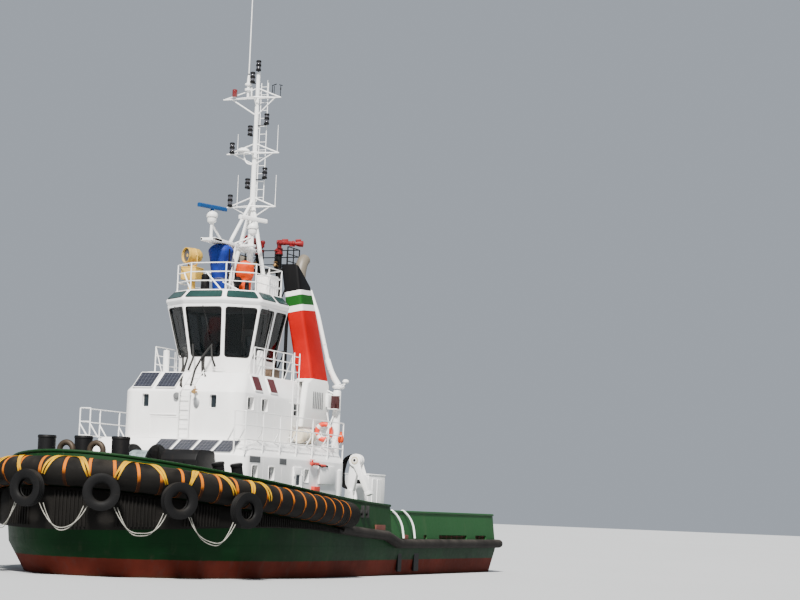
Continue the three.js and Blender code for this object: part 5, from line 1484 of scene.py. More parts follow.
class TUG_OT_wheelhouse(bpy.types.Operator):
    """Build the wheelhouse with its leaning windows, gaskets, wipers, roof lights and aft door"""

    bl_idname = "tug.wheelhouse"
    bl_label = "Wheelhouse"

    def execute(self, context):
        low, high = bridge_ring(0), bridge_ring(1)
        outer = skinned([bridge_ring(0, 0, UPPER_HOUSE["top"] + 0.002), low, high])
        inner = skinned([bridge_ring(0, -WALL, 6.5), bridge_ring(0, -WALL), bridge_ring(1, -WALL),
            bridge_ring(1, -WALL, 11)])
        walls = without(bevelled(outer, 0.03, 2, 20), inner)
        tools, gaskets, panes, wipers = [], [], [], []
        for facet, start, end in BRIDGE_WINDOWS:
            quad, normal = facet_quad(low, high, facet, start, end, 0.085, 0.045, 0.945)
            path = outline(quad, 0.12, 5)
            tools.append(slab(path, -0.3, 0.3, normal))
            gaskets.append([p - normal * 0.012 for p in path])
            panes.append(slab(path, -0.07, -0.055, normal))
            if facet in (7, 0, 6) or (facet, start) == (1, 0.0):
                head, foot = (quad[2] + quad[3]) / 2, (quad[0] + quad[1]) / 2
                lift = normal * 0.045
                hub = head + (head - foot) * 0.02
                reach = head.lerp(foot, 0.5) + (quad[1] - quad[0]) * 0.2
                wipers.append([hub + lift, reach + lift])
                wipers.append([reach.lerp(hub, 0.55) + lift * 0.6, reach.lerp(foot, 0.35) + lift * 0.6])
                wipers.append([hub - normal * 0.02, hub + lift * 1.4])
        walls = without(walls, joined(tools))
        door_hole = blocks([((-0.2, -0.36, 7.36), (-1.2, 0.36, 9.31))], 0)
        walls = without(walls, door_hole)
        coated(walls, "ship white")
        # The inner faces get the dark lining, painted shade for the dim inside of the wheelhouse.
        walls.data.materials.append(bpy.data.materials["painted shade lining"])
        for face in walls.data.polygons:
            outward = face.center - Vector((0.9, 0, face.center.z))
            if face.normal.dot(outward) < -0.2:
                face.material_index = 1
        placed(walls, None, "wheelhouse_shell", replaces="wheelhouse_walls", angle=25)
        placed(tubes(gaskets, 0.02, 8, closed=True), "gasket", "wheelhouse_gaskets")
        placed(panes, "bridge glass", "wheelhouse_panes", replaces="wheelhouse_glass", angle=20)
        placed(tubes(wipers, 0.011, 6), "gasket", "window_wipers")

        rings = [bridge_ring(1, -0.01, EAVE[0] + 0.001), bridge_ring(1, 0.06, EAVE[0] + 0.13),
            bridge_ring(1, 0.06, ROOF_EDGE_Z - 0.04), bridge_ring(1, -0.25, ROOF_TOP_Z)]
        roof = bevelled(skinned([outline(ring, 0.1, 3) for ring in rings]), 0.018, 3, 20)
        gutter = tubes([outline(bridge_ring(1, 0.05, EAVE[0] + 0.14), 0.1, 3)], 0.014, 8, closed=True)
        lip = tubes([outline(bridge_ring(1, -0.26, ROOF_TOP_Z - 0.003), 0.1, 3)], 0.018, 8, closed=True)
        placed([roof, gutter, lip], "ship white", "wheelhouse_roof_plating", replaces="wheelhouse_roof",
            angle=25)
        frames, lights = [], []
        for facet, start, end in BRIDGE_WINDOWS[:7]:
            quad, normal = facet_quad(rings[2], rings[3], facet, start, end, 0.1, 0.09, 0.86)
            path = outline(quad, 0.07, 4)
            frames.append([p + normal * 0.012 for p in path])
            lights.append(slab(path, -0.01, 0.019, normal))
        placed(lights, "roof glass", "roof_lights")
        placed(tubes(frames, 0.014, 6, closed=True), "gasket", "roof_light_gaskets")

        leaf_low, leaf_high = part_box("wheelhouse_door")
        x0, x1 = leaf_high.x, leaf_low.x
        leaf = blocks([((x0, -0.4, leaf_low.z), (x1, 0.4, leaf_high.z))], 0.012, 2)
        leaf = without(leaf, blocks([((x0 + 1, -0.26, 8.23), (x1 - 1, 0.26, 9.08))], 0.08, 4))
        rim = tubes([outline([(x1 + 0.008, y, z) for y, z in ((-0.26, 8.23), (0.26, 8.23), (0.26, 9.08),
            (-0.26, 9.08))], 0.08)], 0.008, 6, closed=True)
        placed([leaf, rim], "ship white", "wheelhouse_aft_door", body="bridge_door",
            replaces="wheelhouse_door")
        placed(blocks([((x0 - 0.02, -0.265, 8.225), (x0 - 0.032, 0.265, 9.085))], 0.003, 1), "bridge glass",
            "wheelhouse_door_pane", body="bridge_door")

        poles = [[(3.1, -0.8, 7.89), (3.45, -0.58, 7.5), (3.95, -0.39, 7.14), (4.5, -0.02, 6.7)],
            [(3.12, -0.4, 8.39), (3.2, -0.31, 7.88), (3.7, -0.21, 7.38)],
            [(3.12, -0.62, 8.1), (3.2, -0.55, 7.88), (3.6, -0.45, 7.42), (4.45, -0.1, 6.76)],
            [(3.12, 0.42, 8.39), (3.3, 0.1, 7.87), (3.75, 0.09, 7.38), (4.45, 0.33, 6.76)],
            [(3.12, 0.02, 7.92), (3.45, 0.22, 7.51), (3.95, 0.52, 7.15)],
            [(3.12, 0.1, 7.92), (3.45, 0.27, 7.51), (4.0, 0.68, 7.1)],
            [(3.14, 0.39, 8.35), (3.25, 0.5, 7.88), (3.5, 0.78, 7.54)]]
        poles = [rounded(path, 0.12) for path in poles]
        placed(tubes(poles, 0.038, 8), "gasket", "window_cleaning_rails")
        vents = [((3.0 + 0.12 * k, 0.5, 7.3), (3.05 + 0.12 * k, 0.98, 7.42 - 0.05 * k)) for k in range(3)]
        placed(blocks([((3.3, 0.52, 7.46), (3.18, 0.98, 7.48)), *vents], 0.008, 1), "moulded white",
            "sill_vents")
        return {"FINISHED"}


def cushion(low, high):
    """A soft pad between two corners: crowned faces with sides that pull in at the seam."""
    low, high = Vector(low), Vector(high)
    middle, half = (low + high) / 2, (high - low) / 2
    bpy.ops.object.select_all(action="DESELECT")
    bpy.ops.mesh.primitive_cube_add(size=2)
    obj = bpy.context.object
    bpy.ops.object.mode_set(mode="EDIT")
    bpy.ops.mesh.subdivide(number_cuts=6)
    object_mode()
    thin = min(range(3), key=lambda i: half[i])
    for vertex in obj.data.vertices:
        p = vertex.co.copy()
        others = [i for i in range(3) if i != thin]
        edge = max(abs(p[i]) for i in others)
        crown = 1 - (edge ** 4) * 0.45
        for i in others:
            p[i] *= 1 - 0.03 * p[others[0] if i == others[1] else others[1]] ** 2
        p[thin] *= crown
        vertex.co = Vector(p[i] * half[i] for i in range(3)) + middle
    return modified(obj, "SUBSURF", levels=1, render_levels=1)


class TUG_OT_bridge_inside(bpy.types.Operator):
    """Fit the helm console, its screens and levers, and the padded helm chair"""

    bl_idname = "tug.bridge_inside"
    bl_label = "Inside of the wheelhouse"

    def execute(self, context):
        z = UPPER_HOUSE["top"] + 0.001
        desk = blocks([((2.4, -0.72, z), (1.95, 0.72, z + 0.8)), ((2.25, -0.98, z), (1.65, -0.62, z + 0.78)),
            ((2.25, 0.62, z), (1.65, 0.98, z + 0.78)), ((2.42, -0.74, z + 0.76), (1.78, 0.74, z + 0.84)),
            ((2.3, -1.0, z + 0.74), (1.6, -0.6, z + 0.81)), ((2.3, 0.6, z + 0.74), (1.6, 1.0, z + 0.81))],
            0.02)
        levers = [bar((1.9, y, z + 0.82), (1.85, y, z + 0.93), 0.02) for y in (-0.8, 0.8)]
        placed([desk, *levers], "console grey", "helm_console", replaces="bridge_console")
        screens = blocks([((2.38, y - 0.2, z + 0.83), (2.33, y + 0.2, z + 0.94)) for y in (-0.5, 0.0, 0.5)],
            0.01, 1)
        placed(screens, "window glass", "helm_screens")
        foot = turned([(0, 0), (0.3, 0), (0.3, 0.03), (0.12, 0.06), (0.07, 0.12), (0.07, 0.5), (0.14, 0.51),
            (0, 0.52)], (0.8, 0, z), steps=24)
        arms = [rounded([(0.58, sign * 0.3, z + 0.6), (0.58, sign * 0.3, z + 0.82),
            (0.98, sign * 0.3, z + 0.82)], 0.08) for sign in (1, -1)]
        frame_bars = tubes([*arms, [(0.58, -0.3, z + 0.6), (0.58, 0.3, z + 0.6)],
            [(0.56, 0, z + 0.55), (0.54, 0, z + 1.1)]], 0.022, 8)
        placed([foot, frame_bars], "gear black", "helm_chair_frame", replaces="helm_chair")
        seat = cushion((0.54, -0.26, z + 0.51), (1.05, 0.26, z + 0.64))
        back = cushion((0.51, -0.25, z + 0.65), (0.62, 0.25, z + 1.29))
        for obj, name in ((seat, "helm_chair_seat"), (back, "helm_chair_back")):
            placed(obj, "seat leather", name, angle=60)
        return {"FINISHED"}


# Gear on the wheelhouse roof

ROOF_Z = 10.451
HOOD_THICK = 0.004
HOOD_STEPS = 56
SEARCHLIGHT_YAW = -30


def hood(rings, at, folds, name, finish, node, seed=3):
    """A sewn cloth hood with hanging folds, over rings of (height, radius along X, radius along Y)."""
    rng = random.Random(seed)
    phases = [rng.uniform(0, 6.28) for _ in range(6)]
    sheet = []
    for height, along, across in rings:
        ring = []
        for a in circle(HOOD_STEPS):
            wave = folds * (math.sin(5 * a + phases[0] + height * 1.3)
                + 0.6 * math.sin(9 * a + phases[1] - height * 2.1)
                + 0.5 * math.sin(12 * height + 2 * a + phases[2]))
            ring.append(Vector((at[0] + (along - folds * 2 + wave) * math.cos(a),
                at[1] + (across - folds * 2 + wave) * math.sin(a), at[2] + height)))
        sheet.append(ring)
    sheet.append([sum(sheet[-1], Vector()) / HOOD_STEPS] * HOOD_STEPS)
    obj = skinned(sheet, caps=False)
    bpy.ops.object.mode_set(mode="EDIT")
    bpy.ops.mesh.select_all(action="SELECT")
    bpy.ops.mesh.remove_doubles(threshold=1e-5)
    object_mode()
    modified(obj, "SOLIDIFY", thickness=HOOD_THICK, offset=-1)
    modified(obj, "SUBSURF", levels=1, render_levels=1)
    placed(obj, finish, name, replaces=node, angle=70)


class TUG_OT_roof_gear(bpy.types.Operator):
    """Set the searchlight, the two hooded instruments, the locker and the rails on the wheelhouse roof"""

    bl_idname = "tug.roof_gear"
    bl_label = "Roof gear"

    def execute(self, context):
        half = [(2.9, 0.74), (2.25, 1.66), (0.12, 1.66), (-0.42, 0.8)]
        rails = fence(both_sides(half), ROOF_Z, 1.02, 1.1)
        slanted = tubes([[(2.9, -0.1, ROOF_Z + 0.68), (2.9, 0.55, ROOF_Z)],
            [(2.88, 0.6, ROOF_Z + 0.3), (2.6, 1.15, ROOF_Z)], [(2.6, -1.2, ROOF_Z + 0.68),
            (2.8, -0.8, ROOF_Z + 0.02)]], 0.03)
        placed([rails, slanted], "moulded white", "wheelhouse_roof_rails", replaces="roof_rails")

        x, y = 1.9, -1.25
        foot = turned([(0, 0), (0.2, 0), (0.2, 0.03), (0.14, 0.06), (0.13, 0.46), (0.18, 0.49), (0, 0.5)],
            (x, y, ROOF_Z), steps=24)
        box = blocks([((x + 0.32, y - 0.32, ROOF_Z + 0.48), (x - 0.32, y + 0.32, ROOF_Z + 0.94)),
            ((x + 0.33, y - 0.33, ROOF_Z + 0.92), (x - 0.33, y + 0.33, ROOF_Z + 0.975))], 0.03, 3)
        placed([foot, box], "lamp yellow", "searchlight_box", replaces="searchlight_base")
        turn = moved((x, y, 0), math.radians(SEARCHLIGHT_YAW))
        low = ROOF_Z + 0.987
        lamp_z = ROOF_Z + 1.42
        drum = turned([(0, -0.355), (0.14, -0.35), (0.2, -0.31), (0.28, -0.2), (0.292, -0.05), (0.3, -0.04),
            (0.3, 0.0), (0.288, 0.01), (0.288, 0.24), (0.3, 0.26), (0.3, 0.33), (0.275, 0.33), (0.26, 0.25),
            (0, 0.25)], (0, 0, lamp_z), (1, 0, 0), 40)
        ribs = [turned([(0.288, d), (0.298, d), (0.298, d + 0.02), (0.288, d + 0.02), (0.288, d)],
            (0, 0, lamp_z), (1, 0, 0), 32) for d in (0.06, 0.12, 0.18)]
        base = turned([(0, 0), (0.16, 0), (0.16, 0.045), (0.1, 0.07), (0, 0.07)], (0, 0, low), steps=24)
        yoke = tubes([rounded([(0, -0.33, lamp_z), (0, -0.33, low + 0.06), (0, 0.33, low + 0.06),
            (0, 0.33, lamp_z)], 0.1)], 0.028, 10)
        pins = [bar((0, sign * 0.27, lamp_z), (0, sign * 0.355, lamp_z), 0.05) for sign in (1, -1)]
        lamp = joined([drum, *ribs, base, yoke, *pins])
        lamp.matrix_world = turn
        placed(lamp, "lamp yellow", "searchlight_drum", body="searchlight", replaces="searchlight")
        lens = turned([(0, 0.24), (0.14, 0.262), (0.262, 0.252), (0.262, 0.246), (0, 0.236)], (0, 0, lamp_z),
            (1, 0, 0), 40)
        lens.matrix_world = turn
        placed(lens, "lamp glass", "searchlight_lens", body="searchlight")

        hood([(0.0, 0.25, 0.25), (0.04, 0.27, 0.27), (0.3, 0.285, 0.285), (0.6, 0.33, 0.33),
            (0.85, 0.375, 0.375), (1.0, 0.395, 0.4), (1.03, 0.405, 0.41), (1.1, 0.4, 0.4), (1.3, 0.42, 0.44),
            (1.48, 0.45, 0.49), (1.57, 0.46, 0.52), (1.64, 0.44, 0.48), (1.74, 0.38, 0.4), (1.8, 0.29, 0.31),
            (1.83, 0.15, 0.16), (1.84, 0.03, 0.03)], (2.0, 0.0, ROOF_Z), 0.006, "blue_instrument_hood",
            "blue cloth", "covered_compass_blue")
        hood([(0.0, 0.24, 0.24), (0.04, 0.26, 0.26), (0.25, 0.265, 0.265), (0.48, 0.27, 0.27),
            (0.55, 0.3, 0.3), (0.62, 0.35, 0.35), (0.72, 0.355, 0.355), (0.85, 0.345, 0.35),
            (1.0, 0.35, 0.35), (1.06, 0.32, 0.32), (1.14, 0.22, 0.22), (1.19, 0.12, 0.12),
            (1.21, 0.03, 0.03)], (1.9, 1.0, ROOF_Z), 0.008, "orange_lamp_hood", "orange cloth",
            "covered_light_orange", seed=5)
        cords = []
        for cx, cy, radius, height in ((2.0, 0.0, 0.272, 0.08), (2.0, 0.0, 0.318, 0.5),
                (1.9, 1.0, 0.262, 0.42)):
            cords.append([(cx + radius * math.cos(a), cy + radius * math.sin(a),
                ROOF_Z + height + 0.01 * math.sin(3 * a)) for a in circle(28)])
        placed(tubes(cords, 0.009, 6, closed=True), "grey rope", "hood_drawstrings")

        bell = turned([(0, -0.16), (0.1, -0.15), (0.17, -0.06), (0.18, 0.02), (0.12, 0.11), (0, 0.14)],
            (2.45, 1.0, ROOF_Z + 0.36), (1, 0, 0.2), 28)
        stand = bar((2.42, 1.0, ROOF_Z), (2.42, 1.0, ROOF_Z + 0.3), 0.05)
        bell = joined([bell, bar((2.3, 1.32, ROOF_Z), (2.3, 1.32, ROOF_Z + 0.42), 0.09, 0.07)])
        horn = [bar((2.3, -0.45, ROOF_Z), (2.3, -0.45, ROOF_Z + 0.66), 0.17, 0.15, 24, 0.04),
            bar((2.35, 0.55, ROOF_Z), (2.35, 0.55, ROOF_Z + 1.6), 0.028)]
        placed([bell, stand, *horn], "gear black", "roof_loudspeakers")

        locker = blocks([((0.85, 0.98, ROOF_Z), (0.2, 1.56, ROOF_Z + 0.74)),
            ((0.86, 0.97, ROOF_Z + 0.72), (0.19, 1.57, ROOF_Z + 0.79))], 0.02)
        ribs = blocks([((0.72 - 0.17 * k, 1.555, ROOF_Z + 0.03), (0.7 - 0.17 * k, 1.572, ROOF_Z + 0.7))
            for k in range(4)] + [((0.845, 1.1 + 0.16 * k, ROOF_Z + 0.03),
            (0.862, 1.12 + 0.16 * k, ROOF_Z + 0.7)) for k in range(3)], 0.004, 1)
        placed([locker, ribs], "rusty white", "roof_locker_box", replaces="roof_locker")
        return {"FINISHED"}


# Funnels

FUNNEL_RINGS = [  # fore, aft, inner, outer, level at the fore end, level at the aft end
    (-0.1, -2.5, 2.2, 2.68, 5.55, 5.55), (-0.5, -2.5, 2.0, 2.68, 7.25, 7.25),
    (-1.0, -2.48, 1.93, 2.62, 7.45, 7.45), (-1.13, -2.45, 1.29, 2.01, 10.1, 10.1),
    (-1.15, -2.42, 0.97, 1.72, 11.9, 11.1),
]


class TUG_OT_funnels(bpy.types.Operator):
    """Raise the two leaning funnels with their bands, grilles, exhausts and side pipes"""

    bl_idname = "tug.funnels"
    bl_label = "Funnels"

    def execute(self, context):
        for sign, side in SIDES:
            rings = []
            for fore, aft, inner, outer, fore_z, aft_z in FUNNEL_RINGS:
                corners = [(fore, outer), (aft, outer), (aft, inner), (fore, inner)]
                path = outline([(x, sign * y, fore_z + (aft_z - fore_z) * (fore - x) / (fore - aft))
                    for x, y in corners], 0.14, 5)
                rings.append(path)
            stack = bevelled(skinned(rings), 0.012, 2, 25)
            inner_tool = blocks([((4.0, -2.452, 4.0), (-3.0, 2.452, 7.299))], 0)
            stack = without(stack, inner_tool)
            placed(stack, "funnel bands", f"funnel_stack_{side}", replaces=f"funnel_{side}", angle=30)
            # The exhaust's elbow, fat and cut off square
            path = [Vector((-2.05 - dx, sign * 1.36, level)) for dx, level in ((0, 11.25), (0.06, 11.7),
                (0.12, 11.9), (0.2, 12.06), (0.3, 12.18), (0.42, 12.26))]
            rings = []
            for i, point in enumerate(path):
                ahead = (path[min(i + 1, len(path) - 1)] - path[max(i - 1, 0)]).normalized()
                over = ahead.cross(ACROSS)
                rings.append([point + (ACROSS * math.cos(a) + over * math.sin(a)) * 0.235
                    for a in circle(32)])
            mouth = [[path[-1].lerp(p, 0.9) for p in rings[-1]], [path[-1].lerp(p,
                0.9) + Vector((0.15, 0, -0.08)) for p in rings[-1]]]
            pipe = skinned([*rings, *mouth])
            flange = turned([(0.23, 0), (0.27, 0), (0.27, 0.04), (0.23, 0.04), (0.23, 0)],
                (-2.05, sign * 1.36, 11.42), steps=32)
            placed([pipe, flange], "lagging beige", f"exhaust_pipe_{side}", angle=50)
            pipes = [rounded([(-2.46, sign * 1.66, 11.02), (-2.5, sign * 2.02, 10.1),
                (-2.56, sign * 2.6, 7.95), (-2.58, sign * 2.8, 7.5), (-2.62, sign * 3.0, 7.3)], 0.3, 6)]
            lower = rounded([(-2.55, sign * 2.5, 8.3), (-2.57, sign * 2.7, 7.75), (-2.62, sign * 3.0, 7.3)],
                0.3, 6)
            pipe = joined([tubes(pipes, 0.085, 16), tubes([lower], 0.115, 18)])
            cap = turned([(0, 0), (0.2, 0), (0.24, 0.05), (0.24, 0.1), (0.1, 0.16), (0, 0.18)],
                (-2.62, sign * 3.0, 7.16), steps=28)
            clamps = [blocks([((-2.44, sign * (y - 0.03), z - 0.03), (-2.6, sign * (y + 0.07), z + 0.03))],
                0.008, 1) for y, z in ((2.02, 10.05), (2.35, 8.9), (2.62, 7.9))]
            lamp = turned([(0, 0), (0.09, 0), (0.13, 0.04), (0.12, 0.1), (0.06, 0.14), (0, 0.15)],
                (-3.0, sign * 3.12, 7.42), steps=24)
            arm = tubes([[(-2.65, sign * 3.0, 7.3), (-3.0, sign * 3.12, 7.4)],
                [(-2.5, sign * 3.05, 7.05), (-3.0, sign * 3.12, 7.41)]], 0.016, 6)
            placed([pipe, cap, *clamps, lamp, arm], "moulded white", f"funnel_side_pipe_{side}")
            vent = turned([(0, 0), (0.16, 0), (0.16, 0.02), (0.12, 0.045), (0.05, 0.02), (0, 0.02)],
                (-0.28, sign * 2.45, 6.05), (0.6, sign * 0.8, 0.1), 28)
            grille = blocks([((-1.0 - 0.16 * k, sign * 2.62, 6.3), (-1.08 - 0.16 * k, sign * 2.695, 6.95))
                for k in range(6)], 0.01, 1)
            placed([vent, grille], "deck grey", f"funnel_vents_{side}")
        return {"FINISHED"}


class TUG_OT_monitors(bpy.types.Operator):
    """Fit the black monitor platform and the two red fire monitors"""

    bl_idname = "tug.monitors"
    bl_label = "Fire monitors"

    def execute(self, context):
        fore, aft, half, z = -1.52, -2.6, 1.1, 11.72
        legs = [bar((x, sign * 0.68, 7.302), (x, sign * 0.68, z + 0.02), 0.07)
            for x in (fore - 0.12, aft + 0.12) for sign in (1, -1)]
        knees = tubes([[(fore - 0.12, sign * 0.68, level), (aft + 0.12, sign * 0.68, level + 1.1)]
            for level in (7.6, 9.0, 10.3) for sign in (1, -1)] + [[(x, -0.68, level), (x, 0.68, level)]
            for x, level in ((aft + 0.12, 8.6), (aft + 0.12, 10.0), (fore - 0.12, 10.4))], 0.03, 8)
        plate = blocks([((fore, -half, z), (aft, half, z + 0.08))], 0.01)
        around = [(fore, half - 0.03), (aft + 0.03, half - 0.03), (aft + 0.03, -half + 0.03),
            (fore, -half + 0.03)]
        rail = fence(around, z + 0.08, 0.86, 0.55)
        stands = []
        for sign in (1, -1):
            stands.append(turned([(0, 0), (0.2, 0), (0.2, 0.04), (0.13, 0.06), (0.12, 0.57), (0.17, 0.59),
                (0.17, 0.623), (0, 0.623)], (-2.0, sign * 0.45, z + 0.075), steps=24))
            stands.append(turned([(0.08, -0.02), (0.1, -0.02), (0.1, 0.02), (0.08, 0.02), (0.08, -0.02)],
                (-1.82, sign * 0.45, z + 0.42), (1, 0, 0), 20))
            stands.append(bar((-2.0, sign * 0.45, z + 0.42), (-1.8, sign * 0.45, z + 0.42), 0.022))
            stands.append(bar((-2.0, sign * 0.45, z + 0.06), (-2.0, sign * 0.45, 7.31), 0.1, steps=16))
        placed([*legs, knees, plate, rail, *stands], "gear black", "monitor_deck",
            replaces="monitor_platform")
        valves = []
        for sign in (1, -1):
            valves += [bar((-2.0, sign * 0.45, z + 0.2), (-1.7, sign * 0.45, z + 0.24), 0.06),
                turned([(0, 0), (0.07, 0.01), (0.09, 0.06), (0.05, 0.12), (0, 0.13)],
                (-1.7, sign * 0.45, z + 0.18), steps=20), bar((-1.7, sign * 0.45 - 0.09, z + 0.36),
                (-1.7, sign * 0.45 + 0.09, z + 0.36), 0.016)]
        placed(valves, "bronze", "monitor_valves")

        for sign, side, yaw in ((1, "port", 125), (-1, "starboard", -10)):
            turn = moved((-2.0, sign * 0.45, 0), math.radians(yaw))
            foot, axis_z = 12.426, 12.9
            base = turned([(0, 0), (0.15, 0), (0.15, 0.08), (0.1, 0.11), (0.095, 0.25), (0, 0.26)],
                (0, 0, foot), steps=28)
            cheeks = blocks([((-0.07, s * 0.126, axis_z - 0.22), (0.07, s * 0.158, axis_z + 0.065))
                for s in (1, -1)], 0.02)
            yoke = blocks([((-0.075, -0.158, axis_z - 0.24), (0.075, 0.158, axis_z - 0.16))], 0.02)
            wheel = turned([(0.05, -0.01), (0.06, -0.01), (0.06, 0.01), (0.05, 0.01), (0.05, -0.01)],
                (-0.1, 0, foot + 0.18), (1, 0, 0), 16)
            worm = [bar((-0.11, -0.15, foot + 0.15), (-0.11, 0.15, foot + 0.15), 0.065),
                bar((0.1, 0.1, foot + 0.06), (0.1, 0.1, foot + 0.26), 0.06)]
            worm += [bar((0, s * 0.15, axis_z), (0, s * 0.25, axis_z), 0.09, 0.08) for s in (1, -1)]
            worm.append(blocks([((-0.05, 0.16, axis_z - 0.2), (0.06, 0.24, axis_z))], 0.02))
            turret = joined([base, cheeks, yoke, wheel, *worm])
            turret.matrix_world = turn
            placed(turret, "monitor red", f"monitor_fork_{side}", body=f"turret_{side}",
                replaces=f"monitor_turret_{side}")
            tube = turned([(0, -0.11), (0.08, -0.11), (0.095, -0.08), (0.1, 0.1), (0.1, 0.24), (0.085, 0.28),
                (0.08, 0.5), (0.105, 0.52), (0.105, 0.58), (0.08, 0.6), (0.08, 0.66), (0.1, 0.69),
                (0.12, 0.8), (0.125, 0.93), (0.115, 0.948), (0.09, 0.948), (0.06, 0.8), (0, 0.8)],
                (0, 0, axis_z), (1, 0, 0), 28)
            hub = bar((0, -0.117, axis_z), (0, 0.117, axis_z), 0.084)
            motor = joined([blocks([((0.1, -0.07, axis_z), (0.34, 0.07, axis_z + 0.15)),
                ((0.4, -0.05, axis_z - 0.13), (0.62, 0.05, axis_z))], 0.02),
                bar((0.64, 0, axis_z + 0.12), (0.86, 0, axis_z + 0.15), 0.045)])
            barrel = joined([tube, hub, motor])
            barrel.matrix_world = turn
            placed(barrel, "monitor red", f"monitor_gun_{side}", body=f"barrel_{side}",
                replaces=f"monitor_barrel_{side}")
        return {"FINISHED"}


# Mast

MAST_X = -0.4
MAST_TOP_Z = 19.45
RADAR_YAW = 72
YARDS = [  # level, reach to starboard and to port, depth of the brace
    (18.4, 1.5, 1.03, 0.7), (16.2, 1.23, 1.05, 0.45), (14.08, 1.12, 1.0, 0.45),
]
LANTERNS = [  # place across the boat, foot and top
    (0.04, 19.47, 19.89), (-0.2, 19.0, 19.44), (0.5, 17.31, 17.75), (-0.2, 16.9, 17.3), (-0.96, 16.21, 16.65),
    (0.52, 15.17, 15.61), (-0.21, 14.8, 15.2), (-0.94, 14.1, 14.58),
]
RADARS = [  # name, place, foot, finish and slot
    ("forward", 2.85, 0, 12.98, "radar blue", "radar_blue"),
    ("aft", 1.04, 0.8, 12.78, "moulded white", "radar_white"),
]


def lantern(y, foot, height):
    """A navigation lantern of two stacked lamps between black plates."""
    half = height / 2
    profile = [(0, 0), (0.095, 0), (0.105, 0.015), (0.105, 0.06), (0.088, 0.07)]
    profile += [(0.088, half - 0.03), (0.105, half - 0.02), (0.105, half + 0.04), (0.088, half + 0.05)]
    profile += [(0.088, height - 0.08), (0.105, height - 0.07), (0.1, height - 0.02), (0.08, height),
        (0, height)]
    return turned(profile, (MAST_X + 0.1, y, foot), steps=20)


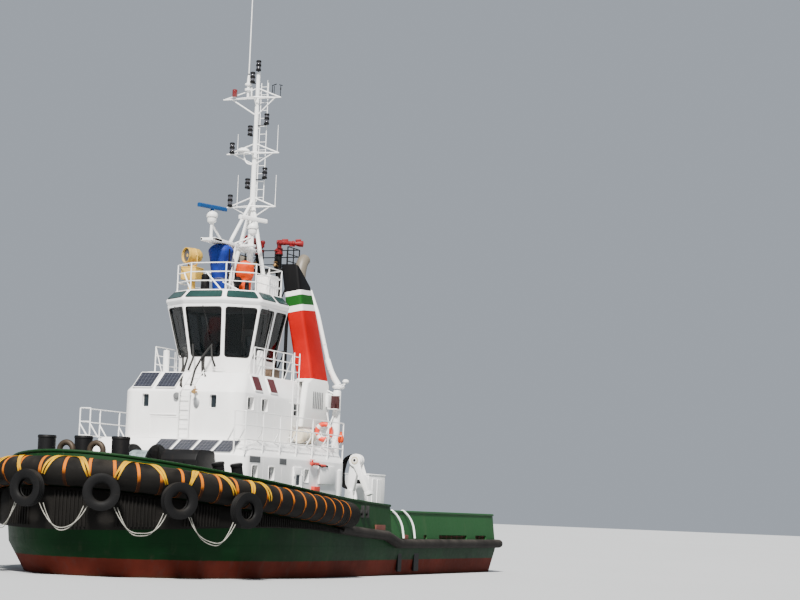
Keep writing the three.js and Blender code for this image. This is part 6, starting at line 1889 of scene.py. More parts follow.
class TUG_OT_mast(bpy.types.Operator):
    """Step the mast with its legs, yards, ladder, lanterns, aerials and the two radars"""

    bl_idname = "tug.mast"
    bl_label = "Mast and radars"

    def execute(self, context):
        top = MAST_TOP_Z
        pole = [turned([(0, 0), (0.17, 0), (0.17, 0.04), (0.13, 0.06), (0.115, 3.9), (0.1, 5.2),
            (0.075, top - ROOF_Z - 0.02), (0, top - ROOF_Z)], (MAST_X, 0, ROOF_Z), steps=20)]
        legs = [bar((1.4, 0, 12.36), (MAST_X, 0, 14.37), 0.07, 0.06)]
        legs += [bar((MAST_X + 0.2, sign * 0.9, ROOF_Z + 0.01), (MAST_X, 0, 14.3), 0.085, 0.075)
            for sign in (1, -1)]
        legs += [bar((1.42, sign * 0.26, ROOF_Z), (1.42, sign * 0.26, 12.35), 0.048) for sign in (1, -1)]
        legs += [bar((2.85, 0, 12.4), (2.85, 0, 12.96), 0.055), bar((1.95, 0, 12.38), (2.82, 0, 12.93),
            0.045), bar((1.04, 0.8, 12.36), (1.04, 0.8, 12.76), 0.06)]
        beams = blocks([((3.1, -0.3, 12.28), (MAST_X, -0.22, 12.4)),
            ((3.1, 0.22, 12.28), (MAST_X, 0.3, 12.4)), ((3.1, -0.3, 12.29), (2.5, 0.3, 12.39)),
            ((2.6, -0.28, 12.3), (-0.3, 0.28, 12.395)), ((MAST_X + 0.1, -0.3, 12.29),
            (MAST_X - 0.2, 0.3, 12.39)), ((1.16, -0.26, 12.3), (0.92, 0.92, 12.39))], 0.012)
        lattice = [[(1.42, -0.26, 11.9), (1.42, 0.26, 12.3)], [(1.42, 0.26, 11.9), (1.42, -0.26, 12.3)],
            [(1.42, 0, 12.3), (1.04, 0.8, 12.7)], [(0.9, 0.26, 12.36), (0.98, 0.75, 12.7)]]
        yards = []
        for level, starboard, port, depth in YARDS:
            yards.append([(MAST_X, -starboard, level), (MAST_X, port, level)])
            for end in (port, -starboard):
                out = end * 0.75
                yards += [[(MAST_X, out, level), (MAST_X, 0, level - depth)],
                    [(MAST_X, out, level), (MAST_X + 0.3, 0, level)], [(MAST_X, end * 0.97, level),
                    (MAST_X, 0, level + 0.4)]]
            yards.append([(MAST_X, 0, level), (MAST_X + 0.3, 0, level)])
            yards.append([(MAST_X + 0.3, 0, level), (MAST_X, 0, level - depth * 0.6)])
        yards.append(rounded([(MAST_X, 0, 15.75), (MAST_X + 0.05, -0.35, 15.8),
            (MAST_X + 0.05, -0.48, 16.26)], 0.3))
        steps = ladder((MAST_X - 0.02, 0.3, 14.3), (MAST_X - 0.02, 0.3, 19.0), (0, 1, 0), 0.3, 0.3, 0.018)
        ties = tubes([[(MAST_X, 0, z), (MAST_X, 0.15, z)] for z in (14.9, 16.0, 17.2, 18.6)], 0.016, 6)
        gear = []
        for _, x, y, foot, _, _ in RADARS:
            gear.append(turned([(0, -0.04), (0.09, -0.04), (0.095, 0.0), (0.15, 0.02), (0.17, 0.05),
                (0.175, 0.18), (0.16, 0.2), (0.21, 0.215), (0.22, 0.24), (0.218, 0.31), (0.2, 0.36),
                (0.15, 0.405), (0.09, 0.425), (0.085, 0.44), (0, 0.44)], (x, y, foot), steps=32))
        canister_z = YARDS[0][0]
        canister = [turned([(0, 0), (0.05, 0), (0.055, 0.3), (0.14, 0.32), (0.14, 0.4), (0.06, 0.42),
            (0.06, 0.52), (0.14, 0.54), (0.14, 0.6), (0.07, 0.63), (0.055, 0.86), (0.03, 0.95), (0, 0.95)],
            (MAST_X, -0.42, canister_z), steps=20), turned([(0, 0), (0.03, 0), (0.035, 0.36), (0, 0.38)],
            (MAST_X, -0.27, canister_z + 0.1), steps=12), bar((MAST_X, -0.42, canister_z + 0.94),
            (MAST_X, -0.42, canister_z + 8.2), 0.025, 0.011, 10, 0.004),
            bar((MAST_X, -0.42, canister_z), (MAST_X, 0, canister_z + 0.05), 0.03)]
        saucer = turned([(0, -0.04), (0.24, -0.02), (0.25, 0.01), (0.2, 0.08), (0.1, 0.13), (0, 0.14)],
            (MAST_X + 0.05, -0.48, 16.3), steps=28)
        whips = [bar((MAST_X, y, z0), (MAST_X, y, z1), 0.014, 0.009, 8, 0.002)
            for y, z0, z1 in ((0.97, 16.2, 17.3), (0.98, 14.06, 15.32), (-0.77, 16.2, 17.0),
            (-0.68, 14.1, 15.37), (0.42, 18.4, 19.1), (-1.2, 18.4, 18.5))]
        mast = joined([*pole, *legs, beams, tubes(lattice, 0.03, 8), tubes(yards, 0.026, 8), steps, ties,
            *gear, *canister, saucer, *whips])
        placed(mast, "moulded white", "mast_and_yards", replaces="mast", angle=35)

        lamps = [lantern(y, low, high - low) for y, low, high in LANTERNS]
        brackets = tubes([[(MAST_X, 0, z), (MAST_X + 0.1, y, z)] for y, z in ((0.5, 17.3), (0.52, 15.16),
            (-0.2, 16.89), (-0.21, 14.79), (-0.2, 18.99), (0.04, 19.46))], 0.02, 6)
        wind = [bar((MAST_X, y, 18.4), (MAST_X, y, 18.86), 0.014, steps=8, bevel=0.002) for y in (0.72, 1.0)]
        wind += [bar((MAST_X, 0.62, 18.88), (MAST_X, 0.82, 18.93), 0.02, steps=8),
            bar((MAST_X, 0.64, 18.6), (MAST_X, 0.64, 18.9), 0.02, 0.012, 8),
            bar((MAST_X, 0.93, 18.9), (MAST_X, 1.08, 18.86), 0.016, steps=8),
            bar((MAST_X, 1.0, 18.7), (MAST_X, 1.0, 18.87), 0.028, 0.012, 8)]
        plugs = turned([(0, 0), (0.03, 0), (0.03, 0.05), (0, 0.06)], (MAST_X, -0.42, 19.35), steps=10)
        placed([*lamps, brackets, *wind, plugs], "gear black", "mast_lanterns", angle=35)
        lenses = [turned([(0.086, 0.0), (0.094, 0.01), (0.094, h), (0.086, h + 0.01), (0.086, 0)],
            (MAST_X + 0.1, y, z), steps=20) for y, low, high in LANTERNS
            for z, h in ((low + 0.08, (high - low) / 2 - 0.12), ((low + high) / 2 + 0.06,
            (high - low) / 2 - 0.15))]
        placed(lenses, "lamp glass", "lantern_lenses", angle=35)
        red = [turned([(0, 0), (0.09, 0), (0.1, 0.02), (0.1, 0.29), (0.07, 0.31), (0, 0.31)],
            (MAST_X + 0.1, -0.96, 18.47), steps=20)]
        placed(red, "red lamp", "red_lantern", angle=35)

        for name, x, y, foot, paint, slot in RADARS:
            low = foot + 0.446
            hub = turned([(0, 0), (0.07, 0), (0.075, 0.03), (0.06, 0.07), (0, 0.075)], (0, 0, low), steps=24)
            rings = []
            for share in (-1, -0.985, -0.6, -0.12, 0.12, 0.6, 0.985, 1):
                deep = 0.03 if abs(share) == 1 else 0.088
                section = outline([(deep, share * 0.7, low + u) if u < 0.21 else (deep * 0.2, share * 0.7,
                    low + 0.238) for u in (0.062, 0.2, 0.238)] + [(-deep, share * 0.7, low + 0.22),
                    (-deep, share * 0.7, low + 0.08)], 0.03, 3)
                rings.append(section)
            antenna = joined([hub, skinned(rings)])
            antenna.matrix_world = moved((x, y, 0), math.radians(RADAR_YAW))
            placed(antenna, paint, f"radar_bar_{name}", body=f"radar_{name}",
                replaces=f"radar_scanner_{name}")
        return {"FINISHED"}


class TUG_OT_house_gear(bpy.types.Operator):
    """Fit the life rafts, sidelight columns, lifebuoys and floats on the deckhouse"""

    bl_idname = "tug.house_gear"
    bl_label = "Deckhouse gear"

    def execute(self, context):
        top = LOWER_HOUSE["top"] + 0.001
        for sign, side in SIDES:
            x, y, z = -0.15, sign * 2.8, top + 0.37
            half = [(0.0, 0.62), (0.2, 0.615), (0.235, 0.58), (0.25, 0.5), (0.262, 0.47), (0.272, 0.3),
                (0.285, 0.28), (0.285, 0.22), (0.272, 0.2), (0.275, 0.06), (0.3, 0.04)]
            profile = [(r, -h) for r, h in half] + [(r, h) for r, h in reversed(half)]
            # The canister is a white moulding; its cream colour is painted shade for the shade it sits in
            # under the funnel casing.
            canister = turned(profile, (x, y, z), (1, 0, 0), 36)
            placed(canister, "moulded cream", f"raft_canister_{side}", replaces=f"life_raft_{side}", angle=30)
            cradle = []
            for dx in (-0.34, 0.34):
                cradle.append(rounded([(x + dx, y - 0.29, top), (x + dx, y - 0.29, top + 0.2),
                    (x + dx, y - 0.17, top + 0.12), (x + dx, y + 0.17, top + 0.12),
                    (x + dx, y + 0.29, top + 0.2), (x + dx, y + 0.29, top)], 0.1))
            cradle += [[(x - 0.42, y + dy, top + 0.03), (x + 0.42, y + dy, top + 0.03)] for dy in (-0.2, 0.2)]
            bands = [[(x + dx, y + 0.288 * math.cos(a), z + 0.288 * math.sin(a))
                for a in (2 * math.pi * i / 32 for i in range(33))] for dx in (-0.3, 0.3)]
            placed([tubes(cradle, 0.024, 8), tubes(bands, 0.01, 6)], "galvanised steel",
                f"raft_cradle_{side}")

            cx, cy = -2.36, sign * 3.07
            column = turned([(0, 0), (0.2, 0), (0.2, 0.03), (0.155, 0.06), (0.155, 2.62), (0.13, 2.68),
                (0, 2.7)], (cx, cy, 4.4), steps=32)
            pieces = [((cx + 0.44, cy - sign * 0.2, 6.32), (cx + 0.05, cy + sign * 0.2, 6.35)),
                ((cx + 0.44, cy - sign * 0.2, 6.32), (cx, cy - sign * 0.165, 6.9)),
                ((cx + 0.2, cy - sign * 0.42, 6.42), (cx - 0.05, cy - sign * 0.2, 6.95)),
                ((cx + 0.1, cy - sign * 0.1, 5.2), (cx + 0.16, cy + sign * 0.05, 5.8))]
            boxes = blocks(pieces, 0.012)
            bracket = tubes([[(cx, cy, 6.9), (-2.3, sign * 2.6, 7.1)],
                [(cx, cy, 5.0), (-1.9, sign * 2.6, 4.85)], rounded([(cx + 0.1, cy, 6.3),
                (cx + 0.55, cy - sign * 0.2, 5.2), (cx + 1.15, cy, 4.6)], 0.1)], 0.026, 8)
            placed([column, boxes, bracket], "moulded white", f"sidelight_column_{side}")
            board = blocks([((cx + 0.19, cy - sign * 0.16, 6.35), (cx + 0.15, cy + sign * 0.19, 6.86))],
                0.006, 1)
            lamp = turned([(0, 0), (0.07, 0), (0.07, 0.2), (0.05, 0.22), (0, 0.22)], (cx + 0.27, cy, 6.36),
                steps=20)
            paint = "sidelight red" if sign > 0 else "sidelight green"
            placed([board, lamp], paint, f"sidelight_board_{side}")

            back = LOWER_HOUSE["wall"][1]
            panel = blocks([((back + 0.005, sign * 0.6, 2.2), (back - 0.03, sign * 1.5, 3.5)),
                ((back + 0.005, sign * 1.6, 3.0), (back - 0.035, sign * 2.15, 3.6))]
                + [((back - 0.02, sign * 1.64, 3.05 + 0.11 * k), (back - 0.055, sign * 2.11, 3.1 + 0.11 * k))
                for k in range(5)], 0.008, 1)
            runs = tubes([rounded([(back - 0.05, sign * (0.3 + 0.09 * k), 1.6),
                (back - 0.05, sign * (0.3 + 0.09 * k), 4.1)], 0.1) for k in range(2)], 0.024, 8)
            clips = blocks([((back + 0.005, sign * 0.25, 2.0 + 0.7 * k),
                (back - 0.08, sign * 0.44, 2.04 + 0.7 * k)) for k in range(3)], 0.005, 1)
            placed([panel, runs, clips], "ship white", f"aft_casing_gear_{side}")

            bx, by, bz = -1.45, sign * 3.0, 5.42
            ring = turned([(0.2, 0), (0.235, 0.05), (0.295, 0.065), (0.355, 0.05), (0.39, 0), (0.355, -0.05),
                (0.295, -0.065), (0.235, -0.05), (0.2, 0)], (bx, by, bz), (1, sign * 0.15, 0), 48)
            placed(ring, "buoy red", f"lifebuoy_{side}", angle=60)
            stays = [[(bx - 0.08, by - 0.55, bz + 0.75), (bx - 0.08, by + 0.1, bz - 0.62)],
                [(bx - 0.08, by + 0.05, bz + 0.75), (bx - 0.08, by + 0.36, bz - 0.62)],
                [(bx - 0.08, by - 0.62, bz - 0.2), (bx - 0.08, by + 0.3, bz - 0.2)]]
            placed(tubes(stays, 0.026, 8), "moulded white", f"lifebuoy_rack_{side}")
            grip = [[(bx + 0.05, by + 0.4 * math.cos(a), bz + 0.4 * math.sin(a)) for a in circle(40)]]
            placed(tubes(grip, 0.009, 6, closed=True), "grey rope", f"lifebuoy_grab_line_{side}")
            float_ = turned([(0, 0), (0.06, 0), (0.11, 0.05), (0.12, 0.16), (0.09, 0.27), (0.05, 0.33),
                (0.045, 0.42), (0, 0.43)], (-2.3, sign * 3.33, 5.05), steps=24)
            placed(float_, "orange cloth", f"marker_float_{side}", angle=60)
        return {"FINISHED"}


# Deck gear

def plate(points, at, thick, axis):
    """An upright plate square to X or Y: an outline of (along, height) pairs, thick to both sides."""
    path = [(u, at, v) if axis == "Y" else (at, u, v) for u, v in points]
    return bevelled(slab(path, -thick / 2, thick / 2, ACROSS if axis == "Y" else AHEAD), 0.008, 2, 40)


def bolts(centre, axis, radius, count, size=0.022, height=0.02):
    """A ring of bolt heads round an axis."""
    centre = Vector(centre)
    turn = facing(axis)
    heads = []
    for a in circle(count):
        at = centre + turn @ Vector((radius * math.cos(a), radius * math.sin(a), 0))
        heads.append(turned([(0, 0), (size, 0), (size, height), (0, height)], at, axis, 6))
    return joined(heads)


class TUG_OT_foredeck(bpy.types.Operator):
    """Fit the towing staple with its arches, the leaning bitts and the towing winch"""

    bl_idname = "tug.foredeck"
    bl_label = "Foredeck gear"

    def execute(self, context):
        foot = deck_z(11.0) - 0.03
        top = 4.6
        parts = []
        for y in (-1.43, 0, 1.43):
            height = top - foot
            parts.append(turned([(0, 0), (0.42, 0), (0.42, 0.16), (0.33, 0.24), (0.3, 0.36),
                (0.3, height - 0.1), (0.315, height - 0.09), (0.315, height - 0.03), (0.29, height),
                (0, height)], (11.0, y, foot), steps=40))
        parts.append(bar((11.0, -1.45, 3.75), (11.0, 1.45, 3.75), 0.14, steps=28))
        parts.append(blocks([((10.6, -1.9, foot), (11.4, 1.9, foot + 0.14))], 0.02))
        for y in (-1.8, -1.06, -0.37, 0.37, 1.06, 1.8):
            parts.append(plate([(10.66, foot + 0.1), (10.66, foot + 0.16), (10.86, foot + 0.5),
                (11.14, foot + 0.5), (11.34, foot + 0.16), (11.34, foot + 0.1)], y, 0.04, "Y"))
        placed(parts, "gear black", "towing_staple_posts", replaces="towing_staple")
        arches, seats = [], []
        for y in (-0.25, 0.91):
            low = deck_z(11.65) + 0.04
            path = [(11.65, y - 0.25, low), (11.65, y - 0.25, 4.1)]
            path += [(11.65, y - 0.25 * math.cos(a), 4.1 + 0.25 * math.sin(a))
                for a in span(0, math.pi, 0.18)]
            path += [(11.65, y + 0.25, low)]
            arches.append(tubes([path], 0.098, 20))
            arches += [turned([(0.1, 0), (0.14, 0), (0.14, 0.06), (0.1, 0.08), (0.1, 0)],
                (11.65, y + dy, 3.35), steps=24) for dy in (-0.25, 0.25)]
            seats.append(((11.52, y - 0.14, low), (11.78, y + 0.14, low + 0.66)))
        placed(arches, "aged bronze", "towing_arches")
        sole = blocks([((11.0, -0.7, foot - 0.02), (11.79, 1.3, foot + 0.075)), *seats], 0.025)
        placed(sole, "moulded white", "arch_seats")

        for sign, side in SIDES:
            y = sign * 3.6
            deck = deck_z(7.7) + 0.1
            parts = [blocks([((8.04, y - 0.34, deck - 0.28), (5.95, y + 0.34, deck))], 0.02)]
            for x in (7.7, 6.35):
                low, high = Vector((x, y, deck - 0.01)), Vector((x + 0.3, y - sign * 0.12, 3.92))
                axis = high - low
                length = axis.length
                profile = [(0, 0), (0.25, 0), (0.25, 0.05), (0.2, 0.1), (0.2, length - 0.1),
                    (0.225, length - 0.09), (0.225, length - 0.02), (0.2, length), (0, length)]
                parts.append(turned(profile, low, axis, 32))
                pin = low.lerp(high, 0.62)
                parts.append(bar(pin + Vector((0, 0.33, 0)), pin - Vector((0, 0.33, 0)), 0.055, steps=16))
            placed(parts, "gear black", f"leaning_bitts_{side}", replaces=f"bow_bitts_{side}")

        x, z = 7.2, 3.6
        bed = deck_z(x) + 0.18
        parts = [blocks([((8.15, -0.6, bed - 0.28), (6.0, 2.4, bed))], 0.02)]
        for y in (-0.45, 0.8):
            parts.append(plate([(x - 0.55, bed - 0.02), (x - 0.5, bed + 0.3), (x - 0.26, z + 0.02),
                (x - 0.18, z + 0.18), (x, z + 0.255), (x + 0.18, z + 0.18), (x + 0.26, z + 0.02),
                (x + 0.5, bed + 0.3), (x + 0.55, bed - 0.02)], y, 0.12, "Y"))
            side = 1 if y > 0 else -1
            parts.append(turned([(0.108, -0.075), (0.24, -0.075), (0.24, 0.065), (0.2, 0.09), (0.108, 0.09),
                (0.108, -0.075)], (x, y, z), (0, side, 0), 36))
            parts.append(bolts((x, y + side * 0.085, z), (0, side, 0), 0.17, 8))
            parts.append(plate([(x + 0.4, bed), (x + 0.4, bed + 0.5), (x + 0.95, bed + 0.05),
                (x + 0.95, bed)], y, 0.04, "Y"))
        parts.append(bar((6.25, -0.5, bed + 0.35), (6.25, 0.85, bed + 0.35), 0.06))
        hole = bar((x, -1.2, z), (x, 1.2, z), 0.108, steps=48, bevel=0)
        placed(without(joined(parts), hole), "gear black", "winch_stands", replaces="winch_frame")

        from_y, to_y = -0.35, 0.7
        wheel = [turned([(0, from_y - 0.2), (0.1, from_y - 0.2), (0.1, from_y), (0.2, from_y), (0.86, from_y),
            (0.9, from_y + 0.01), (0.9, from_y + 0.07), (0.86, from_y + 0.08), (0.5, from_y + 0.08),
            (0.5, to_y - 0.08), (0.86, to_y - 0.08), (0.9, to_y - 0.07), (0.9, to_y - 0.01), (0.86, to_y),
            (0.2, to_y), (0.1, to_y), (0.1, to_y + 0.14), (0, to_y + 0.14)], (x, 0, z), (0, 1, 0), 72)]
        for y in (from_y - 0.012, to_y - 0.008):
            for a in circle(8):
                out = Vector((math.cos(a), 0, math.sin(a)))
                across = Vector((-math.sin(a), 0, math.cos(a))) * 0.022
                base = Vector((x, y, z))
                ring = [base + out * 0.3 - across, base + out * 0.82 - across, base + out * 0.82 + across,
                    base + out * 0.3 + across]
                wheel.append(slab(ring, 0, 0.02, ACROSS))
        placed(wheel, "gear black", "winch_wheel", body="winch_drum", replaces="winch_drum")
        radius, lay = 0.028, 0.66
        low, high = from_y + 0.08 + radius, to_y - 0.08 - radius
        turns = int((high - low) / (2 * radius))
        steps = 36
        coil = [(x + lay * math.cos(a), low + (high - low) * i / (turns * steps), z + lay * math.sin(a))
            for i in range(turns * steps + 1) for a in (2 * math.pi * i / steps,)]
        core = turned([(0.49, low - 0.02), (lay - 0.012, low - 0.02), (lay - 0.012, high + 0.02),
            (0.49, high + 0.02), (0.49, low - 0.02)], (x, 0, z), (0, 1, 0), 48)
        rope = joined([tubes([coil], radius, 8), core])
        placed(rope, "winch rope", "winch_wound_rope", body="winch_drum", angle=60)

        fore, aft, low, high = 7.5, 6.05, bed + 0.002, 4.35
        path = [(fore, low), (fore, high - 0.35), (fore - 0.12, high - 0.14), (fore - 0.3, high),
            (aft + 0.15, high), (aft + 0.04, high - 0.1), (aft, low)]
        case = bevelled(slab([(u, 0.95, v) for u, v in path], 0, 1.4, ACROSS), 0.035, 3, 20)
        trims = blocks([((fore, 0.95 + 0.46 * k, low + 0.1), (fore - 0.03, 0.99 + 0.46 * k, high - 0.4))
            for k in range(4)] + [((fore - 0.35, 0.94 + 0.7 * k - 0.01 * (k == 2), high - 0.02),
            (aft + 0.2, 0.97 + 0.69 * k, high - 0.001)) for k in range(3)], 0.006, 1)
        lugs = tubes([rounded([(cx - 0.06, cy, high - 0.02), (cx - 0.06, cy, high - 0.004),
            (cx + 0.06, cy, high - 0.004), (cx + 0.06, cy, high - 0.02)], 0.01) for cx in (6.5, 7.0)
            for cy in (1.2, 2.1)], 0.012, 8)
        placed([case, trims, lugs], "gear black", "winch_housing", replaces="winch_cover")
        return {"FINISHED"}


def spine(points, widths, thick, x=0.0):
    """A flat link through (y, z) points with a width at each, thick along X and centred on x."""
    left, right = [], []
    for i, (point, width) in enumerate(zip(points, widths)):
        before, after = Vector(points[max(i - 1, 0)]), Vector(points[min(i + 1, len(points) - 1)])
        along = (after - before).normalized()
        across = Vector((-along.y, along.x)) * width
        left.append(Vector(point) + across)
        right.append(Vector(point) - across)
    path = [(x, p.x, p.y) for p in left + right[::-1]]
    return bevelled(slab(path, -thick / 2, thick / 2, AHEAD), 0.012, 2, 25)


class TUG_OT_deck_crane(bpy.types.Operator):
    """Fold the deck crane up on its pedestal"""

    bl_idname = "tug.deck_crane"
    bl_label = "Deck crane"

    def execute(self, context):
        x, y, z = -4.75, 2.75, AFT_DECK_Z + 0.001
        pin, knee, tip = (y, 3.2), (2.95, 4.45), (3.58, 3.09)
        base = turned([(0, 0), (0.6, 0), (0.6, 0.05), (0.58, 0.07), (0.38, 0.08), (0.36, 0.14), (0.33, 0.82),
            (0.4, 0.84), (0.4, 0.915), (0, 0.919)], (x, y, z), steps=48)
        fins = []
        for k in range(6):
            fin = plate([(0.34, z + 0.06), (0.34, z + 0.4), (0.56, z + 0.08), (0.56, z + 0.06)], 0, 0.03, "Y")
            fin.matrix_world = moved((x, y, 0), k * math.pi / 3)
            fins.append(applied(fin))
        foot = joined([base, *fins, bolts((x, y, z + 0.075), (0, 0, 1), 0.54, 12)])
        placed(foot, "ship white", "crane_foot", replaces="crane_pedestal")

        low = 2.306
        column = turned([(0, 0), (0.42, 0), (0.42, 0.12), (0.4, 0.14), (0.28, 0.15), (0.23, 0.24), (0.2, 0.6),
            (0, 0.6)], (x, y, low), steps=44)
        cheeks = [plate([(y - 0.2, low + 0.1), (y - 0.2, 3.0), (y - 0.13, 3.26), (y, 3.318), (y + 0.13, 3.26),
            (y + 0.2, 3.0), (y + 0.2, low + 0.1)], x + dx, 0.068, "X") for dx in (-0.166, 0.166)]
        web = blocks([((x - 0.17, y - 0.19, low + 0.12), (x + 0.17, y + 0.19, 2.93))], 0.01)
        motor = turned([(0, 0), (0.13, 0), (0.14, 0.03), (0.14, 0.2), (0.09, 0.24), (0.09, 0.34), (0, 0.36)],
            (x + 0.3, y - 0.12, low + 0.12), steps=24)
        pins = [bar((x - 0.215, y, 3.2), (x - 0.13, y, 3.2), 0.07),
            bar((x + 0.13, y, 3.2), (x + 0.215, y, 3.2), 0.07)]
        placed([column, *cheeks, web, motor, *pins], "ship white", "crane_pillar", body="crane_column",
            replaces="crane_column")

        boom = spine([pin, (2.78, 3.5), (2.84, 3.9), (2.91, 4.25), knee], [0.12, 0.15, 0.165, 0.19, 0.2],
            0.235, x)
        head = turned([(0, -0.12), (0.24, -0.12), (0.26, -0.1), (0.26, 0.1), (0.24, 0.12), (0, 0.12)],
            (x, *knee), (1, 0, 0), 40)
        eye = turned([(0, -0.122), (0.13, -0.122), (0.13, 0.122), (0, 0.122)], (x, *pin), (1, 0, 0), 32)
        ram = [bar((x, 2.6, 3.42), (x, 2.72, 4.2), 0.06, 0.06, 20),
            bar((x, 2.72, 4.18), (x, 2.78, 4.42), 0.03, 0.03, 14)]
        placed([boom, head, eye, *ram], "ship white", "crane_inner_boom", body="crane_boom",
            replaces="crane_boom")
        hoses = [rounded([(x + dx, 2.68, 3.3), (x + dx, 2.44 - k * 0.03, 3.4), (x + dx, 2.36 - k * 0.03, 3.9),
            (x + dx, 2.5 - k * 0.03, 4.5), (x + dx, 2.76, 4.62 + k * 0.02), (x + dx, 2.9, 4.6)], 0.3, 6)
            for k, dx in enumerate((-0.09, -0.03, 0.03, 0.09))]
        placed(tubes(hoses, 0.03, 10), "gear black", "crane_boom_lines", body="crane_boom")

        mid = [knee[i] + (tip[i] - knee[i]) * 0.45 for i in (0, 1)]
        near = [knee[i] + (tip[i] - knee[i]) * 0.25 for i in (0, 1)]
        jib = [spine([knee, near, mid, tip], [0.17, 0.13, 0.11, 0.09], 0.056, x + dx) for dx in (-0.17, 0.17)]
        jib += [turned([(0, -0.029), (0.245, -0.029), (0.25, -0.02), (0.25, 0.02), (0.245, 0.029),
            (0, 0.029)], (x + dx, *knee), (1, 0, 0), 40) for dx in (-0.17, 0.17)]
        jib += [turned([(0, 0), (0.1, 0), (0.1, 0.02), (0.06, 0.03), (0, 0.03)], (x + s * 0.2, *knee),
            (s, 0, 0), 24) for s in (1, -1)]
        jib.append(spine([mid, tip], [0.1, 0.09], 0.38, x))
        inner = [mid[i] + (tip[i] - mid[i]) * 0.82 for i in (0, 1)]
        jib.append(spine([inner, tip], [0.105, 0.105], 0.4, x))
        placed(jib, "ship white", "crane_outer_jib", body="crane_jib", replaces="crane_jib")
        face = turned([(0, -0.222), (0.15, -0.222), (0.15, 0.222), (0, 0.222)], (x, *knee), (1, 0, 0), 32)
        placed(face, "moulded cream", "crane_knee_faces", body="crane_jib")
        valves = blocks([((x + 0.42, y - 0.05, low + 0.02), (x + 0.24, y + 0.2, low + 0.34))], 0.015)
        levers = tubes([[(x + 0.38 - 0.05 * k, y + 0.1, low + 0.3),
            (x + 0.38 - 0.05 * k, y + 0.14, low + 0.52)] for k in range(4)], 0.01, 6)
        placed([valves, levers], "gear black", "crane_valves", body="crane_column")
        grease = turned([(0, -0.232), (0.06, -0.232), (0.06, 0.232), (0, 0.232)], (x, *knee), (1, 0, 0), 24)
        placed(grease, "gear black", "crane_knee_pin", body="crane_jib")
        return {"FINISHED"}


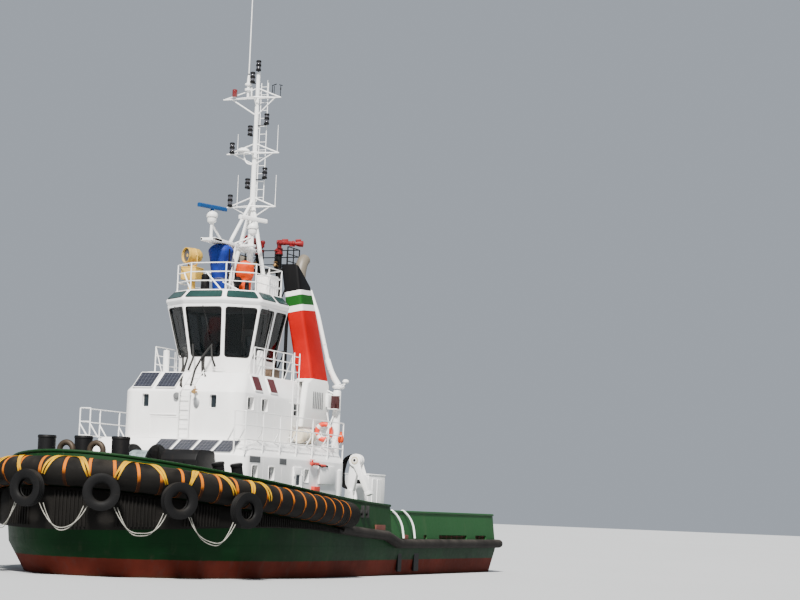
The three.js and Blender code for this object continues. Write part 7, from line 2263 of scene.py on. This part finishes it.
class TUG_OT_aft_deck(bpy.types.Operator):
    """Fit the cabinet, hatch, capstan, towing hook and stern bitts on the aft deck"""

    bl_idname = "tug.aft_deck"
    bl_label = "Aft deck gear"

    def execute(self, context):
        z = AFT_DECK_Z + 0.001
        fore, aft, inner, outer, top = -5.95, -7.65, 1.9, 3.0, 3.961
        case = blocks([((fore - 0.02, inner + 0.02, z + 0.12), (aft + 0.02, outer - 0.02, top - 0.04)),
            ((fore, inner, top - 0.06), (aft, outer, top)), ((fore - 0.01, inner + 0.01, z),
            (aft + 0.01, outer - 0.01, z + 0.14))], 0.02)
        doors = blocks([((fore - 0.35 - 0.5 * k, outer - 0.025, z + 0.25),
            (fore - 0.8 - 0.5 * k, outer - 0.002, top - 0.2)) for k in range(2)]
            + [((fore - 0.025, inner + 0.12, z + 0.25), (fore - 0.002, outer - 0.14, top - 0.16))]
            + [((fore - 0.02, inner + 0.16 + 0.2 * k, z + 0.6), (fore - 0.0005, inner + 0.2 + 0.2 * k,
            top - 0.5)) for k in range(4)], 0.008, 1)
        brace = tubes([[(fore - 0.03, inner + 0.1, z + 0.3), (fore - 0.03, outer - 0.05, top - 0.6)],
            [(fore - 0.5, outer - 0.03, top), (fore - 0.5, outer - 0.03, top - 0.02)]], 0.02, 8)
        placed([case, doors, brace], "ship white", "deck_cabinet_case", replaces="deck_cabinet")
        handles = [((fore - 0.4 - 0.5 * k, outer - 0.01, z + 1.2),
            (fore - 0.44 - 0.5 * k, outer - 0.0005, z + 1.4)) for k in range(2)]
        handles.append(((fore - 0.006, inner + 0.55, top - 0.42), (fore - 0.0005, inner + 0.75, top - 0.25)))
        placed(blocks(handles, 0.004, 1), "gear black", "cabinet_handles")

        x, y, half = -10.2, 1.9, 0.6
        lid = blocks([((x + half, y - half, z), (x - half, y + half, z + 0.1)),
            ((x + half - 0.03, y - half + 0.03, z + 0.09), (x - half + 0.03, y + half - 0.03, z + 0.16))],
            0.015)
        dogs = blocks([((x + dx - 0.03, y + dy - 0.03, z + 0.08), (x + dx + 0.03, y + dy + 0.03, z + 0.15))
            for dx in (-0.585, 0, 0.585) for dy in (-0.585, 0, 0.585) if dx or dy], 0.01, 1)
        placed([lid, dogs], "gear black", "deck_hatch_lid", replaces="deck_hatch")

        at = (-12.4, 0, z)
        base = turned([(0, 0), (0.4, 0), (0.4, 0.05), (0.37, 0.07), (0.34, 0.3), (0.36, 0.31), (0.36, 0.349),
            (0, 0.35)], at, steps=44)
        placed([base, bolts((-12.4, 0, z + 0.05), (0, 0, 1), 0.385, 10, 0.016)], "gear black", "capstan_foot",
            replaces="capstan_base")
        drum = turned([(0, 0), (0.33, 0), (0.34, 0.01), (0.34, 0.07), (0.32, 0.09), (0.24, 0.14),
            (0.195, 0.22), (0.18, 0.35), (0.19, 0.5), (0.235, 0.58), (0.29, 0.63), (0.3, 0.65), (0.3, 0.72),
            (0.28, 0.74), (0.12, 0.75), (0.1, 0.78), (0, 0.78)], (-12.4, 0, z + 0.356), steps=48)
        whelps = []
        for k in range(6):
            rib = plate([(0.17, 0.13), (0.27, 0.13), (0.225, 0.22), (0.21, 0.35), (0.22, 0.5), (0.26, 0.6),
                (0.17, 0.6)], 0, 0.05, "Y")
            rib.matrix_world = moved((-12.4, 0, z + 0.356), k * math.pi / 3)
            whelps.append(applied(rib))
        placed([drum, *whelps], "galvanised steel", "capstan_drum", body="capstan_head",
            replaces="capstan_head")

        hx, hook_z = -7.6, 2.1
        sides = [plate([(hx + 0.45, z + 0.06), (hx + 0.1, 2.28), (hx + 0.02, 2.3), (hx - 0.1, 2.3),
            (hx - 0.15, 2.26), (hx - 0.25, z + 0.06)], dy, 0.05, "Y") for dy in (-0.27, 0.27)]
        body = plate([(hx + 0.4, z + 0.06), (hx + 0.08, 2.2), (hx - 0.06, 2.2), (hx - 0.16, z + 0.06)], 0,
            0.5, "Y")
        bed = blocks([((hx + 0.55, -0.45, z), (hx - 0.45, 0.45, z + 0.08))], 0.015)
        ears = blocks([((hx, -0.12, hook_z + dz), (hx - 0.4, 0.12, hook_z + dz + 0.04))
            for dz in (-0.12, 0.08)], 0.01)
        heads = [bolts((hx + 0.05, dy, z + 0.08), (0, 0, 1), 0.07, 4) for dy in (-0.38, 0.38)]
        placed([*sides, body, bed, ears, *heads], "gear black", "hook_stand", replaces="tow_hook_stand")
        pivot = hx - 0.3
        hook = [bar((pivot, 0, hook_z - 0.069), (pivot, 0, hook_z + 0.069), 0.068, steps=24),
            bevelled(slab([(pivot, 0, hook_z - 0.06), (pivot, 0, hook_z + 0.06),
            (pivot - 0.42, 0, hook_z + 0.06), (pivot - 0.46, 0, hook_z + 0.12),
            (pivot - 0.48, 0, hook_z + 0.235), (pivot - 0.56, 0, hook_z + 0.24),
            (pivot - 0.6, 0, hook_z + 0.1), (pivot - 0.58, 0, hook_z - 0.03),
            (pivot - 0.5, 0, hook_z - 0.06)], -0.05, 0.05, ACROSS), 0.015, 2, 25)]
        placed(hook, "signal red", "hook_jaw", body="tow_hook", replaces="tow_hook")

        for sign, side in SIDES:
            parts = [blocks([((-12.55, sign * 3.7 - 0.25, z), (-13.85, sign * 3.7 + 0.25, z + 0.08))], 0.015)]
            for x in (-12.82, -13.58):
                parts.append(turned([(0, 0), (0.2, 0), (0.16, 0.06), (0.16, 0.66), (0.185, 0.67),
                    (0.185, 0.73), (0.16, 0.75), (0, 0.75)], (x, sign * 3.7, z), steps=32))
            parts.append(bar((-12.65, sign * 3.7, z + 0.42), (-13.75, sign * 3.7, z + 0.42), 0.045, steps=16))
            placed(parts, "gear black", f"aft_bitts_{side}", replaces=f"stern_bitts_{side}")
        return {"FINISHED"}


class TUG_OT_hull_fittings(bpy.types.Operator):
    """Fit the port flaps, side strips, lugs and deck vents on the hull"""

    bl_idname = "tug.hull_fittings"
    bl_label = "Hull fittings"

    def execute(self, context):
        boxes = [((fore, sign * 5.08, low), (aft, sign * 5.165, high)) for sign in (1, -1)
            for fore, aft, low, high in ((-1.87, -2.76, 1.75, 1.95), (-4.78, -5.1, 1.42, 1.58))]
        placed(blocks(boxes, 0.008, 1), "rust brown", "freeing_port_flaps")
        strips = [((fore, sign * 5.05, 0.15), (aft, sign * 5.12, 1.0)) for sign in (1, -1)
            for fore, aft in ((-4.22, -4.6), (-5.87, -6.37))]
        placed(blocks(strips, 0.01, 1), "gear black", "side_strips")
        lugs = []
        for sign in (1, -1):
            for x in (-0.5, -0.95):
                lugs += [((x, sign * 5.1, 2.2), (x - 0.05, sign * 5.24, 2.66)),
                    ((x - 0.12, sign * 5.1, 2.36), (x + 0.07, sign * 5.2, 2.5))]
        placed(blocks(lugs, 0.012), "gasket", "fender_end_lugs")
        vents = []
        for sign in (1, -1):
            for x, y in ((-9.3, 4.3), (-11.2, 4.3), (4.6, 4.2)):
                foot = deck_z(x) - 0.01
                vents.append(tubes([rounded([(x, sign * y, foot), (x, sign * y, foot + 0.62),
                    (x, sign * (y - 0.1), foot + 0.74), (x, sign * (y - 0.22), foot + 0.62),
                    (x, sign * (y - 0.22), foot + 0.5)], 0.1, 5)], 0.055, 14))
                vents.append(turned([(0, 0), (0.12, 0), (0.12, 0.02), (0, 0.02)], (x, sign * y, foot),
                    steps=20))
        placed(vents, "galvanised steel", "deck_vents")
        return {"FINISHED"}


# Thrusters

BLADE_SECTIONS = 10
BLADE_ROOT = 0.19
BLADE_TIP = 1.14


def blade_rings(angle):
    """Sections of a wide propeller blade from the hub out."""
    rings = []
    for i in range(BLADE_SECTIONS):
        share = i / (BLADE_SECTIONS - 1)
        r = BLADE_ROOT + (BLADE_TIP - BLADE_ROOT) * share
        chord = 0.34 + 0.3 * math.sin(share * math.pi * 0.62)
        pitch = 1.0 - 0.6 * share ** 0.7
        thick = 0.035 * (1 - share) + 0.011
        ring = []
        for side in (1, -1):
            for u in span(-0.96, 0.96, 0.33):
                u *= side
                along = u * chord / 2
                lift = side * thick * (1 - u * u)
                a = angle + along * math.cos(pitch) / r
                ring.append((along * math.sin(pitch) + lift, r * math.cos(a), r * math.sin(a)))
        rings.append(ring)
    return rings


class TUG_OT_thrusters(bpy.types.Operator):
    """Hang the two thrusters with their nozzles and propellers under the stern"""

    bl_idname = "tug.thrusters"
    bl_label = "Thrusters"

    def execute(self, context):
        for sign, side in SIDES:
            x, y, z = THRUSTER_X, sign * THRUSTER_Y, -3.55
            nozzle_x = x - 0.62
            profile = [(1.31, 0.575), (1.25, 0.54), (1.205, 0.42), (1.19, 0.287), (1.19, -0.287),
                (1.2, -0.45), (1.22, -0.57), (1.25, -0.575), (1.28, -0.56), (1.33, -0.2), (1.37, 0.15),
                (1.38, 0.3), (1.375, 0.45), (1.35, 0.54), (1.31, 0.575)]
            parts = [turned(profile, (nozzle_x, y, z), (1, 0, 0), 80)]
            parts.append(turned([(0, -0.34), (0.2, -0.34), (0.24, -0.32), (0.285, -0.1), (0.3, 0.1),
                (0.295, 0.3), (0.25, 0.52), (0.15, 0.68), (0.06, 0.74), (0, 0.75)], (x + 0.05, y, z),
                (1, 0, 0), 36))
            parts.append(turned([(0, -0.243), (0.5, -0.243), (0.53, -0.2), (0.6, -0.05), (0.62, 0), (0, 0)],
                (x, y, -2.007), steps=48))
            leg = []
            for level, fore, aft, half in ((-2.2, 0.42, -0.36, 0.22), (-2.6, 0.32, -0.3, 0.19),
                    (-3.1, 0.27, -0.25, 0.17), (-3.5, 0.32, -0.26, 0.2)):
                leg.append([(x + 0.05 + (fore + aft) / 2 + (fore - aft) / 2 * math.cos(a),
                    y + half * math.sin(a), level) for a in circle(24)])
            parts.append(skinned(leg))
            parts.append(blocks([((x + 0.2, y - 0.09, -2.2), (nozzle_x - 0.1, y + 0.09, z + 1.33))], 0.03))
            parts += [bar((x + 0.05, y, z - 0.05), (x - 0.2, y + s * 0.98, z - 0.87), 0.06, steps=16)
                for s in (-1, 1)]
            parts += [bolts((x, y, -2.22), (0, 0, 1), 0.565, 14, 0.022, 0.03)]
            placed(parts, "antifouling", f"thruster_pod_{side}", body=f"thruster_{side}",
                replaces=f"thruster_{side}")
            hub_x = nozzle_x - 0.08
            hub = turned([(0, -0.42), (0.06, -0.41), (0.12, -0.36), (0.17, -0.25), (0.2, -0.12), (0.21, 0.05),
                (0.21, 0.3), (0, 0.3)], (hub_x, y, z), (1, 0, 0), 36)
            blades = []
            for k in range(4):
                made = skinned(blade_rings(k * math.pi / 2))
                made.matrix_world = moved((hub_x + 0.05, y, z))
                blades.append(applied(made))
            placed([hub, *blades], "bronze", f"propeller_blades_{side}", body=f"propeller_{side}",
                replaces=f"propeller_{side}", angle=60)
        return {"FINISHED"}


# Stage

CAMERA_AT = (68.453, 35.634, 2.5)
CAMERA_HEADING = 23.0
CAMERA_PITCH = 6.024
CAMERA_ROLL = 2.2
CAMERA_LENS = 90.0
SUN_POWER = 10.4
SUN_WIDTH = 8
SUN_FROM = (0.64, 0.2, 0.74)
SKY_POWER = 0.5


class TUG_OT_stage(bpy.types.Operator):
    """Lay the pale floor at the waterline, set the soft light and the camera"""

    bl_idname = "tug.stage"
    bl_label = "Stage"

    def execute(self, context):
        object_mode()
        bpy.ops.object.select_all(action="DESELECT")
        bpy.ops.mesh.primitive_plane_add(size=900)
        floor = context.object
        floor.name = "floor"
        pale = Finish("pale floor", (0.45, 0.46, 0.47), 0.8)
        pale.set("Base Color", pale.mix(pale.noise(0.05, 2), (0.43, 0.44, 0.45), (0.47, 0.48, 0.49)))
        floor.data.materials.append(pale.material)
        world = bpy.data.worlds.new("soft sky")
        context.scene.world = world
        world.use_nodes = True
        sky = world.node_tree.nodes["Background"]
        sky.inputs["Color"].default_value = (0.76, 0.84, 0.95, 1)
        sky.inputs["Strength"].default_value = SKY_POWER
        bpy.ops.object.light_add(type="SUN", location=(30, -6, 40))
        sun = context.object
        sun.name = "key"
        sun.data.energy = SUN_POWER
        sun.data.angle = math.radians(SUN_WIDTH)
        sun.data.color = (1.0, 0.97, 0.92)
        sun.rotation_mode = "QUATERNION"
        sun.rotation_quaternion = Vector(SUN_FROM).to_track_quat("Z", "Y")
        heading, pitch, roll = (math.radians(v) for v in (CAMERA_HEADING, CAMERA_PITCH, CAMERA_ROLL))
        ahead = Vector((-math.cos(heading), -math.sin(heading), 0))
        right = Vector((-math.sin(heading), math.cos(heading), 0))
        forward = ahead * math.cos(pitch) + UP * math.sin(pitch)
        level_up = UP * math.cos(pitch) - ahead * math.sin(pitch)
        side = right * math.cos(roll) + level_up * math.sin(roll)
        top = level_up * math.cos(roll) - right * math.sin(roll)
        camera = linked("camera", bpy.data.cameras.new("camera"))
        turn = Matrix((side, top, -forward)).transposed().to_4x4()
        camera.matrix_world = Matrix.Translation(CAMERA_AT) @ turn
        camera.data.sensor_width = 36
        camera.data.lens = CAMERA_LENS
        camera.data.clip_end = 2000
        context.scene.camera = camera
        return {"FINISHED"}


OPERATORS = [TUG_OT_finishes, TUG_OT_hull, TUG_OT_bulwarks, TUG_OT_bow_fender, TUG_OT_low_fenders,
    TUG_OT_tyres, TUG_OT_lower_house, TUG_OT_house_doors, TUG_OT_upper_house, TUG_OT_rails, TUG_OT_wheelhouse,
    TUG_OT_bridge_inside, TUG_OT_roof_gear, TUG_OT_funnels, TUG_OT_monitors, TUG_OT_mast, TUG_OT_house_gear,
    TUG_OT_foredeck, TUG_OT_deck_crane, TUG_OT_aft_deck, TUG_OT_hull_fittings, TUG_OT_thrusters, TUG_OT_stage]


class TUG_PT_panel(bpy.types.Panel):
    """Lists the steps that build the tug"""

    bl_idname = "TUG_PT_panel"
    bl_label = "Harbour tug"
    bl_space_type = "VIEW_3D"
    bl_region_type = "UI"
    bl_category = "Tug"

    def draw(self, context):
        for group in (context.scene.tug_paints, context.scene.tug_sizes):
            for key in group.__annotations__:
                self.layout.prop(group, key)
        for operator in OPERATORS:
            self.layout.operator(operator.bl_idname)


CLASSES = [TugPaints, TugSizes, *OPERATORS, TUG_PT_panel]


def register():
    for cls in CLASSES:
        bpy.utils.register_class(cls)
    bpy.types.Scene.tug_paints = bpy.props.PointerProperty(type=TugPaints)
    bpy.types.Scene.tug_sizes = bpy.props.PointerProperty(type=TugSizes)


def unregister():
    del bpy.types.Scene.tug_paints
    del bpy.types.Scene.tug_sizes
    for cls in reversed(CLASSES):
        bpy.utils.unregister_class(cls)


def main():
    register()
    for operator in OPERATORS:
        group, name = operator.bl_idname.split(".")
        getattr(getattr(bpy.ops, group), name)()


if __name__ == "__main__":
    main()
